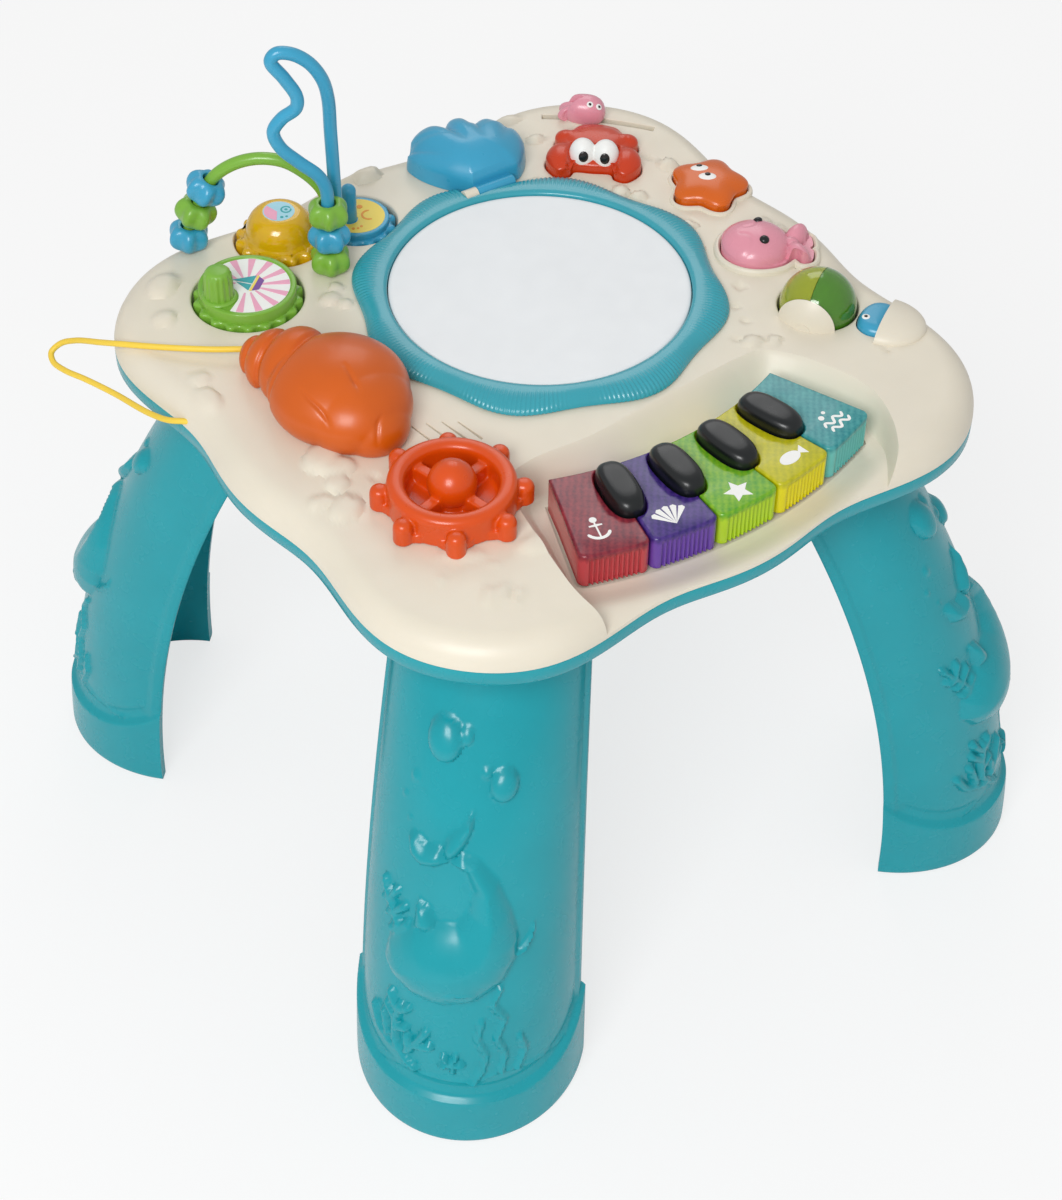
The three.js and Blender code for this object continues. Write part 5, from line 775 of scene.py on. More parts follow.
# Foot and brow of the walls of the piano's tray, by radius and degrees on the fan
foot_line = [(300, -20.6), (285, -20.9), (262, -21.6), (240, -22.2), (215, -23.0), (198, -23.9), (190, -23.6),
             (186.5, -21.5), (186, -12), (186, -4), (186, 3), (186, 10), (186, 17), (186.5, 20.5),
             (189, 22.2), (197, 22.9), (213, 23.2), (232, 23.1), (247, 22.9), (258, 21.6), (274, 15.9),
             (300, 8.5)]
brow_line = [(300, -19.6), (285.5, -21.3), (269, -22.8), (250.8, -23.9), (225, -25.4), (201, -26.9),
             (186, -27.0), (175, -22.8), (167.5, -12), (163.5, -4), (161.7, 3), (163, 10), (167, 17),
             (172.5, 22.5), (180, 26.4), (193, 27.8), (213, 27.9), (235, 26.9), (249, 25.2), (264, 21.9),
             (280, 17.0), (300, 11)]


def piano_basin():
    """The cut for the tray: walls that slope and roll into the deck, over a floor that rises to the lip."""
    pairs = smooth_open([(*fan(*a), *fan(*b)) for a, b in zip(foot_line, brow_line)], 150)
    rings = [[(p[0], p[1], JOINT - 10) for p in pairs]]
    for u in [0.0] + [0.03 + 0.97 * k / 16 for k in range(17)]:
        z = JOINT - 3.02 + 17.05 * u * u * (2.3 - 1.3 * u)
        rings.append([(p[0] + (p[2] - p[0]) * u, p[1] + (p[3] - p[1]) * u, z) for p in pairs])
    rings.append([(p[2], p[3], DECK + 20) for p in pairs])
    stations = [150, 200, 254, 257, 260, 263, 266, 269, 272, 276, 310]
    columns = []
    for k in range(41):
        column = []
        for r in stations:
            slope = min(1.0, max(0.0, (r - 254) / 20))
            column.append((*fan(r, -35 + 1.8 * k), JOINT - 3 + 5 * slope * slope * (3 - 2 * slope)))
        column += [(*fan(r, -35 + 1.8 * k), DECK + 16) for r in reversed(stations)]
        columns.append(column)
    return combined(scratch(*capped_solid(rings)), [capped_solid(columns)], "INTERSECT")


def key_pit():
    """The pit that the keys stand in, with round front corners."""
    corner = [(251.8, KEYS_HALF - 0.4), (250.3, KEYS_HALF + 0.02), (248, KEYS_HALF + 0.2)]
    pit = (fan_arc(252.5, 1 - KEYS_HALF, KEYS_HALF - 1, 30) + [fan(*at) for at in corner]
           + fan_arc(192.5, KEYS_HALF + 0.25, -KEYS_HALF - 0.25, 24)
           + [fan(r, -a) for r, a in reversed(corner)])
    return prism(pit, JOINT - 4.7, DECK)


def deck_openings():
    """Cuts for the gears, the ball, the buttons, the slider's slot, the speaker, the lid and the fish."""
    cuts = [flared_cut(circle(MODULE * teeth / 2 + 1.7, 96, x, y), JOINT + 2, DECK, 1.2)
            for x, y, teeth in gear_places]
    cuts.append(flared_cut(circle(21.6, 72, *BALL), JOINT - 4, DECK, 1.2))
    for outline, place in ((crab_line, CRAB), (star_line, STAR), (whale_line, WHALE)):
        cuts.append(flared_cut(laid(grown(outline, 0.6), *place), JOINT - 4, DECK, 1.0))
    slot = ([around(204.1, 35 + 18.5 * k / 24) for k in range(25)]
            + [around(199.9, 53.5 - 18.5 * k / 24) for k in range(25)])
    cuts.append(flared_cut(slot, JOINT - 4, DECK, 0.5))
    for at in ((-91.0, -25.5), (-83.6, -27.9), (-76.4, -31.2), (-69.8, -35.8)):
        strip = laid([(-9, -0.65), (9, -0.35), (9, 0.35), (-9, 0.65)], *at, 98)
        cuts.append(flared_cut(strip, DECK - 9, DECK, 0.3, 3))
    cuts.append(flared_cut(laid(lid_line(9), *LID, LID_TURN), DECK - 8, DECK, 1.5))
    for k in range(7):
        swung = [(x - FISH_PIVOT[0], y - FISH_PIVOT[1]) for x, y in grown(fish_line, 0.6)]
        swung = laid(laid(swung, *FISH_PIVOT, -2 * k), *FISH, FISH_TURN)
        cuts.append(prism(swung, JOINT - 4, DECK + 3))
    return cuts


def deck_rims():
    """Rims beside the whale and the star, posts for the gears and the wheel, and what stands by the toys."""
    rims = []
    for outline, x, y, turn, width, high in ((whale_line, *WHALE, 4.0, 3.0), (star_line, *STAR, 3.0, 1.6)):
        rings = []
        for out, z in ((0.6, DECK - 2), (width, DECK - 2), (width, DECK), (width * 0.9, DECK + high * 0.6),
                       (width * 0.65, DECK + high * 0.93), (width * 0.4, DECK + high),
                       (1.2, DECK + high * 0.85), (0.6, DECK + high * 0.5)):
            rings.append(placed(level(grown(outline, out), z), x, y, 0, turn))
        rims.append(loop_solid(rings))
    rims += [lathe([(3, JOINT + 1), (3, DECK - 0.6), (2.6, DECK - 0.3)], 32, x, y) for x, y, _ in gear_places]
    rims.append(lathe([(6, DECK - 2), (6, DECK + 7.4), (5.4, DECK + 8)], 40, *WHEEL))
    return rims + [ball_cover(), fish_mound(), lid_ear()]


def make_top():
    """The cream top: one moulded deck with a rounded edge, pockets, holes and sea-bed relief."""
    top = combined(deck_skin(), piano_floor(), "UNION")
    combined(top, [piano_basin(), key_pit()] + deck_openings(), "DIFFERENCE")
    combined(top, deck_rims(), "UNION")
    finished(top, "deck_top", 32, cream_abs, "table", "tabletop_shell", "cream_shell")


# Places and outlines of the toys
crab_half = [(0, -0.5), (0.4, -0.5), (0.52, -0.7), (0.78, -0.75), (1.04, -0.4), (0.98, -0.02), (0.8, 0.14),
             (0.92, 0.42), (0.84, 0.66), (0.6, 0.7), (0.4, 0.92), (0, 1)]
crab_few = crab_half + [(-x, y) for x, y in crab_half[-2:0:-1]]
crab_line = [(25.5 * x, 25.5 * y) for x, y in smooth_closed(crab_few, 132)]
star_line = [around(22 * (0.87 + 0.13 * math.cos(math.radians(5 * (3 * k - 37)))), 3 * k) for k in range(120)]
whale_half = [(-1, 0), (-0.93, -0.38), (-0.68, -0.68), (-0.3, -0.85), (0.15, -0.85), (0.55, -0.7),
              (0.88, -0.4), (1.08, -0.6), (1.32, -0.5), (1.38, -0.15), (1.3, 0)]
whale_few = whale_half + [(x, -y) for x, y in whale_half[-2:0:-1]]
whale_line = [(21 * x, 21 * y) for x, y in smooth_closed(whale_few, 120)]
fish_few = [(-1, -0.12), (1, -0.12), (1.03, 0.3), (0.85, 0.7), (0.4, 0.98), (-0.2, 1.06), (-0.75, 0.9),
            (-1.03, 0.45)]
fish_line = [(13 * x, 13 * y) for x, y in flat_curve(fish_few[1:] + fish_few[:1], 60)]
lid_rim = [(18, 0.34), (30, 0.6), (42, 0.79), (48, 0.86), (54, 0.87), (60, 0.905), (67, 0.91), (72, 0.89),
           (78, 0.97), (85, 0.98), (92, 0.9), (97, 1), (104, 1.01), (111, 0.98), (115, 0.93), (122, 0.9),
           (129, 0.74), (136, 0.5)]


def lid_line(inset):
    """The lid's scalloped outline, moved inwards."""
    few = [(LID_TIP[0] + x, LID_TIP[1] + y) for x, y in (around(LID_REACH * r, a) for a, r in lid_rim)]
    line = flat_curve([(12, 3.8)] + few + [(-12, 3.8)], 140)
    return grown(line, -inset) if inset else line


MODULE = 3.15
GREEN_TEETH, YELLOW_TEETH, BLUE_TEETH = 18, 15, 13
YELLOW_WAY, BLUE_WAY = 38.5, -14   # degrees from the green gear to the yellow one, and on to the blue one


def meshed(at, teeth, more, degrees):
    """The centre of a gear that meshes with another one."""
    x, y = around(MODULE * (teeth + more) / 2, degrees)
    return at[0] + x, at[1] + y


green_at = (-104.0, 119.5)
yellow_at = meshed(green_at, GREEN_TEETH, YELLOW_TEETH, YELLOW_WAY)
blue_at = meshed(yellow_at, YELLOW_TEETH, BLUE_TEETH, BLUE_WAY)
gear_places = [(*green_at, GREEN_TEETH), (*yellow_at, YELLOW_TEETH), (*blue_at, BLUE_TEETH)]


# Tray under the deck
def make_tray():
    """Teal tray: the lip that shows all round, and the belly that holds the works."""
    lip = JOINT - 10
    rings = [table_ring(278.8, 34), table_ring(278.8, 30), table_ring(279.6, 28.2), table_ring(281.8, 27),
             table_ring(lip - 1.2, 21.3), table_ring(lip, 20), table_ring(lip, 2.6),
             table_ring(lip + 0.7, 1.0), table_ring(lip + 2.2, 0.1), table_ring(JOINT - 1.1, 0),
             table_ring(JOINT - 0.5, 0.2), table_ring(JOINT - 0.3, 0.7), table_ring(JOINT - 0.3, 2.4),
             table_ring(JOINT - 1, 2.6), table_ring(lip + 2.6, 2.8), table_ring(lip + 2.6, 23.6),
             table_ring(281.4, 29)]
    cuts = []
    for x, y in ((-143, -100), (-147, 97), (103, 147), (140, -118)):
        hole = scratch(*flared_cut(circle(3.6, 24, x, -y), -283.0, -278.8, 0.4, 3))
        hole.matrix_world = Matrix.Rotation(math.pi, 4, "X")
        cuts.append(hole)
    cuts += [box((-45.6, 17.6), (-33.5, 23.5), (270, 279.9)), box((54.7, 69.3), (-22.8, -17.2), (270, 290))]
    tray = combined(scratch(*rings_solid(rings)), cuts, "DIFFERENCE")
    finished(tray, "teal_tray", 35, teal_pp, "table", "base_tray", "teal_shell")


# Legs
def leg_point(height, degrees, offset):
    """A point on the skin of a leg, moved outwards."""
    share = max(0.0, height) / JOINT
    edge = 212.7 - 94.2 * share ** 2.08
    half_width, depth = 58 - 12 * share ** 1.6, 66 - 18 * share ** 1.2
    out, side = around(1, degrees)
    return edge + (depth + offset) * out, (half_width + offset) * side, height


# Outlines on the unrolled leg: degrees round it (about a millimetre each) and height
whale_body = [(-6, 96), (-22, 97), (-36, 103), (-43, 112), (-40, 124), (-32, 133), (-24, 140), (-12, 144),
              (0, 146), (5, 153), (7, 164), (3, 173), (-8, 178), (0, 183), (9, 180), (20, 168), (28, 152),
              (33, 136), (32, 124), (26, 112), (12, 101)]
whale_fin = [(-24, 138), (-23, 153), (-16, 151), (-11, 143), (-14, 138)]
fluke_left = [(-6, 178), (-14, 173), (-22, 171), (-30, 175), (-32, 184), (-27, 186), (-20, 183), (-12, 184)]
fluke_right = [(-8, 178), (-11, 184), (-8, 190), (-4, 194), (0, 197), (4, 206), (5, 196), (2, 188), (-2, 182)]
side_fin = [(27, 123), (34, 128), (40, 134), (43, 143), (42, 132), (37, 124)]
weed = [((-47, 150), (-41, 142), (-35, 134), (-33, 122)), ((-41, 142), (-46, 141)), ((-41, 143), (-37, 150)),
        ((-37, 137), (-42, 135)), ((-37, 138), (-31, 144)), ((-34, 129), (-39, 128)),
        ((-34, 130), (-28, 136)), ((-33, 124), (-28, 128))]
coral = [((-30, 84), (-33, 72), (-33, 60), (-27, 51), (-20, 47)),
         ((-50, 68), (-45, 59), (-36, 55), (-31, 54)), ((-41, 72), (-38, 60)), ((-33, 74), (-39, 80)),
         ((-33, 68), (-26, 72)), ((-14, 75), (-19, 66), (-25, 57)), ((-18, 64), (-12, 66)),
         ((-25, 67), (-24, 58)), ((-33, 82), (-37, 88)), ((-29, 82), (-25, 86))]
fronds = [((24, 106), (20, 97), (27, 86), (23, 74), (28, 62), (26, 50)),
          ((15, 86), (13, 75), (18, 63), (16, 52), (11, 44)), ((36, 70), (39, 60), (35, 49))]
sand_line = [(-72, 36), (-56, 33), (-40, 38), (-21, 44), (-6, 45), (12, 44), (26, 49), (42, 46), (62, 42),
             (84, 46)]


def leg_relief(a, z):
    """How far the leg's skin stands out, in millimetres."""
    rise = 0.0
    if 90 < z < 210 and -50 < a < 50:
        body = inside(a, z, whale_body)
        if body > -1:
            rise = max(rise, domed(body, 26, 12.0, 0.75))
        for outline, edge, high in ((whale_fin, 6, 6.5), (fluke_left, 9, 6.5), (fluke_right, 7, 6.0),
                                    (side_fin, 5, 4.0)):
            rise = max(rise, domed(inside(a, z, outline), edge, high, 0.65))
        eye = math.hypot((a - 4) / 6.5, (z - 109) / 3.6)
        if eye < 1.3:
            rise += 0.9 * max(0.0, 1 - abs(eye - 0.85) / 0.4)
    for x, y, r, high in ((-15, 235, 10.5, 6.5), (-3, 238, 4.5, 2.6), (20, 216, 8.0, 5.0),
                          (10, 222, 3.0, 1.6), (-38, 200, 1.6, 1.0), (-32, 211, 2.6, 1.0),
                          (-33, 190, 1.4, 1.0)):
        rise = max(rise, domed(r - math.hypot(a - x, z - y), r * 0.9, high))
    if z < 155 and a < -22:
        for line in weed:
            rise = max(rise, domed(2.2 - line_distance(a, z, line), 2.0, 3.4))
    if 40 < z < 92 and a < -8:
        for line in coral:
            rise = max(rise, domed(2.4 - line_distance(a, z, line), 2.0, 3.4))
    if 40 < z < 110 and a > 8:
        for line in fronds:
            rise = max(rise, domed(1.9 - line_distance(a, z, line), 1.8, 2.4))
    dist = math.hypot(a, z - 58)
    if dist < 9:
        angle = math.atan2(z - 58, a) * 5 + 0.6
        rise = max(rise, domed(5.2 + 2.6 * math.cos(angle) - dist, 3.4, 3.4))
    return rise


def make_leg():
    """One blow-moulded leg: a half shell with a sea scene raised on it and a foot band."""
    heights = [0, 1.0, 2.0]
    z = 4.0
    while z < 276:
        heights.append(z)
        z += 1.3
    heights += [277.2, 278.2]
    degrees = [-90, -89.2, -88.2, -86.8, -85.4, -84] + [-83 + 1.3 * k for k in range(128)]
    degrees += [84, 85.4, 86.8, 88.2, 89.2, 90]
    rings = []
    for z in heights:
        outer, inner = [], []
        for a in degrees:
            top = 32 + 24 * abs(a / 90) ** 4
            band = max(0.0, min(1.0, (top + 2.2 - z) / 3.4))
            band = band * band * (3 - 2 * band)
            foot = 1.2 * (1 - math.sqrt(max(0.0, 1 - (1 - min(1, z / 2)) ** 2)))
            ridge = 1.7 * max(0.0, min(1.0, (abs(a) - 82.6) / 1.8)) * (1 if abs(a) < 89.5 else 0.7)
            dent = 0.9 * math.exp(-((z - top - 7) / 2.6) ** 2) * (abs(a) < 80)
            sand = 0.9 * max(0.0, min(1.0, 1 - line_distance(a, z, sand_line) / 1.6)) if z < 70 else 0.0
            rise = leg_relief(a, z) if z > top + 2 else 0.0
            out = max(4.0 * band - foot, ridge, rise + sand * (z > top + 2))
            outer.append(leg_point(z, a, out - dent * (rise == 0)))
            inner.insert(0, leg_point(z, a, -3.0))
        rings.append(outer + inner)
    cap = [leg_point(278.4, a, -1.5)[:2] for a in range(-90, 91, 5)]
    plug = [leg_point(278.4, a, -9)[:2] for a in range(-90, 91, 6)]
    plug[0], plug[-1] = (plug[0][0] + 9, plug[0][1]), (plug[-1][0] + 9, plug[-1][1])
    solid = combined(scratch(*capped_solid(rings)), [prism(cap, 275.5, 278.4), prism(plug, 276, 285.4)],
                     "UNION")
    return smoothed(solid, 42)


# The top, the tray and four legs, turned alike
make_top()
make_tray()
leg = make_leg()
for k, name in enumerate(("leg_back_right", "leg_back_left", "leg_front_left", "leg_front_right")):
    one = leg if k == 3 else leg.copy()
    if k != 3:
        one.data = leg.data.copy()
        bpy.context.scene.collection.objects.link(one)
    one.data.transform(Matrix.Rotation(math.radians(45 + 90 * k), 4, "Z"))
    one.name = "moulded_" + name
    dress(one, teal_pp, "table", name, "teal_shell")

# Drum
DRUM_COLUMNS, DRUM_RIDGES = 1280, 256
# Radius, height above the deck, and how far the rim's lobes reach there
drum_profile = [(75.9, -6, 0), (84.7, -6, 0), (84.7, 0.3, 0), (97.2, 0.3, 1), (98, 0.9, 1), (97.6, 2.2, 0.97),
                (96.4, 3.6, 0.9), (94.4, 4.9, 0.75), (92, 5.8, 0.6), (89.4, 6.3, 0.4), (86.8, 6.5, 0.2),
                (84, 6.5, 0.05), (82.2, 6.2, 0), (81.2, 5.6, 0), (80.9, 4.9, 0), (80.9, -3, 0), (75.9, -3, 0)]


def make_drum():
    """The lobed teal rim with its fine ridges, notched for the lid's barrel, and the white disc."""
    rings = []
    for i in range(DRUM_COLUMNS):
        degrees = 360 * i / DRUM_COLUMNS
        lobe = 3 * math.cos(math.radians(8 * degrees))
        ribs = 0.0
        for middle in range(-135, 181, 45):
            near = abs((degrees - middle + 180) % 360 - 180)
            ribs = max(ribs, max(0.0, 1 - (near / 19) ** 2))
        ridge = 0.6 * min(1.0, 1.4 * ribs) * (0.5 + 0.5 * math.cos(math.radians(degrees * DRUM_RIDGES)))
        ring = []
        for n, (r, h, share) in enumerate(drum_profile):
            x, y = around(r + share * lobe, degrees)
            ring.append((DRUM[0] + x, DRUM[1] + y, DECK + h + (ridge if 4 <= n <= 9 else 0.0)))
        rings.append(ring)
    rim = scratch(*loop_solid(rings))
    notch = laid(rectangle((-20.5, 12.6), (-4.4, 20)), *LID, LID_TURN)
    combined(rim, [prism(notch, DECK, DECK + 14)], "DIFFERENCE")
    finished(rim, "drum_rim", 50, ring_abs, "table", "drum_ring", "ring_teal")
    pad = [(AXIS, 1.8), (80.3, 1.8), (80.4, 2.4), (80.4, 3.9), (80.1, 4.4), (79.4, 4.75)]
    pad += [(r, 4.8) for r in (78, 74, 60, 40, 20, AXIS)]
    piece("drum_pad_disc", *lathe(pad, 160, *DRUM, DECK), pad_film, "drum", "drum_pad", "pad_white")


make_drum()


# Steering wheel
def make_wheel():
    """A rim with eight knobs on webs, four spokes over a thin dish, and a round hub, melted together."""
    rim = [(23.2, 0.4), (31.6, 0.4), (32, 1), (32, 13.6), (31.4, 15.4), (29.8, 16.7), (27.5, 17),
           (25.2, 16.7), (23.6, 15.4), (23, 13.6), (23, 1)]
    knob = [(AXIS, 0.4), (4.9, 0.4), (5, 0.8), (5, 9.4), (4.6, 11), (3.6, 12.3), (2.2, 12.9), (AXIS, 13)]
    web = [(28, -8.5), (31.3, -8.5), (34, -5.2), (36.5, -4.2), (36.5, 4.2), (34, 5.2), (31.3, 8.5), (28, 8.5)]
    dish = [(AXIS, 0.4), (24, 0.4), (24, 5.6), (21, 3.6), (12, 3), (AXIS, 3)]
    parts = [loop_solid([level(circle(r, 120, *WHEEL), DECK + h) for r, h in rim])]
    for k in range(8):
        at = WHEEL_TURN + 45 * k
        x, y = around(35.2, at)
        parts.append(lathe(knob, 28, WHEEL[0] + x, WHEEL[1] + y, DECK))
        parts.append(prism(laid(web, *WHEEL, at), DECK + 0.4, DECK + 5.5))
    for k in range(4):
        spoke = laid(rectangle((5, 26), (-3, 3)), *WHEEL, WHEEL_TURN + 90 * k)
        parts.append(prism(spoke, DECK + 2.9, DECK + 11.6))
    parts += [lathe(rod(9.8, 0.4, 14), 48, *WHEEL, DECK), lathe(dish, 64, *WHEEL, DECK),
              ellipsoid(*WHEEL, DECK + 13.4, 12.4, 12.4, 12.4, 0, 48, 28)]
    wheel = fused("wheel_moulding", parts, 0.62, 5, red_abs, None, floor=DECK + 0.35)
    hole = [(6.35, -2), (6.35, 8.35), (1.9, 8.6), (1.9, 10.9), (AXIS, 10.9)]
    combined(wheel, [lathe(hole, 40, *WHEEL, DECK)], "DIFFERENCE")
    wheel.data.set_sharp_from_angle(angle=math.radians(50))
    dress(wheel, red_abs, "wheel", "steering_wheel", "red_orange")


make_wheel()


# Gears
def gear_line(teeth, phase):
    """A gear's outline: round teeth on its pitch circle."""
    line = []
    steps = teeth * 12
    for k in range(steps):
        t = 2 * math.pi * k / steps
        wave = math.cos(teeth * t - phase)
        out = MODULE * teeth / 2 - 0.3 + 1.3 * math.copysign(abs(wave) ** 0.8, wave)
        line.append(around(out, math.degrees(t)))
    return line


def soft_prism(outline, low, high, edge, steps):
    """A prism with a rounded upper edge."""
    rings = [level(outline, low), level(outline, high - edge)]
    for k in range(1, steps + 1):
        turn = math.pi / 2 * k / steps
        rings.append(level(grown(outline, -edge * (1 - math.cos(turn))), high - edge + edge * math.sin(turn)))
    return capped_solid(rings)


def prints(name, shapes, z, finish, body, x, y, turn=0.0):
    """Printed motifs: thin flat shapes just above a surface, each a little over the one before."""
    solids = [prism(laid(shape, x, y, turn), z - 0.05, z + 0.14 + 0.004 * k)
              for k, shape in enumerate(shapes)]
    piece(name, *joined(solids), finish, body)


def disc(radius, x=0.0, y=0.0, count=40):
    return circle(radius, count, x, y)


def band(points, width):
    """An outline round an open line, for drawn strokes."""
    left, right = [], []
    for i, p in enumerate(points):
        a, b = points[max(i - 1, 0)], points[min(i + 1, len(points) - 1)]
        way = Vector((b[0] - a[0], b[1] - a[1])).normalized()
        w = width / 2 * (0.55 if i in (0, len(points) - 1) else 1)
        left.append((p[0] - way.y * w, p[1] + way.x * w))
        right.insert(0, (p[0] + way.y * w, p[1] - way.x * w))
    return left + right


def make_gear(name, at, teeth, phase, high, edge, steps, added, finish, node, slot):
    """A gear with what stands on it, and a bore for its post."""
    outline = gear_line(teeth, phase)
    gear = scratch(*put(soft_prism(outline, JOINT + 2.3, JOINT + high, edge, steps), *at, z=0.0))
    combined(gear, added, "UNION")
    combined(gear, [lathe([(3.3, -1), (3.3, 14.2), (AXIS, 14.2)], 32, *at, JOINT)], "DIFFERENCE")
    finished(gear, name, 34, finish, node, node, slot)


# Each gear's teeth meet the gaps of its neighbour along the line between their centres
phase_green = math.radians(GREEN_TEETH * YELLOW_WAY)
phase_yellow = math.radians(YELLOW_TEETH * (YELLOW_WAY + 180) + 180)
phase_blue = (math.radians(BLUE_TEETH * (BLUE_WAY + 180) + 180) + math.radians(YELLOW_TEETH * BLUE_WAY)
              - phase_yellow)
KNOB_OFFSET, PEG_OFFSET = -17, -5


def make_green_gear():
    """The largest gear: a disc with a ribbed handle, and a label of pink rays and a plain boat."""
    gx, gy = green_at
    plate = rounded_profile([(AXIS, 10), (26, 10), (26, 21.5), (23.4, 21.5), (22.9, 20.8), (AXIS, 20.8)], 1.0)
    flange = [(AXIS, 19), (9.6, 19), (9.6, 21.6), (9.0, 22.3), (8.2, 22.6), (AXIS, 22.6)]
    ribs = []
    for h, share in ((20, 1), (34.6, 0.93), (36.6, 0.9), (37.9, 0.82), (38.7, 0.7), (39, 0.55)):
        line = []
        for d in range(0, 360, 3):
            rib = 0.3 * math.cos(math.radians(14 * d)) * (h < 37)
            line.append(around((7.75 + rib) * share, d))
        ribs.append([(gx + KNOB_OFFSET + a, gy + b, JOINT + h) for a, b in line])
    added = [lathe(plate, 96, gx, gy, JOINT), lathe(flange, 48, gx + KNOB_OFFSET, gy, JOINT),
             rings_solid(ribs)]
    make_gear("gear_with_handle", green_at, GREEN_TEETH, phase_green, 15, 2.0, 6, added, green_abs,
              "green_gear", "leaf_green")
    label = [around(22.7, -145 + 290 * k / 96) for k in range(97)]
    label += [(KNOB_OFFSET + a, b) for a, b in (around(10.1, 62 - 124 * k / 24) for k in range(25))]
    rays = []
    for k in range(11):
        at = -132 + 26.2 * k
        ray = [around(6.5, at - 4)] + [around(22.5, at - 5 + 2 * j) for j in range(6)] + [around(6.5, at + 4)]
        rays.append([(max(x, -6.2) if abs(y) < 9 else x, y) for x, y in ray])
    hull = [(-4, -3), (9, -3), (6.4, -7.2), (-1.6, -7.2)]
    stripe = [(-4.4, -2.6), (9.4, -2.6), (8.7, -3.9), (-3.7, -3.9)]
    sails = [[(2, -2), (2, 9), (9, -2)], [(1, -2), (1, 6.5), (-4, -2)]]
    for name, shapes, z, ink, turn in (("", [label], 20.86, white_ink, 0),
                                       ("_rays", rays, 21.01, pink_ink, 0),
                                       ("_hull", [hull], 21.16, purple_ink, 38),
                                       ("_sail", sails, 21.16, teal_ink, 38),
                                       ("_stripe", [stripe], 21.3, sun_ink, 38)):
        prints("gear_label" + name, shapes, JOINT + z, ink, "green_gear", gx, gy, turn)


def make_yellow_gear():
    """The clear yellow gear with its high dome, and a round label."""
    dome = [(AXIS, 14), (20.4, 14), (20.2, 15.6), (19.5, 17.3), (18.7, 18.5)]
    dome += [(9.0 + 9.5 * a, 18.9 + 13.1 * b) for a, b in (around(1, 90 * k / 12) for k in range(13))]
    dome.append((AXIS, 32))
    make_gear("domed_gear", yellow_at, YELLOW_TEETH, phase_yellow, 17, 3.2, 7,
              [lathe(dome, 120, *yellow_at, JOINT)], yellow_clear, "yellow_gear", "clear_yellow")
    patch = [(-1, 0)] + [around(8, 110 + 10 * k) for k in range(13)]
    rings = [band(circle(2.6, 20, 4, -1), 0.9), disc(0.9, -1.5, -5.5), disc(0.7, 1, -6.4), disc(0.9, 4, -1)]
    for name, shapes, z, ink in (("", [disc(8.6)], 31.95, ice_ink), ("_patch", [patch], 32.1, pink_ink),
                                 ("_rings", rings, 32.1, teal_ink)):
        prints("dome_label" + name, shapes, JOINT + z, ink, "yellow_gear", *yellow_at)


def make_blue_gear():
    """The small blue gear with a peg, and a round label with a plain face."""
    bx, by = blue_at
    peg = [(AXIS, 15), (4.2, 15)]
    peg += [(4.2 * a, 35.6 + 4.3 * b) for a, b in (around(1, 10 * k) for k in range(10))]
    added = [lathe(rounded_profile(rod(17.5, 10, 17), 0.9), 96, bx, by, JOINT),
             lathe(peg, 40, bx + PEG_OFFSET, by, JOINT)]
    make_gear("gear_with_peg", blue_at, BLUE_TEETH, phase_blue, 13.5, 2.4, 6, added, blue_abs, "blue_gear",
              "sky_blue")
    label = scratch(*prism(circle(15.2, 90), JOINT + 16.95, JOINT + 17.14))
    label.data.transform(Matrix.Translation((bx * MM, by * MM, 0)))
    combined(label, [lathe([(4.7, 10), (4.7, 30), (AXIS, 30)], 40, bx + PEG_OFFSET, by, JOINT)], "DIFFERENCE")
    finished(label, "peg_gear_label", 38, sun_ink, "blue_gear")
    smile = band([(6 + a, -3 + b) for a, b in (around(4, 60 + 22 * k) for k in range(10))], 1.1)
    dots = [disc(0.9, -8, -8.5), disc(0.7, -5.6, -9.6), disc(0.8, -3.2, -9.2), disc(1.6, 5.6, 6)]
    prints("peg_gear_marks", [smile] + dots, JOINT + 17.16, orange_ink, "blue_gear", bx, by)


make_green_gear()
make_yellow_gear()
make_blue_gear()


# Bead wires and beads
BEAD_HALF = 6.9


def bead_solid():
    """A flower-like bead: six soft lobes round a wide bore, narrower at its ends."""
    outer = [(0, 0.58), (0.2, 0.68), (0.8, 0.77), (2.0, 0.87), (3.6, 0.95), (5.2, 0.99), (6.9, 1),
             (8.6, 0.99), (10.2, 0.95), (11.8, 0.87), (13.0, 0.77), (13.6, 0.68), (13.8, 0.58)]
    inner = [(13.75, 0.47), (13.4, 0.437), (12.4, 0.433), (1.4, 0.433), (0.4, 0.437), (0.05, 0.47)]
    rings = []
    for z, share in outer:
        wave = 1.15 * max(0.0, share - 0.55) / 0.45
        rings.append([(*around(10.3 * share + wave * math.cos(math.radians(6 * d)), d), z)
                      for d in range(0, 360, 4)])
    for z, share in inner:
        rings.append([(*around(10.4 * share, d), z) for d in range(0, 360, 4)])
    return loop_solid(rings)


def wire_line(shares, start, end, high, swing=(0, 0)):
    """A wire's route from shares of its swing to the side, of the way along and of its height."""
    return [(start[0] + swing[0] * s + (end[0] - start[0]) * along,
             start[1] + swing[1] * s + (end[1] - start[1]) * along, DECK + 0.3 + high * up)
            for s, along, up in shares]


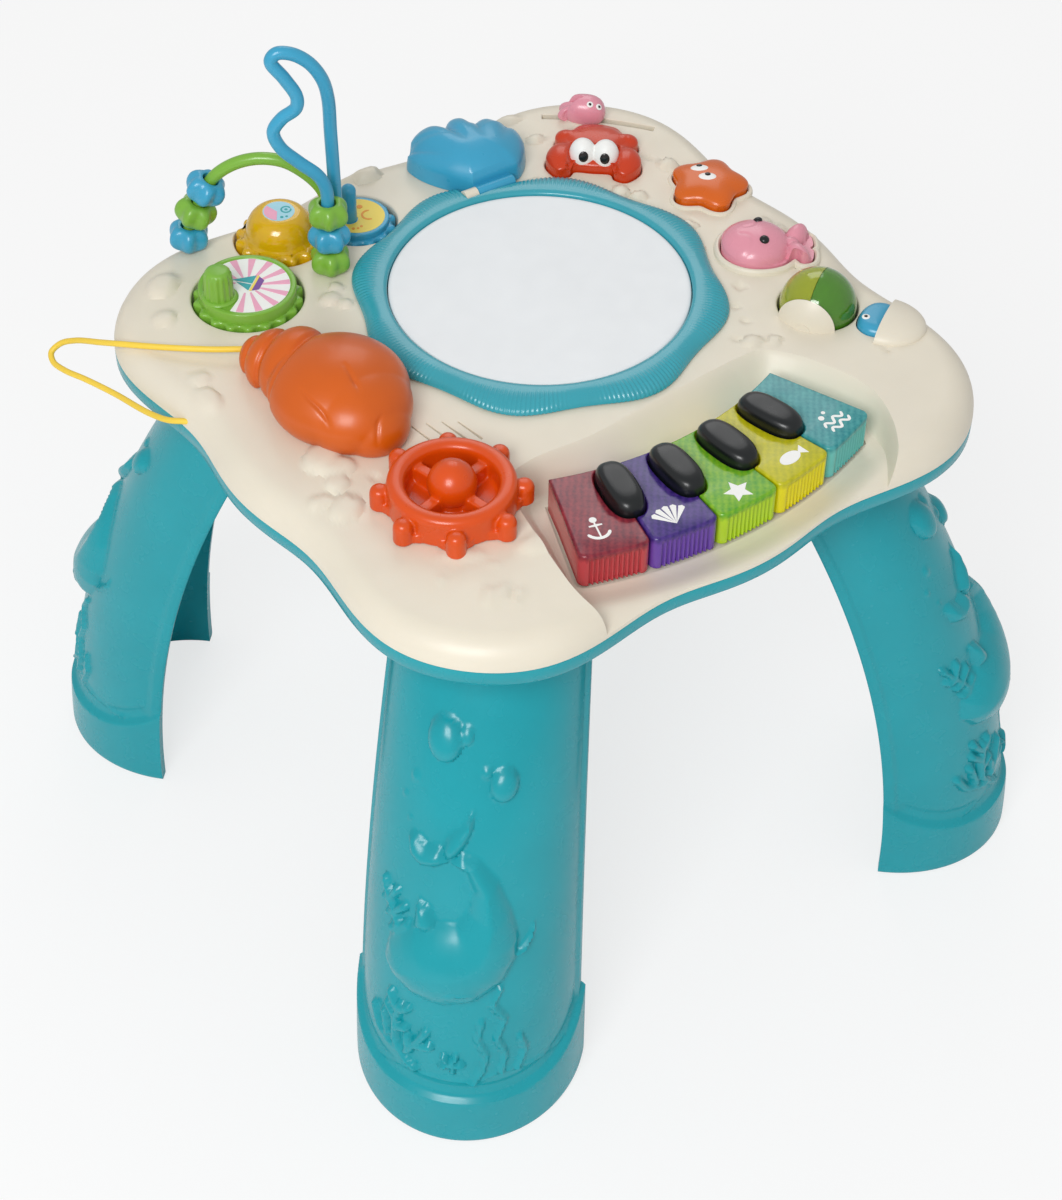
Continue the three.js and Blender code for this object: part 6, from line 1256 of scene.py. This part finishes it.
green_shares = [(0, along, up) for along, up in (
    (0, 0), (0, 0.12), (0.02, 0.25), (0.06, 0.38), (0.133, 0.62), (0.228, 0.81), (0.376, 0.945), (0.54, 1),
    (0.7, 0.975), (0.833, 0.87), (0.94, 0.72), (0.985, 0.58), (1, 0.35), (1, 0))]
green_points = wire_line(green_shares, (-107.5, 173.2), (-47, 127), 59)
blue_shares = [(0, 0, 0), (0, 0, 0.12), (0, 0, 0.3), (0.02, 0, 0.4), (0.16, 0, 0.46), (0.5, 0, 0.52),
               (0.85, 0, 0.59), (0.97, 0.02, 0.66), (0.8, 0.04, 0.72), (0.52, 0.06, 0.77), (0.5, 0.08, 0.82),
               (0.72, 0.1, 0.9), (0.96, 0.14, 0.97), (0.86, 0.2, 1), (0.6, 0.28, 0.995), (0.3, 0.38, 0.95),
               (0.08, 0.48, 0.87), (0, 0.57, 0.78), (0, 0.7, 0.6), (0, 0.86, 0.35), (0, 1, 0.12), (0, 1, 0)]
BEADS_FOOT = (-56, 113)
blue_points = wire_line(blue_shares, BEADS_FOOT, (-43.5, 124.5), 132.6, around(27, 143))
swept("arched_wire", green_points, 3.4, green_abs, "table", "green_wire", "leaf_green", 20, 120)
swept("tall_wire", blue_points, 3.5, blue_abs, "table", "blue_wire", "sky_blue", 20, 200)
bead_points, bead_faces = bead_solid()
arch = [Vector(p) for p in smooth_open(green_points, 400)]
run = [0.0]
for a, b in zip(arch, arch[1:]):
    run.append(run[-1] + (b - a).length)
for k, word in enumerate(("bottom", "middle", "top")):
    for side in ("left", "right"):
        leaf = (k == 1) == (side == "left")
        body = "%s_bead_%s" % (side, word)
        points = placed(bead_points, turn=30 * k)
        if side == "right":
            points = [(x + BEADS_FOOT[0], y + BEADS_FOOT[1], z + DECK + 0.5 + 15.1 * k) for x, y, z in points]
        else:
            reach = 0.9 + BEAD_HALF + 16.7 * k
            i = next(n for n, d in enumerate(run) if d >= reach)
            middle = arch[i - 1].lerp(arch[i], (reach - run[i - 1]) / (run[i] - run[i - 1]))
            lean = Vector((0, 0, 1)).rotation_difference((arch[i + 1] - arch[i - 2]).normalized())
            points = [tuple(middle + lean @ Vector((x, y, z - BEAD_HALF))) for x, y, z in points]
        piece("flower_" + body, points, bead_faces, green_abs if leaf else blue_abs, body, body,
              "leaf_green" if leaf else "sky_blue")


# Domed pieces
def puffed(outline, low, height, count, centre=(0.0, 0.0)):
    """A solid over an outline: straight sides, then a skin whose height is a function of place and share."""
    rings = [level(outline, low)]
    for k in range(count + 1):
        share = math.cos(math.pi / 2 * k / (count + 1))
        line = [(centre[0] + (x - centre[0]) * share, centre[1] + (y - centre[1]) * share)
                for x, y in outline]
        rings.append([(x, y, height(x, y, share)) for x, y in line])
    points, faces = rings_solid(rings)
    points[-1] = (*centre, height(*centre, 0.0))
    return points, faces


def lid_height(top, low):
    """Height of the lid's skin: a swell with grooves that run out from its tip."""
    def height(x, y, share):
        swell = math.sqrt(max(0.0, 1 - share ** 2.3))
        rise = low + (top - low) * (0.26 * min(1.0, (1 - share) * 40 + 0.1) + 0.74 * swell)
        dx, dy = x - LID_TIP[0], y - LID_TIP[1]
        at, r = math.degrees(math.atan2(dy, dx)), math.hypot(dx, dy) / LID_REACH
        for groove, deep in ((51, 3.4), (72, 4.2), (91.5, 5.0), (118, 4.4)):
            bend = groove + (1 - r) * (groove - 85) * 0.1
            near = abs(at - bend) * r * 1.06
            fade = min(1.0, max(0.0, (r - 0.42) / 0.4)) * min(1.0, swell * 3)
            rise -= deep * math.exp(-(near / 3.6) ** 1.4) * fade
        return max(rise, low)
    return height


def make_lid():
    """The hollow scallop lid with the barrel that turns on its pin."""
    lid = scratch(*puffed(lid_line(0), 0.3, lid_height(22.9, 0.6), 34, (0, 30.5)))
    combined(lid, [puffed(lid_line(2.4), -4, lid_height(20.0, -2), 20, (0, 30.5))], "DIFFERENCE")
    barrel = []
    for x, r in ((-12, 3.2), (-11.6, 3.7), (-11, 3.8), (10.6, 3.8), (11.4, 3.5), (11.9, 2.6), (12, 1.2)):
        barrel.append([(x, a, PIN_HEIGHT + b) for a, b in circle(r, 36)])
    combined(lid, [rings_solid(barrel), box((-12, 11.6), (0, 7.6), (2.0, 6.4))], "UNION")
    combined(lid, [bar(1.8, (-14, 10.3), 18, PIN_HEIGHT)], "DIFFERENCE")
    finished(set_on_deck(lid, *LID, LID_TURN), "scallop_lid", 40, blue_abs, "lid", "shell_lid", "sky_blue")


make_lid()


def eye_on(name, host, body, seen, rx, ry, rise, finish, sink=0.3):
    """A raised oval on the skin of another piece, where the photograph shows it."""
    met, at, normal, _ = host.ray_cast(viewpoint, sight(*seen))
    if not met:
        raise ValueError(name + " is not over its piece")
    lean = Vector((0, 0, 1)).rotation_difference(normal)
    points, faces = ellipsoid(0, 0, 0, rx, ry, rise, VIEW_TURN, 28, 14)
    points = [tuple((lean @ Vector(p)) + at / MM - normal * sink) for p in points]
    return piece(name, points, faces, finish, body)


# Crab button, with the foot of all three buttons' caps, from the top of the deck
CAP_FOOT = -4.4


def crab_height(x, y, share):
    """Height of the crab's skin: a body with a brow, claws and legs."""
    body = 4.6 + 4.2 * math.sqrt(max(0.0, 1 - share ** 4))
    body -= 1.4 * max(0.0, min(1.0, (-y - 2) / 8)) * (abs(x) < 14)
    for cx, cy, rx, ry, high in ((-20, -7, 7, 10, 2.0), (20, -7, 7, 10, 2.0), (0, 10, 17, 11, 1.6),
                                 (-19, 12, 5, 4, 1.0), (19, 12, 5, 4, 1.0)):
        d = math.hypot((x - cx) / rx, (y - cy) / ry)
        body += high * max(0.0, 1 - d * d) ** 0.7 if d < 1 else 0
    for cx in (-12.4, 12.4):
        body -= 1.5 * math.exp(-((x - cx) / 1.3) ** 2) * (y < 3)
    return body


piece("crab_cap", *put(puffed(crab_line, CAP_FOOT, crab_height, 30, (0, 5.5)), *CRAB), crab_abs,
      "crab_button", "crab_button", "crab_red")
eyes = [put(ellipsoid(x, -5.4, 7.3, 7.6, 7.2, 9.4, 0, 40, 20), *CRAB) for x in (-6.4, 6.4)]
white_eyes = fused("crab_eyes", eyes, 0.4, 4, white_ink, "crab_button")
for seen in CRAB_PUPILS:
    eye_on("crab_pupil", white_eyes, "crab_button", seen, 2.7, 3.3, 0.8, black_ink, 0.2)


# Star button
def star_skin():
    """A puffed star: crisp arms at its foot that soften to a round crown."""
    rings = [level(star_line, CAP_FOOT), level(star_line, 4.2)]
    for k in range(1, 23):
        share = math.cos(math.pi / 2 * k / 23)
        round_off = min(0.8, 0.22 + (1 - share) ** 0.8)
        ring = []
        for x, y in star_line:
            r = math.hypot(x, y)
            reach = share * (r + (20.6 - r) * round_off) / r * 1.03
            ring.append((x * reach, y * reach, 4.2 + 6.4 * math.sqrt(1 - share ** 2.2)))
        rings.append(ring)
    return rings_solid(rings)


star = piece("star_cap", *put(star_skin(), *STAR), star_abs, "star_button", "star_button", "star_orange")
for white, dark in STAR_EYES:
    eye_on("star_eye", star, "star_button", white, 5.0, 3.4, 0.8, white_ink)
    eye_on("star_pupil", star, "star_button", dark, 1.9, 1.9, 1.1, black_ink, 0.1)


# Whale button
def whale_height(x, y, share):
    """Height of the whale's skin: a round body and the two flukes of its tail."""
    body = 3.0
    d = math.hypot((x + 3) / 19.5, y / 18.2)
    if d < 1:
        body = max(body, 3.0 + 11.6 * math.sqrt(1 - d ** 2.2))
    for cx, cy, rx, ry, turn, high in ((20, 8.5, 9.5, 5.6, 62, 8.2), (20, -8.5, 9.5, 5.6, -62, 8.2),
                                       (16, 0, 6, 5, 0, 6.6)):
        c, s = math.cos(math.radians(turn)), math.sin(math.radians(turn))
        u, v = ((x - cx) * c + (y - cy) * s) / rx, (-(x - cx) * s + (y - cy) * c) / ry
        e = math.hypot(u, v)
        if e < 1:
            body = max(body, 2.6 + high * math.sqrt(1 - e * e))
    for cx, cy, reach, low in ((-12, -9, 7, 0.5), (-9, 10, 7, 0.5)):
        ring = abs(math.hypot(x - cx, y - cy) - reach)
        body -= low * math.exp(-(ring / 0.6) ** 2) * (x > cx)
    return body


whale = piece("whale_cap", *put(puffed(whale_line, CAP_FOOT, whale_height, 34), *WHALE), pink_abs,
              "whale_button", "whale_button", "pink", 60)
for seen in WHALE_EYES:
    eye_on("whale_eye", whale, "whale_button", seen, 2.7, 2.7, 2.0, black_abs, 0.2)

# Slider
SLIDE_TURN = 46.7
half = [(1, 0), (0.88, 0.4), (0.5, 0.62), (0, 0.66), (-0.5, 0.58), (-0.85, 0.34), (-1.1, 0.42), (-1.3, 0.3),
        (-1.2, 0)]
few = half + [(x, -y) for x, y in half[-2:0:-1]]
slide_line = [(12.5 * x, 12.5 * y) for x, y in smooth_closed(few, 96)]
# Height, and share of the outline
slide_skin = [(0.35, 0.82), (0.8, 0.88), (2.2, 0.96), (4.5, 1), (7, 0.985), (9.6, 0.92), (11.6, 0.82),
              (13.2, 0.67), (14.3, 0.48), (14.9, 0.24)]


def make_slider():
    """A puffed whale with a low tail, on a neck that runs in the slot."""
    rings = []
    for z, share in slide_skin:
        tails = [max(0.0, min(1.0, (-x - 9) / 3)) for x, _ in slide_line]
        rings.append([(x * share * (1 - 0.1 * tail), y * share, z * (1 - 0.35 * tail))
                      for (x, y), tail in zip(slide_line, tails)])
    points, faces = rings_solid(rings)
    points[-1] = (0, 0, 15)
    x, y = around(202, SLIDE_TURN)
    slider = scratch(*put((points, faces), x, y, SLIDE_TURN - 90))
    neck = [(AXIS, -6.2), (3.2, -6.2), (3.2, -3.6), (1.7, -3.6), (1.7, 3), (AXIS, 3)]
    combined(slider, [lathe(neck, 24, x, y, DECK)], "UNION")
    return finished(slider, "slider_whale", 40, pink_abs, "slider", "slider_figure", "pink")


slider = make_slider()
for seen in SLIDER_EYES:
    eye_on("slider_eye", slider, "slider", seen, 1.9, 1.9, 0.5, white_ink, 0.1)
    eye_on("slider_pupil", slider, "slider", seen, 0.95, 0.95, 0.9, black_ink, 0.0)

# Rolling ball and fish
def make_half_ball(side, word, finish, slot):
    """One clear hollow half, flat at its ends and bored for the axle."""
    away = [prism([(-30, -30 * side), (30, -30 * side), (30, 0.15 * side), (-30, 0.15 * side)], -30, 30)]
    away += [box((x, x + 20), (-30, 30), (-30, 30)) for x in (19.4, -39.4)]
    away += [sphere(18.4, 64), bar(2.3, (-30, 30), 24)]
    half = set_on_deck(combined(scratch(*sphere(20.6, 96)), away, "DIFFERENCE"), *BALL, AXLE_TURN)
    finished(half, "clear_half_" + word, 40, finish, "ball", "ball_half_" + word, slot)


make_half_ball(1, "yellow", lime_clear, "clear_lime")
make_half_ball(-1, "green", leaf_clear, "clear_green")


def make_fish():
    """The fish's plate and the arm with the ring that it swings on."""
    rings = []
    for z, share in ((-4.9, 1), (0, 1), (1.4, 0.975), (2.6, 0.92), (3.5, 0.84), (4.1, 0.74), (4.4, 0.6),
                     (4.5, 0.3)):
        rings.append([(x * share, 6.5 + (y - 6.5) * share, z) for x, y in fish_line])
    arm = prism([(-17, -8.9), (0, -1.3), (0, 6.5), (-17, -0.2)], -4.9, -2.9)
    fish = scratch(*capped_solid(rings))
    combined(fish, [lathe(rod(5.8, -4.9, -2.9), 40, *FISH_PIVOT), arm], "UNION")
    combined(fish, [lathe([(3.3, -8), (3.3, 3), (AXIS, 3)], 32, *FISH_PIVOT)], "DIFFERENCE")
    set_on_deck(fish, *FISH, FISH_TURN)
    return finished(fish, "fish_plate", 40, blue_abs, "fish", "fish_flap", "sky_blue")


fish = make_fish()
eye_on("fish_eye", fish, "fish", FISH_EYE, 2.2, 2.2, 0.45, white_ink, 0.1)
eye_on("fish_pupil", fish, "fish", FISH_EYE, 1.1, 1.1, 0.75, black_ink, 0.0)

# Shell handset and its cord
# Each lump: place along and across, half length and width, and height, as shares of the shell's
lumps = [(-0.03, 0.06, 0.84, 0.84, 0.98), (-0.66, 0.26, 0.42, 0.44, 0.66), (0.68, -0.05, 0.38, 0.53, 0.84),
         (1.0, -0.03, 0.28, 0.4, 0.7), (1.21, -0.03, 0.21, 0.25, 0.52), (-0.32, 0.16, 0.68, 0.7, 0.9)]
cord_route = [(-132.5, 77, 20), (-145, 86, 19.6), (-162, 102, 18), (-178, 121, 15), (-184, 136, 9),
              (-190, 154, 1), (-195, 163, -5), (-200, 164, -9), (-202, 159, -11), (-201, 148, -10),
              (-197, 134, -8), (-192, 110, -4), (-187, 84, -1), (-183, 70, 2), (-177, 62.5, 3.5),
              (-171, 57, 3.5)]
cord_route = [(x, y, JOINT + z) for x, y, z in cord_route]
CONCH_HEIGHT = 36
# Creases pressed into the shell, by points of the deck's own frame, and how deep each one is
creases = [[(-138.8, 10.2, 345.3), (-138.8, 3.6, 343.7), (-137.2, -4.2, 341), (-136.3, -10, 336.4),
            (-135.1, -13.4, 330), (-133.8, -13.3, 323.8)],
           [(-114.7, 7.8, 351.5), (-115.8, -0.4, 349.6), (-116.9, -7.2, 346.6), (-120.6, -14.9, 340.3),
            (-122.4, -18.7, 332.9), (-121.2, -16.6, 319.7)],
           [(-111.8, -20.9, 338.8), (-116.5, -24, 336.5), (-119.3, -27.2, 332), (-120.3, -28.8, 326.7)]]
crease_depths = (1.3, 1.3, 0.9)
WHORL_GROOVES = (0.55, 0.95, 1.24)


def conch_parts():
    """The shell's lumps and the collar that the cord starts from."""
    parts = []
    for along, side_way, long, wide, rise in lumps:
        lump = ellipsoid(CONCH_REACH * along, CONCH_REACH * side_way, 0.34 * CONCH_HEIGHT * rise,
                         CONCH_REACH * long, CONCH_REACH * wide, 0.66 * CONCH_HEIGHT * rise, 0, 72, 36)
        parts.append(put(lump, *CONCH, CONCH_TURN))
    tip, way = Vector(cord_route[0]), (Vector(cord_route[1]) - Vector(cord_route[0])).normalized()
    lean = Vector((0, 0, 1)).rotation_difference(way)
    points, faces = lathe([(AXIS, -8.3), (4.4, -8.3), (3.7, -3), (3.5, -1.0), (3.1, -0.35),
                           (AXIS, -0.35)], 32)
    return parts + [([tuple(tip + lean @ Vector(p)) for p in points], faces)]


def crease_push(place, lines):
    """How deep the grooves between the whorls and the creases are at a point of the shell."""
    dx, dy = place.x - CONCH[0], place.y - CONCH[1]
    along = (dx * math.cos(math.radians(CONCH_TURN)) + dy * math.sin(math.radians(CONCH_TURN))) / CONCH_REACH
    push = sum(1.1 * math.exp(-((along - groove) * CONCH_REACH / 1.3) ** 2) for groove in WHORL_GROOVES)
    for line, deep in zip(lines, crease_depths):
        if (line[20] - place).length > 34:
            continue
        near, k = min(((p - place).length, k) for k, p in enumerate(line))
        if near < 3.6:
            push += deep * math.sin(math.pi * (0.06 + 0.88 * k / 40)) * math.exp(-(near / 1.15) ** 2)
    return push


def make_conch():
    """The shell handset, melted from its lumps, with grooves and creases."""
    conch = fused("shell_handset", conch_parts(), 0.85, 5, conch_abs, None, floor=DECK + 0.35)
    lines = [[Vector(p) for p in smooth_open(crease, 40)] for crease in creases]
    depths = [crease_push(vertex.co / MM, lines) for vertex in conch.data.vertices]
    normals = [vertex.normal.copy() for vertex in conch.data.vertices]
    for vertex, push, normal in zip(conch.data.vertices, depths, normals):
        if push > 0.01:
            vertex.co -= normal * push * MM
    dress(conch, conch_abs, "handset", "conch_handset", "shell_orange")


make_conch()

route = [(x * MM, y * MM, z * MM) for x, y, z in smooth_open(cord_route, 300)]
CORD_RADIUS = 1.6
cord = swept("handset_lead", cord_route, CORD_RADIUS, cord_pvc, "table", "handset_cord", "cord_yellow",
             16, 300)
cord_length = sum((Vector(b) - Vector(a)).length for a, b in zip(route, route[1:]))
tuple(route[0])


# Piano keys
def black_line(growth):
    """The outline of a black key, an oblong with very round ends."""
    made = []
    for c, s in circle(1, 72):
        x, y = math.copysign(abs(c) ** 0.75, c), math.copysign(abs(s) ** 0.75, s)
        made.append(((9.2 + growth) * x, (18.6 + growth) * y))
    return made


FLUTES, FLUTE_STEPS = 11, 99


def key_outline(middle, flute):
    """One key seen from above: a slice of the fan whose front corners are round."""
    half = KEY_PITCH / 2
    back_gap = 0.45 / KEY_BACK * ARC_DEGREES
    front_gap = 0.45 / KEY_FRONT * ARC_DEGREES
    corner = 4.5 / KEY_FRONT * ARC_DEGREES
    line = [fan(KEY_BACK, middle - half + back_gap), fan(215, middle - half + back_gap * 0.94),
            fan(235, middle - half + front_gap)]
    bends = [math.radians(90 * k / 8) for k in range(9)]
    for turn in bends:
        inset = corner * (1 - math.cos(turn))
        line.append(fan(KEY_FRONT - 4 * (1 - math.sin(turn)), middle - half + front_gap + inset))
    wide = KEY_PITCH - 2 * front_gap - 2 * corner
    for k in range(1, FLUTE_STEPS):
        share = k / FLUTE_STEPS
        dip = flute * (0.5 - 0.5 * math.cos(2 * math.pi * FLUTES * share))
        line.append(fan(KEY_FRONT - dip, middle - wide / 2 + wide * share))
    for turn in reversed(bends):
        inset = corner * (1 - math.cos(turn))
        line.append(fan(KEY_FRONT - 4 * (1 - math.sin(turn)), middle + half - front_gap - inset))
    line += [fan(235, middle + half - front_gap), fan(215, middle + half - back_gap * 0.94),
             fan(KEY_BACK, middle + half - back_gap)]
    return line + [fan(KEY_BACK, middle + half * (1 - k / 6)) for k in range(1, 12)]


black_angles = [-12.9, -4.3, 4.3, 12.9]
motif_places = [(-63.3, -133.2), (-28.3, -145.3), (9.5, -150.9), (46.9, -146.9), (82.5, -138.6)]


def anchor_marks():
    return [band([(0, -6), (0, 5)], 1.6), band([(-3.4, 3), (0, 3), (3.4, 3)], 1.5),
            band([around(6, a) for a in range(-160, -10, 10)], 1.7), disc(1.9, 0, 7, 20)]


def fan_shell_marks():
    ribs = []
    for t in (-42, -21, 0, 21, 42):
        ends = [around(r, 90 - t + d) for r, d in ((12, 8), (12.8, 0), (12, -8))]
        ribs.append([(0, -6.5)] + [(x, y - 6) for x, y in ends])
    return ribs


def star_marks():
    return [[around(7.6 if k % 2 else 3.6, 90 + 36 * (k + 1)) for k in range(10)]]


def fish_marks():
    body = [(6.5 * math.cos(math.radians(a)) - 1, 3.8 * math.sin(math.radians(a))) for a in range(0, 360, 12)]
    return [body, [(4.6, 0), (9, 3.6), (9, -3.6)]]


def wave_marks():
    places = [k * 0.6 - 7.5 for k in range(26)]
    waves = [band([(x, y + 1.6 * math.sin(x * 0.9)) for x in places], 1.5) for y in (-3.5, 1)]
    return waves + [disc(1.6, -3, 6.4, 20), disc(1.1, 1.2, 8, 20)]


motifs = [anchor_marks, fan_shell_marks, star_marks, fish_marks, wave_marks]


def make_key(name, middle, finish, motif, motif_place):
    """A coloured key: fluted at its front, round at its upper edges, notched for the black keys."""
    plain, fluted = key_outline(middle, 0.0), key_outline(middle, 1.4)
    floor_level = []
    for x, y in fluted:
        r = math.hypot(x - FAN[0], y - FAN[1])
        floor_level.append((x, y, JOINT - 4.4 + 2.0 * min(1.0, max(0.0, (r - KEY_BACK) / 20))))
    rings = [floor_level, level(fluted, JOINT), level(fluted, JOINT + 12.6), level(plain, JOINT + 14.4),
             level(plain, JOINT + 15.6)]
    for j in range(1, 6):
        turn = math.radians(18 * j)
        rings.append(level(grown(plain, -1.4 * (1 - math.cos(turn))), JOINT + 15.6 + 1.4 * math.sin(turn)))
    cuts = []
    for angle in black_angles:
        if abs(angle - middle) < KEY_PITCH:
            notch = laid(black_line(0.8), *fan(BLACK_KEY_RADIUS, angle), angle)
            cuts.append(flared_cut(notch, JOINT - 8, JOINT + 17, 0.8, 3))
    key = combined(scratch(*capped_solid(rings)), cuts, "DIFFERENCE")
    finished(key, name + "_top", 40, finish, name, name, name)
    prints(name + "_mark", motif(), JOINT + 17.06, white_ink, name, *motif_place, middle)


# Height, and share of the outline
black_skin = [(-2.3, 1), (15, 1), (18, 0.995), (20.4, 0.975), (22.2, 0.92), (23.4, 0.84), (24.1, 0.73),
              (24.4, 0.6), (24.5, 0.4), (24.5, 0.15)]


def make_black_key(name, pebble, angle):
    """A black key like a wet pebble, on the peg that guides it."""
    x, y = fan(BLACK_KEY_RADIUS, angle)
    rings = [placed([(a * share, b * share, z) for a, b in black_line(0)], x, y, JOINT, angle)
             for z, share in black_skin]
    key = combined(scratch(*rings_solid(rings)), [lathe(rod(3, -7.6, -2), 24, x, y, JOINT)], "UNION")
    finished(key, pebble, 45, black_abs, name, name, "key_black")


# each key's material paints its glow colour towards the foot, as light that passes through the key
for k, (name, (colour, glow)) in enumerate(key_colours.items()):
    finish = tinted_key(name.split("_")[1] + "_tinted_abs_painted_foot_glow", colour, glow)
    make_key(name, (k - 2) * KEY_PITCH, finish, motifs[k], motif_places[k])
for k, angle in enumerate(black_angles):
    make_black_key("black_key_%d" % (k + 1), "pebble_key_%d" % (k + 1), angle)

# Works whose solids are right as they are
inner_finishes = {"wheel_screw": steel, "lid_pin": steel, "ball_axle": steel, "fish_screw": steel,
                  "speaker": cone_paper, "circuit_board": board_laminate, "battery_door": teal_pp,
                  "power_switch": black_abs}
inner_finishes.update({"battery_cell_%d" % k: cell_sleeve for k in (1, 2, 3)})
inner_finishes.update({"shell_screw_%d" % k: steel for k in (1, 2, 3, 4)})
for node, finish in inner_finishes.items():
    dress(bpy.data.objects[node], finish)

# Floor, light and camera
# White paper: flat and dull, lit from itself so that it goes white without losing the table's shadow
FLOOR_REACH = 9
floor_mesh = bpy.data.meshes.new("floor")
floor_mesh.from_pydata(level(rectangle((-FLOOR_REACH, FLOOR_REACH), (-FLOOR_REACH, FLOOR_REACH)), 0), [],
                       [(0, 1, 2, 3)])
floor = linked("floor", floor_mesh)
paper, tree, shader = new_material("white_paper_floor")
shader.inputs["Base Color"].default_value = linear("#f6f6f6")
shader.inputs["Roughness"].default_value = 0.9
shader.inputs["Specular IOR Level"].default_value = 0.1
floor_mesh.materials.append(paper)
camera_ray = add_node(tree, "ShaderNodeLightPath").outputs["Is Camera Ray"]
share = add_node(tree, "ShaderNodeMath", {"operation": "MULTIPLY", 1: 0.72}, {0: camera_ray})
glow = add_node(tree, "ShaderNodeEmission", {"Strength": 1.0})
mixed = add_node(tree, "ShaderNodeMixShader", None, {0: share.outputs["Value"], 1: shader.outputs["BSDF"],
                                                     2: glow.outputs["Emission"]})
tree.links.new(mixed.outputs["Shader"], tree.nodes["Material Output"].inputs["Surface"])
floor.location.z = -0.4 * MM

# A white room: soft light all round, and plain white where the camera looks past the floor
world = bpy.data.worlds.new("studio")
bpy.context.scene.world = world
world.use_nodes = True
tree = world.node_tree
light_path = add_node(tree, "ShaderNodeLightPath")
soft = tree.nodes["Background"]
soft.inputs["Color"].default_value = (1, 1, 1, 1)
soft.inputs["Strength"].default_value = 0.52
plain = add_node(tree, "ShaderNodeBackground", {"Strength": 1.0})
blend_sky = add_node(tree, "ShaderNodeMixShader", None, {1: soft.outputs[0], 2: plain.outputs[0]})
bright = add_node(tree, "ShaderNodeMath", {"operation": "MAXIMUM"},
                  {0: light_path.outputs["Is Camera Ray"], 1: light_path.outputs["Is Transmission Ray"]})
tree.links.new(bright.outputs["Value"], blend_sky.inputs[0])
tree.links.new(blend_sky.outputs[0], tree.nodes["World Output"].inputs["Surface"])


def softbox(name, at, towards, size, power):
    """A square soft lamp turned towards a point."""
    data = bpy.data.lights.new(name, "AREA")
    data.shape, data.size, data.size_y, data.energy = "RECTANGLE", size, size, power
    lamp = linked(name, data)
    lamp.location = at
    lamp.rotation_mode = "QUATERNION"
    lamp.rotation_quaternion = (Vector(towards) - Vector(at)).to_track_quat("-Z", "Y")


softbox("key_softbox", (-1.35, -1.0, 1.7), (0, 0, 0.2), 0.9, 27)
softbox("back_softbox", (0.9, 1.2, 1.5), (0, 0, 0.3), 0.9, 4)

lens = bpy.data.cameras.new("camera")
lens.sensor_width = 36
lens.lens = 80.27
lens.clip_start, lens.clip_end = 0.05, 60
camera = linked("camera", lens)
camera.matrix_world = Matrix((
    (right.x, up.x, back.x, viewpoint.x), (right.y, up.y, back.y, viewpoint.y),
    (right.z, up.z, back.z, viewpoint.z), (0, 0, 0, 1)))
bpy.context.scene.camera = camera
bpy.context.scene.view_settings.view_transform = "Standard"
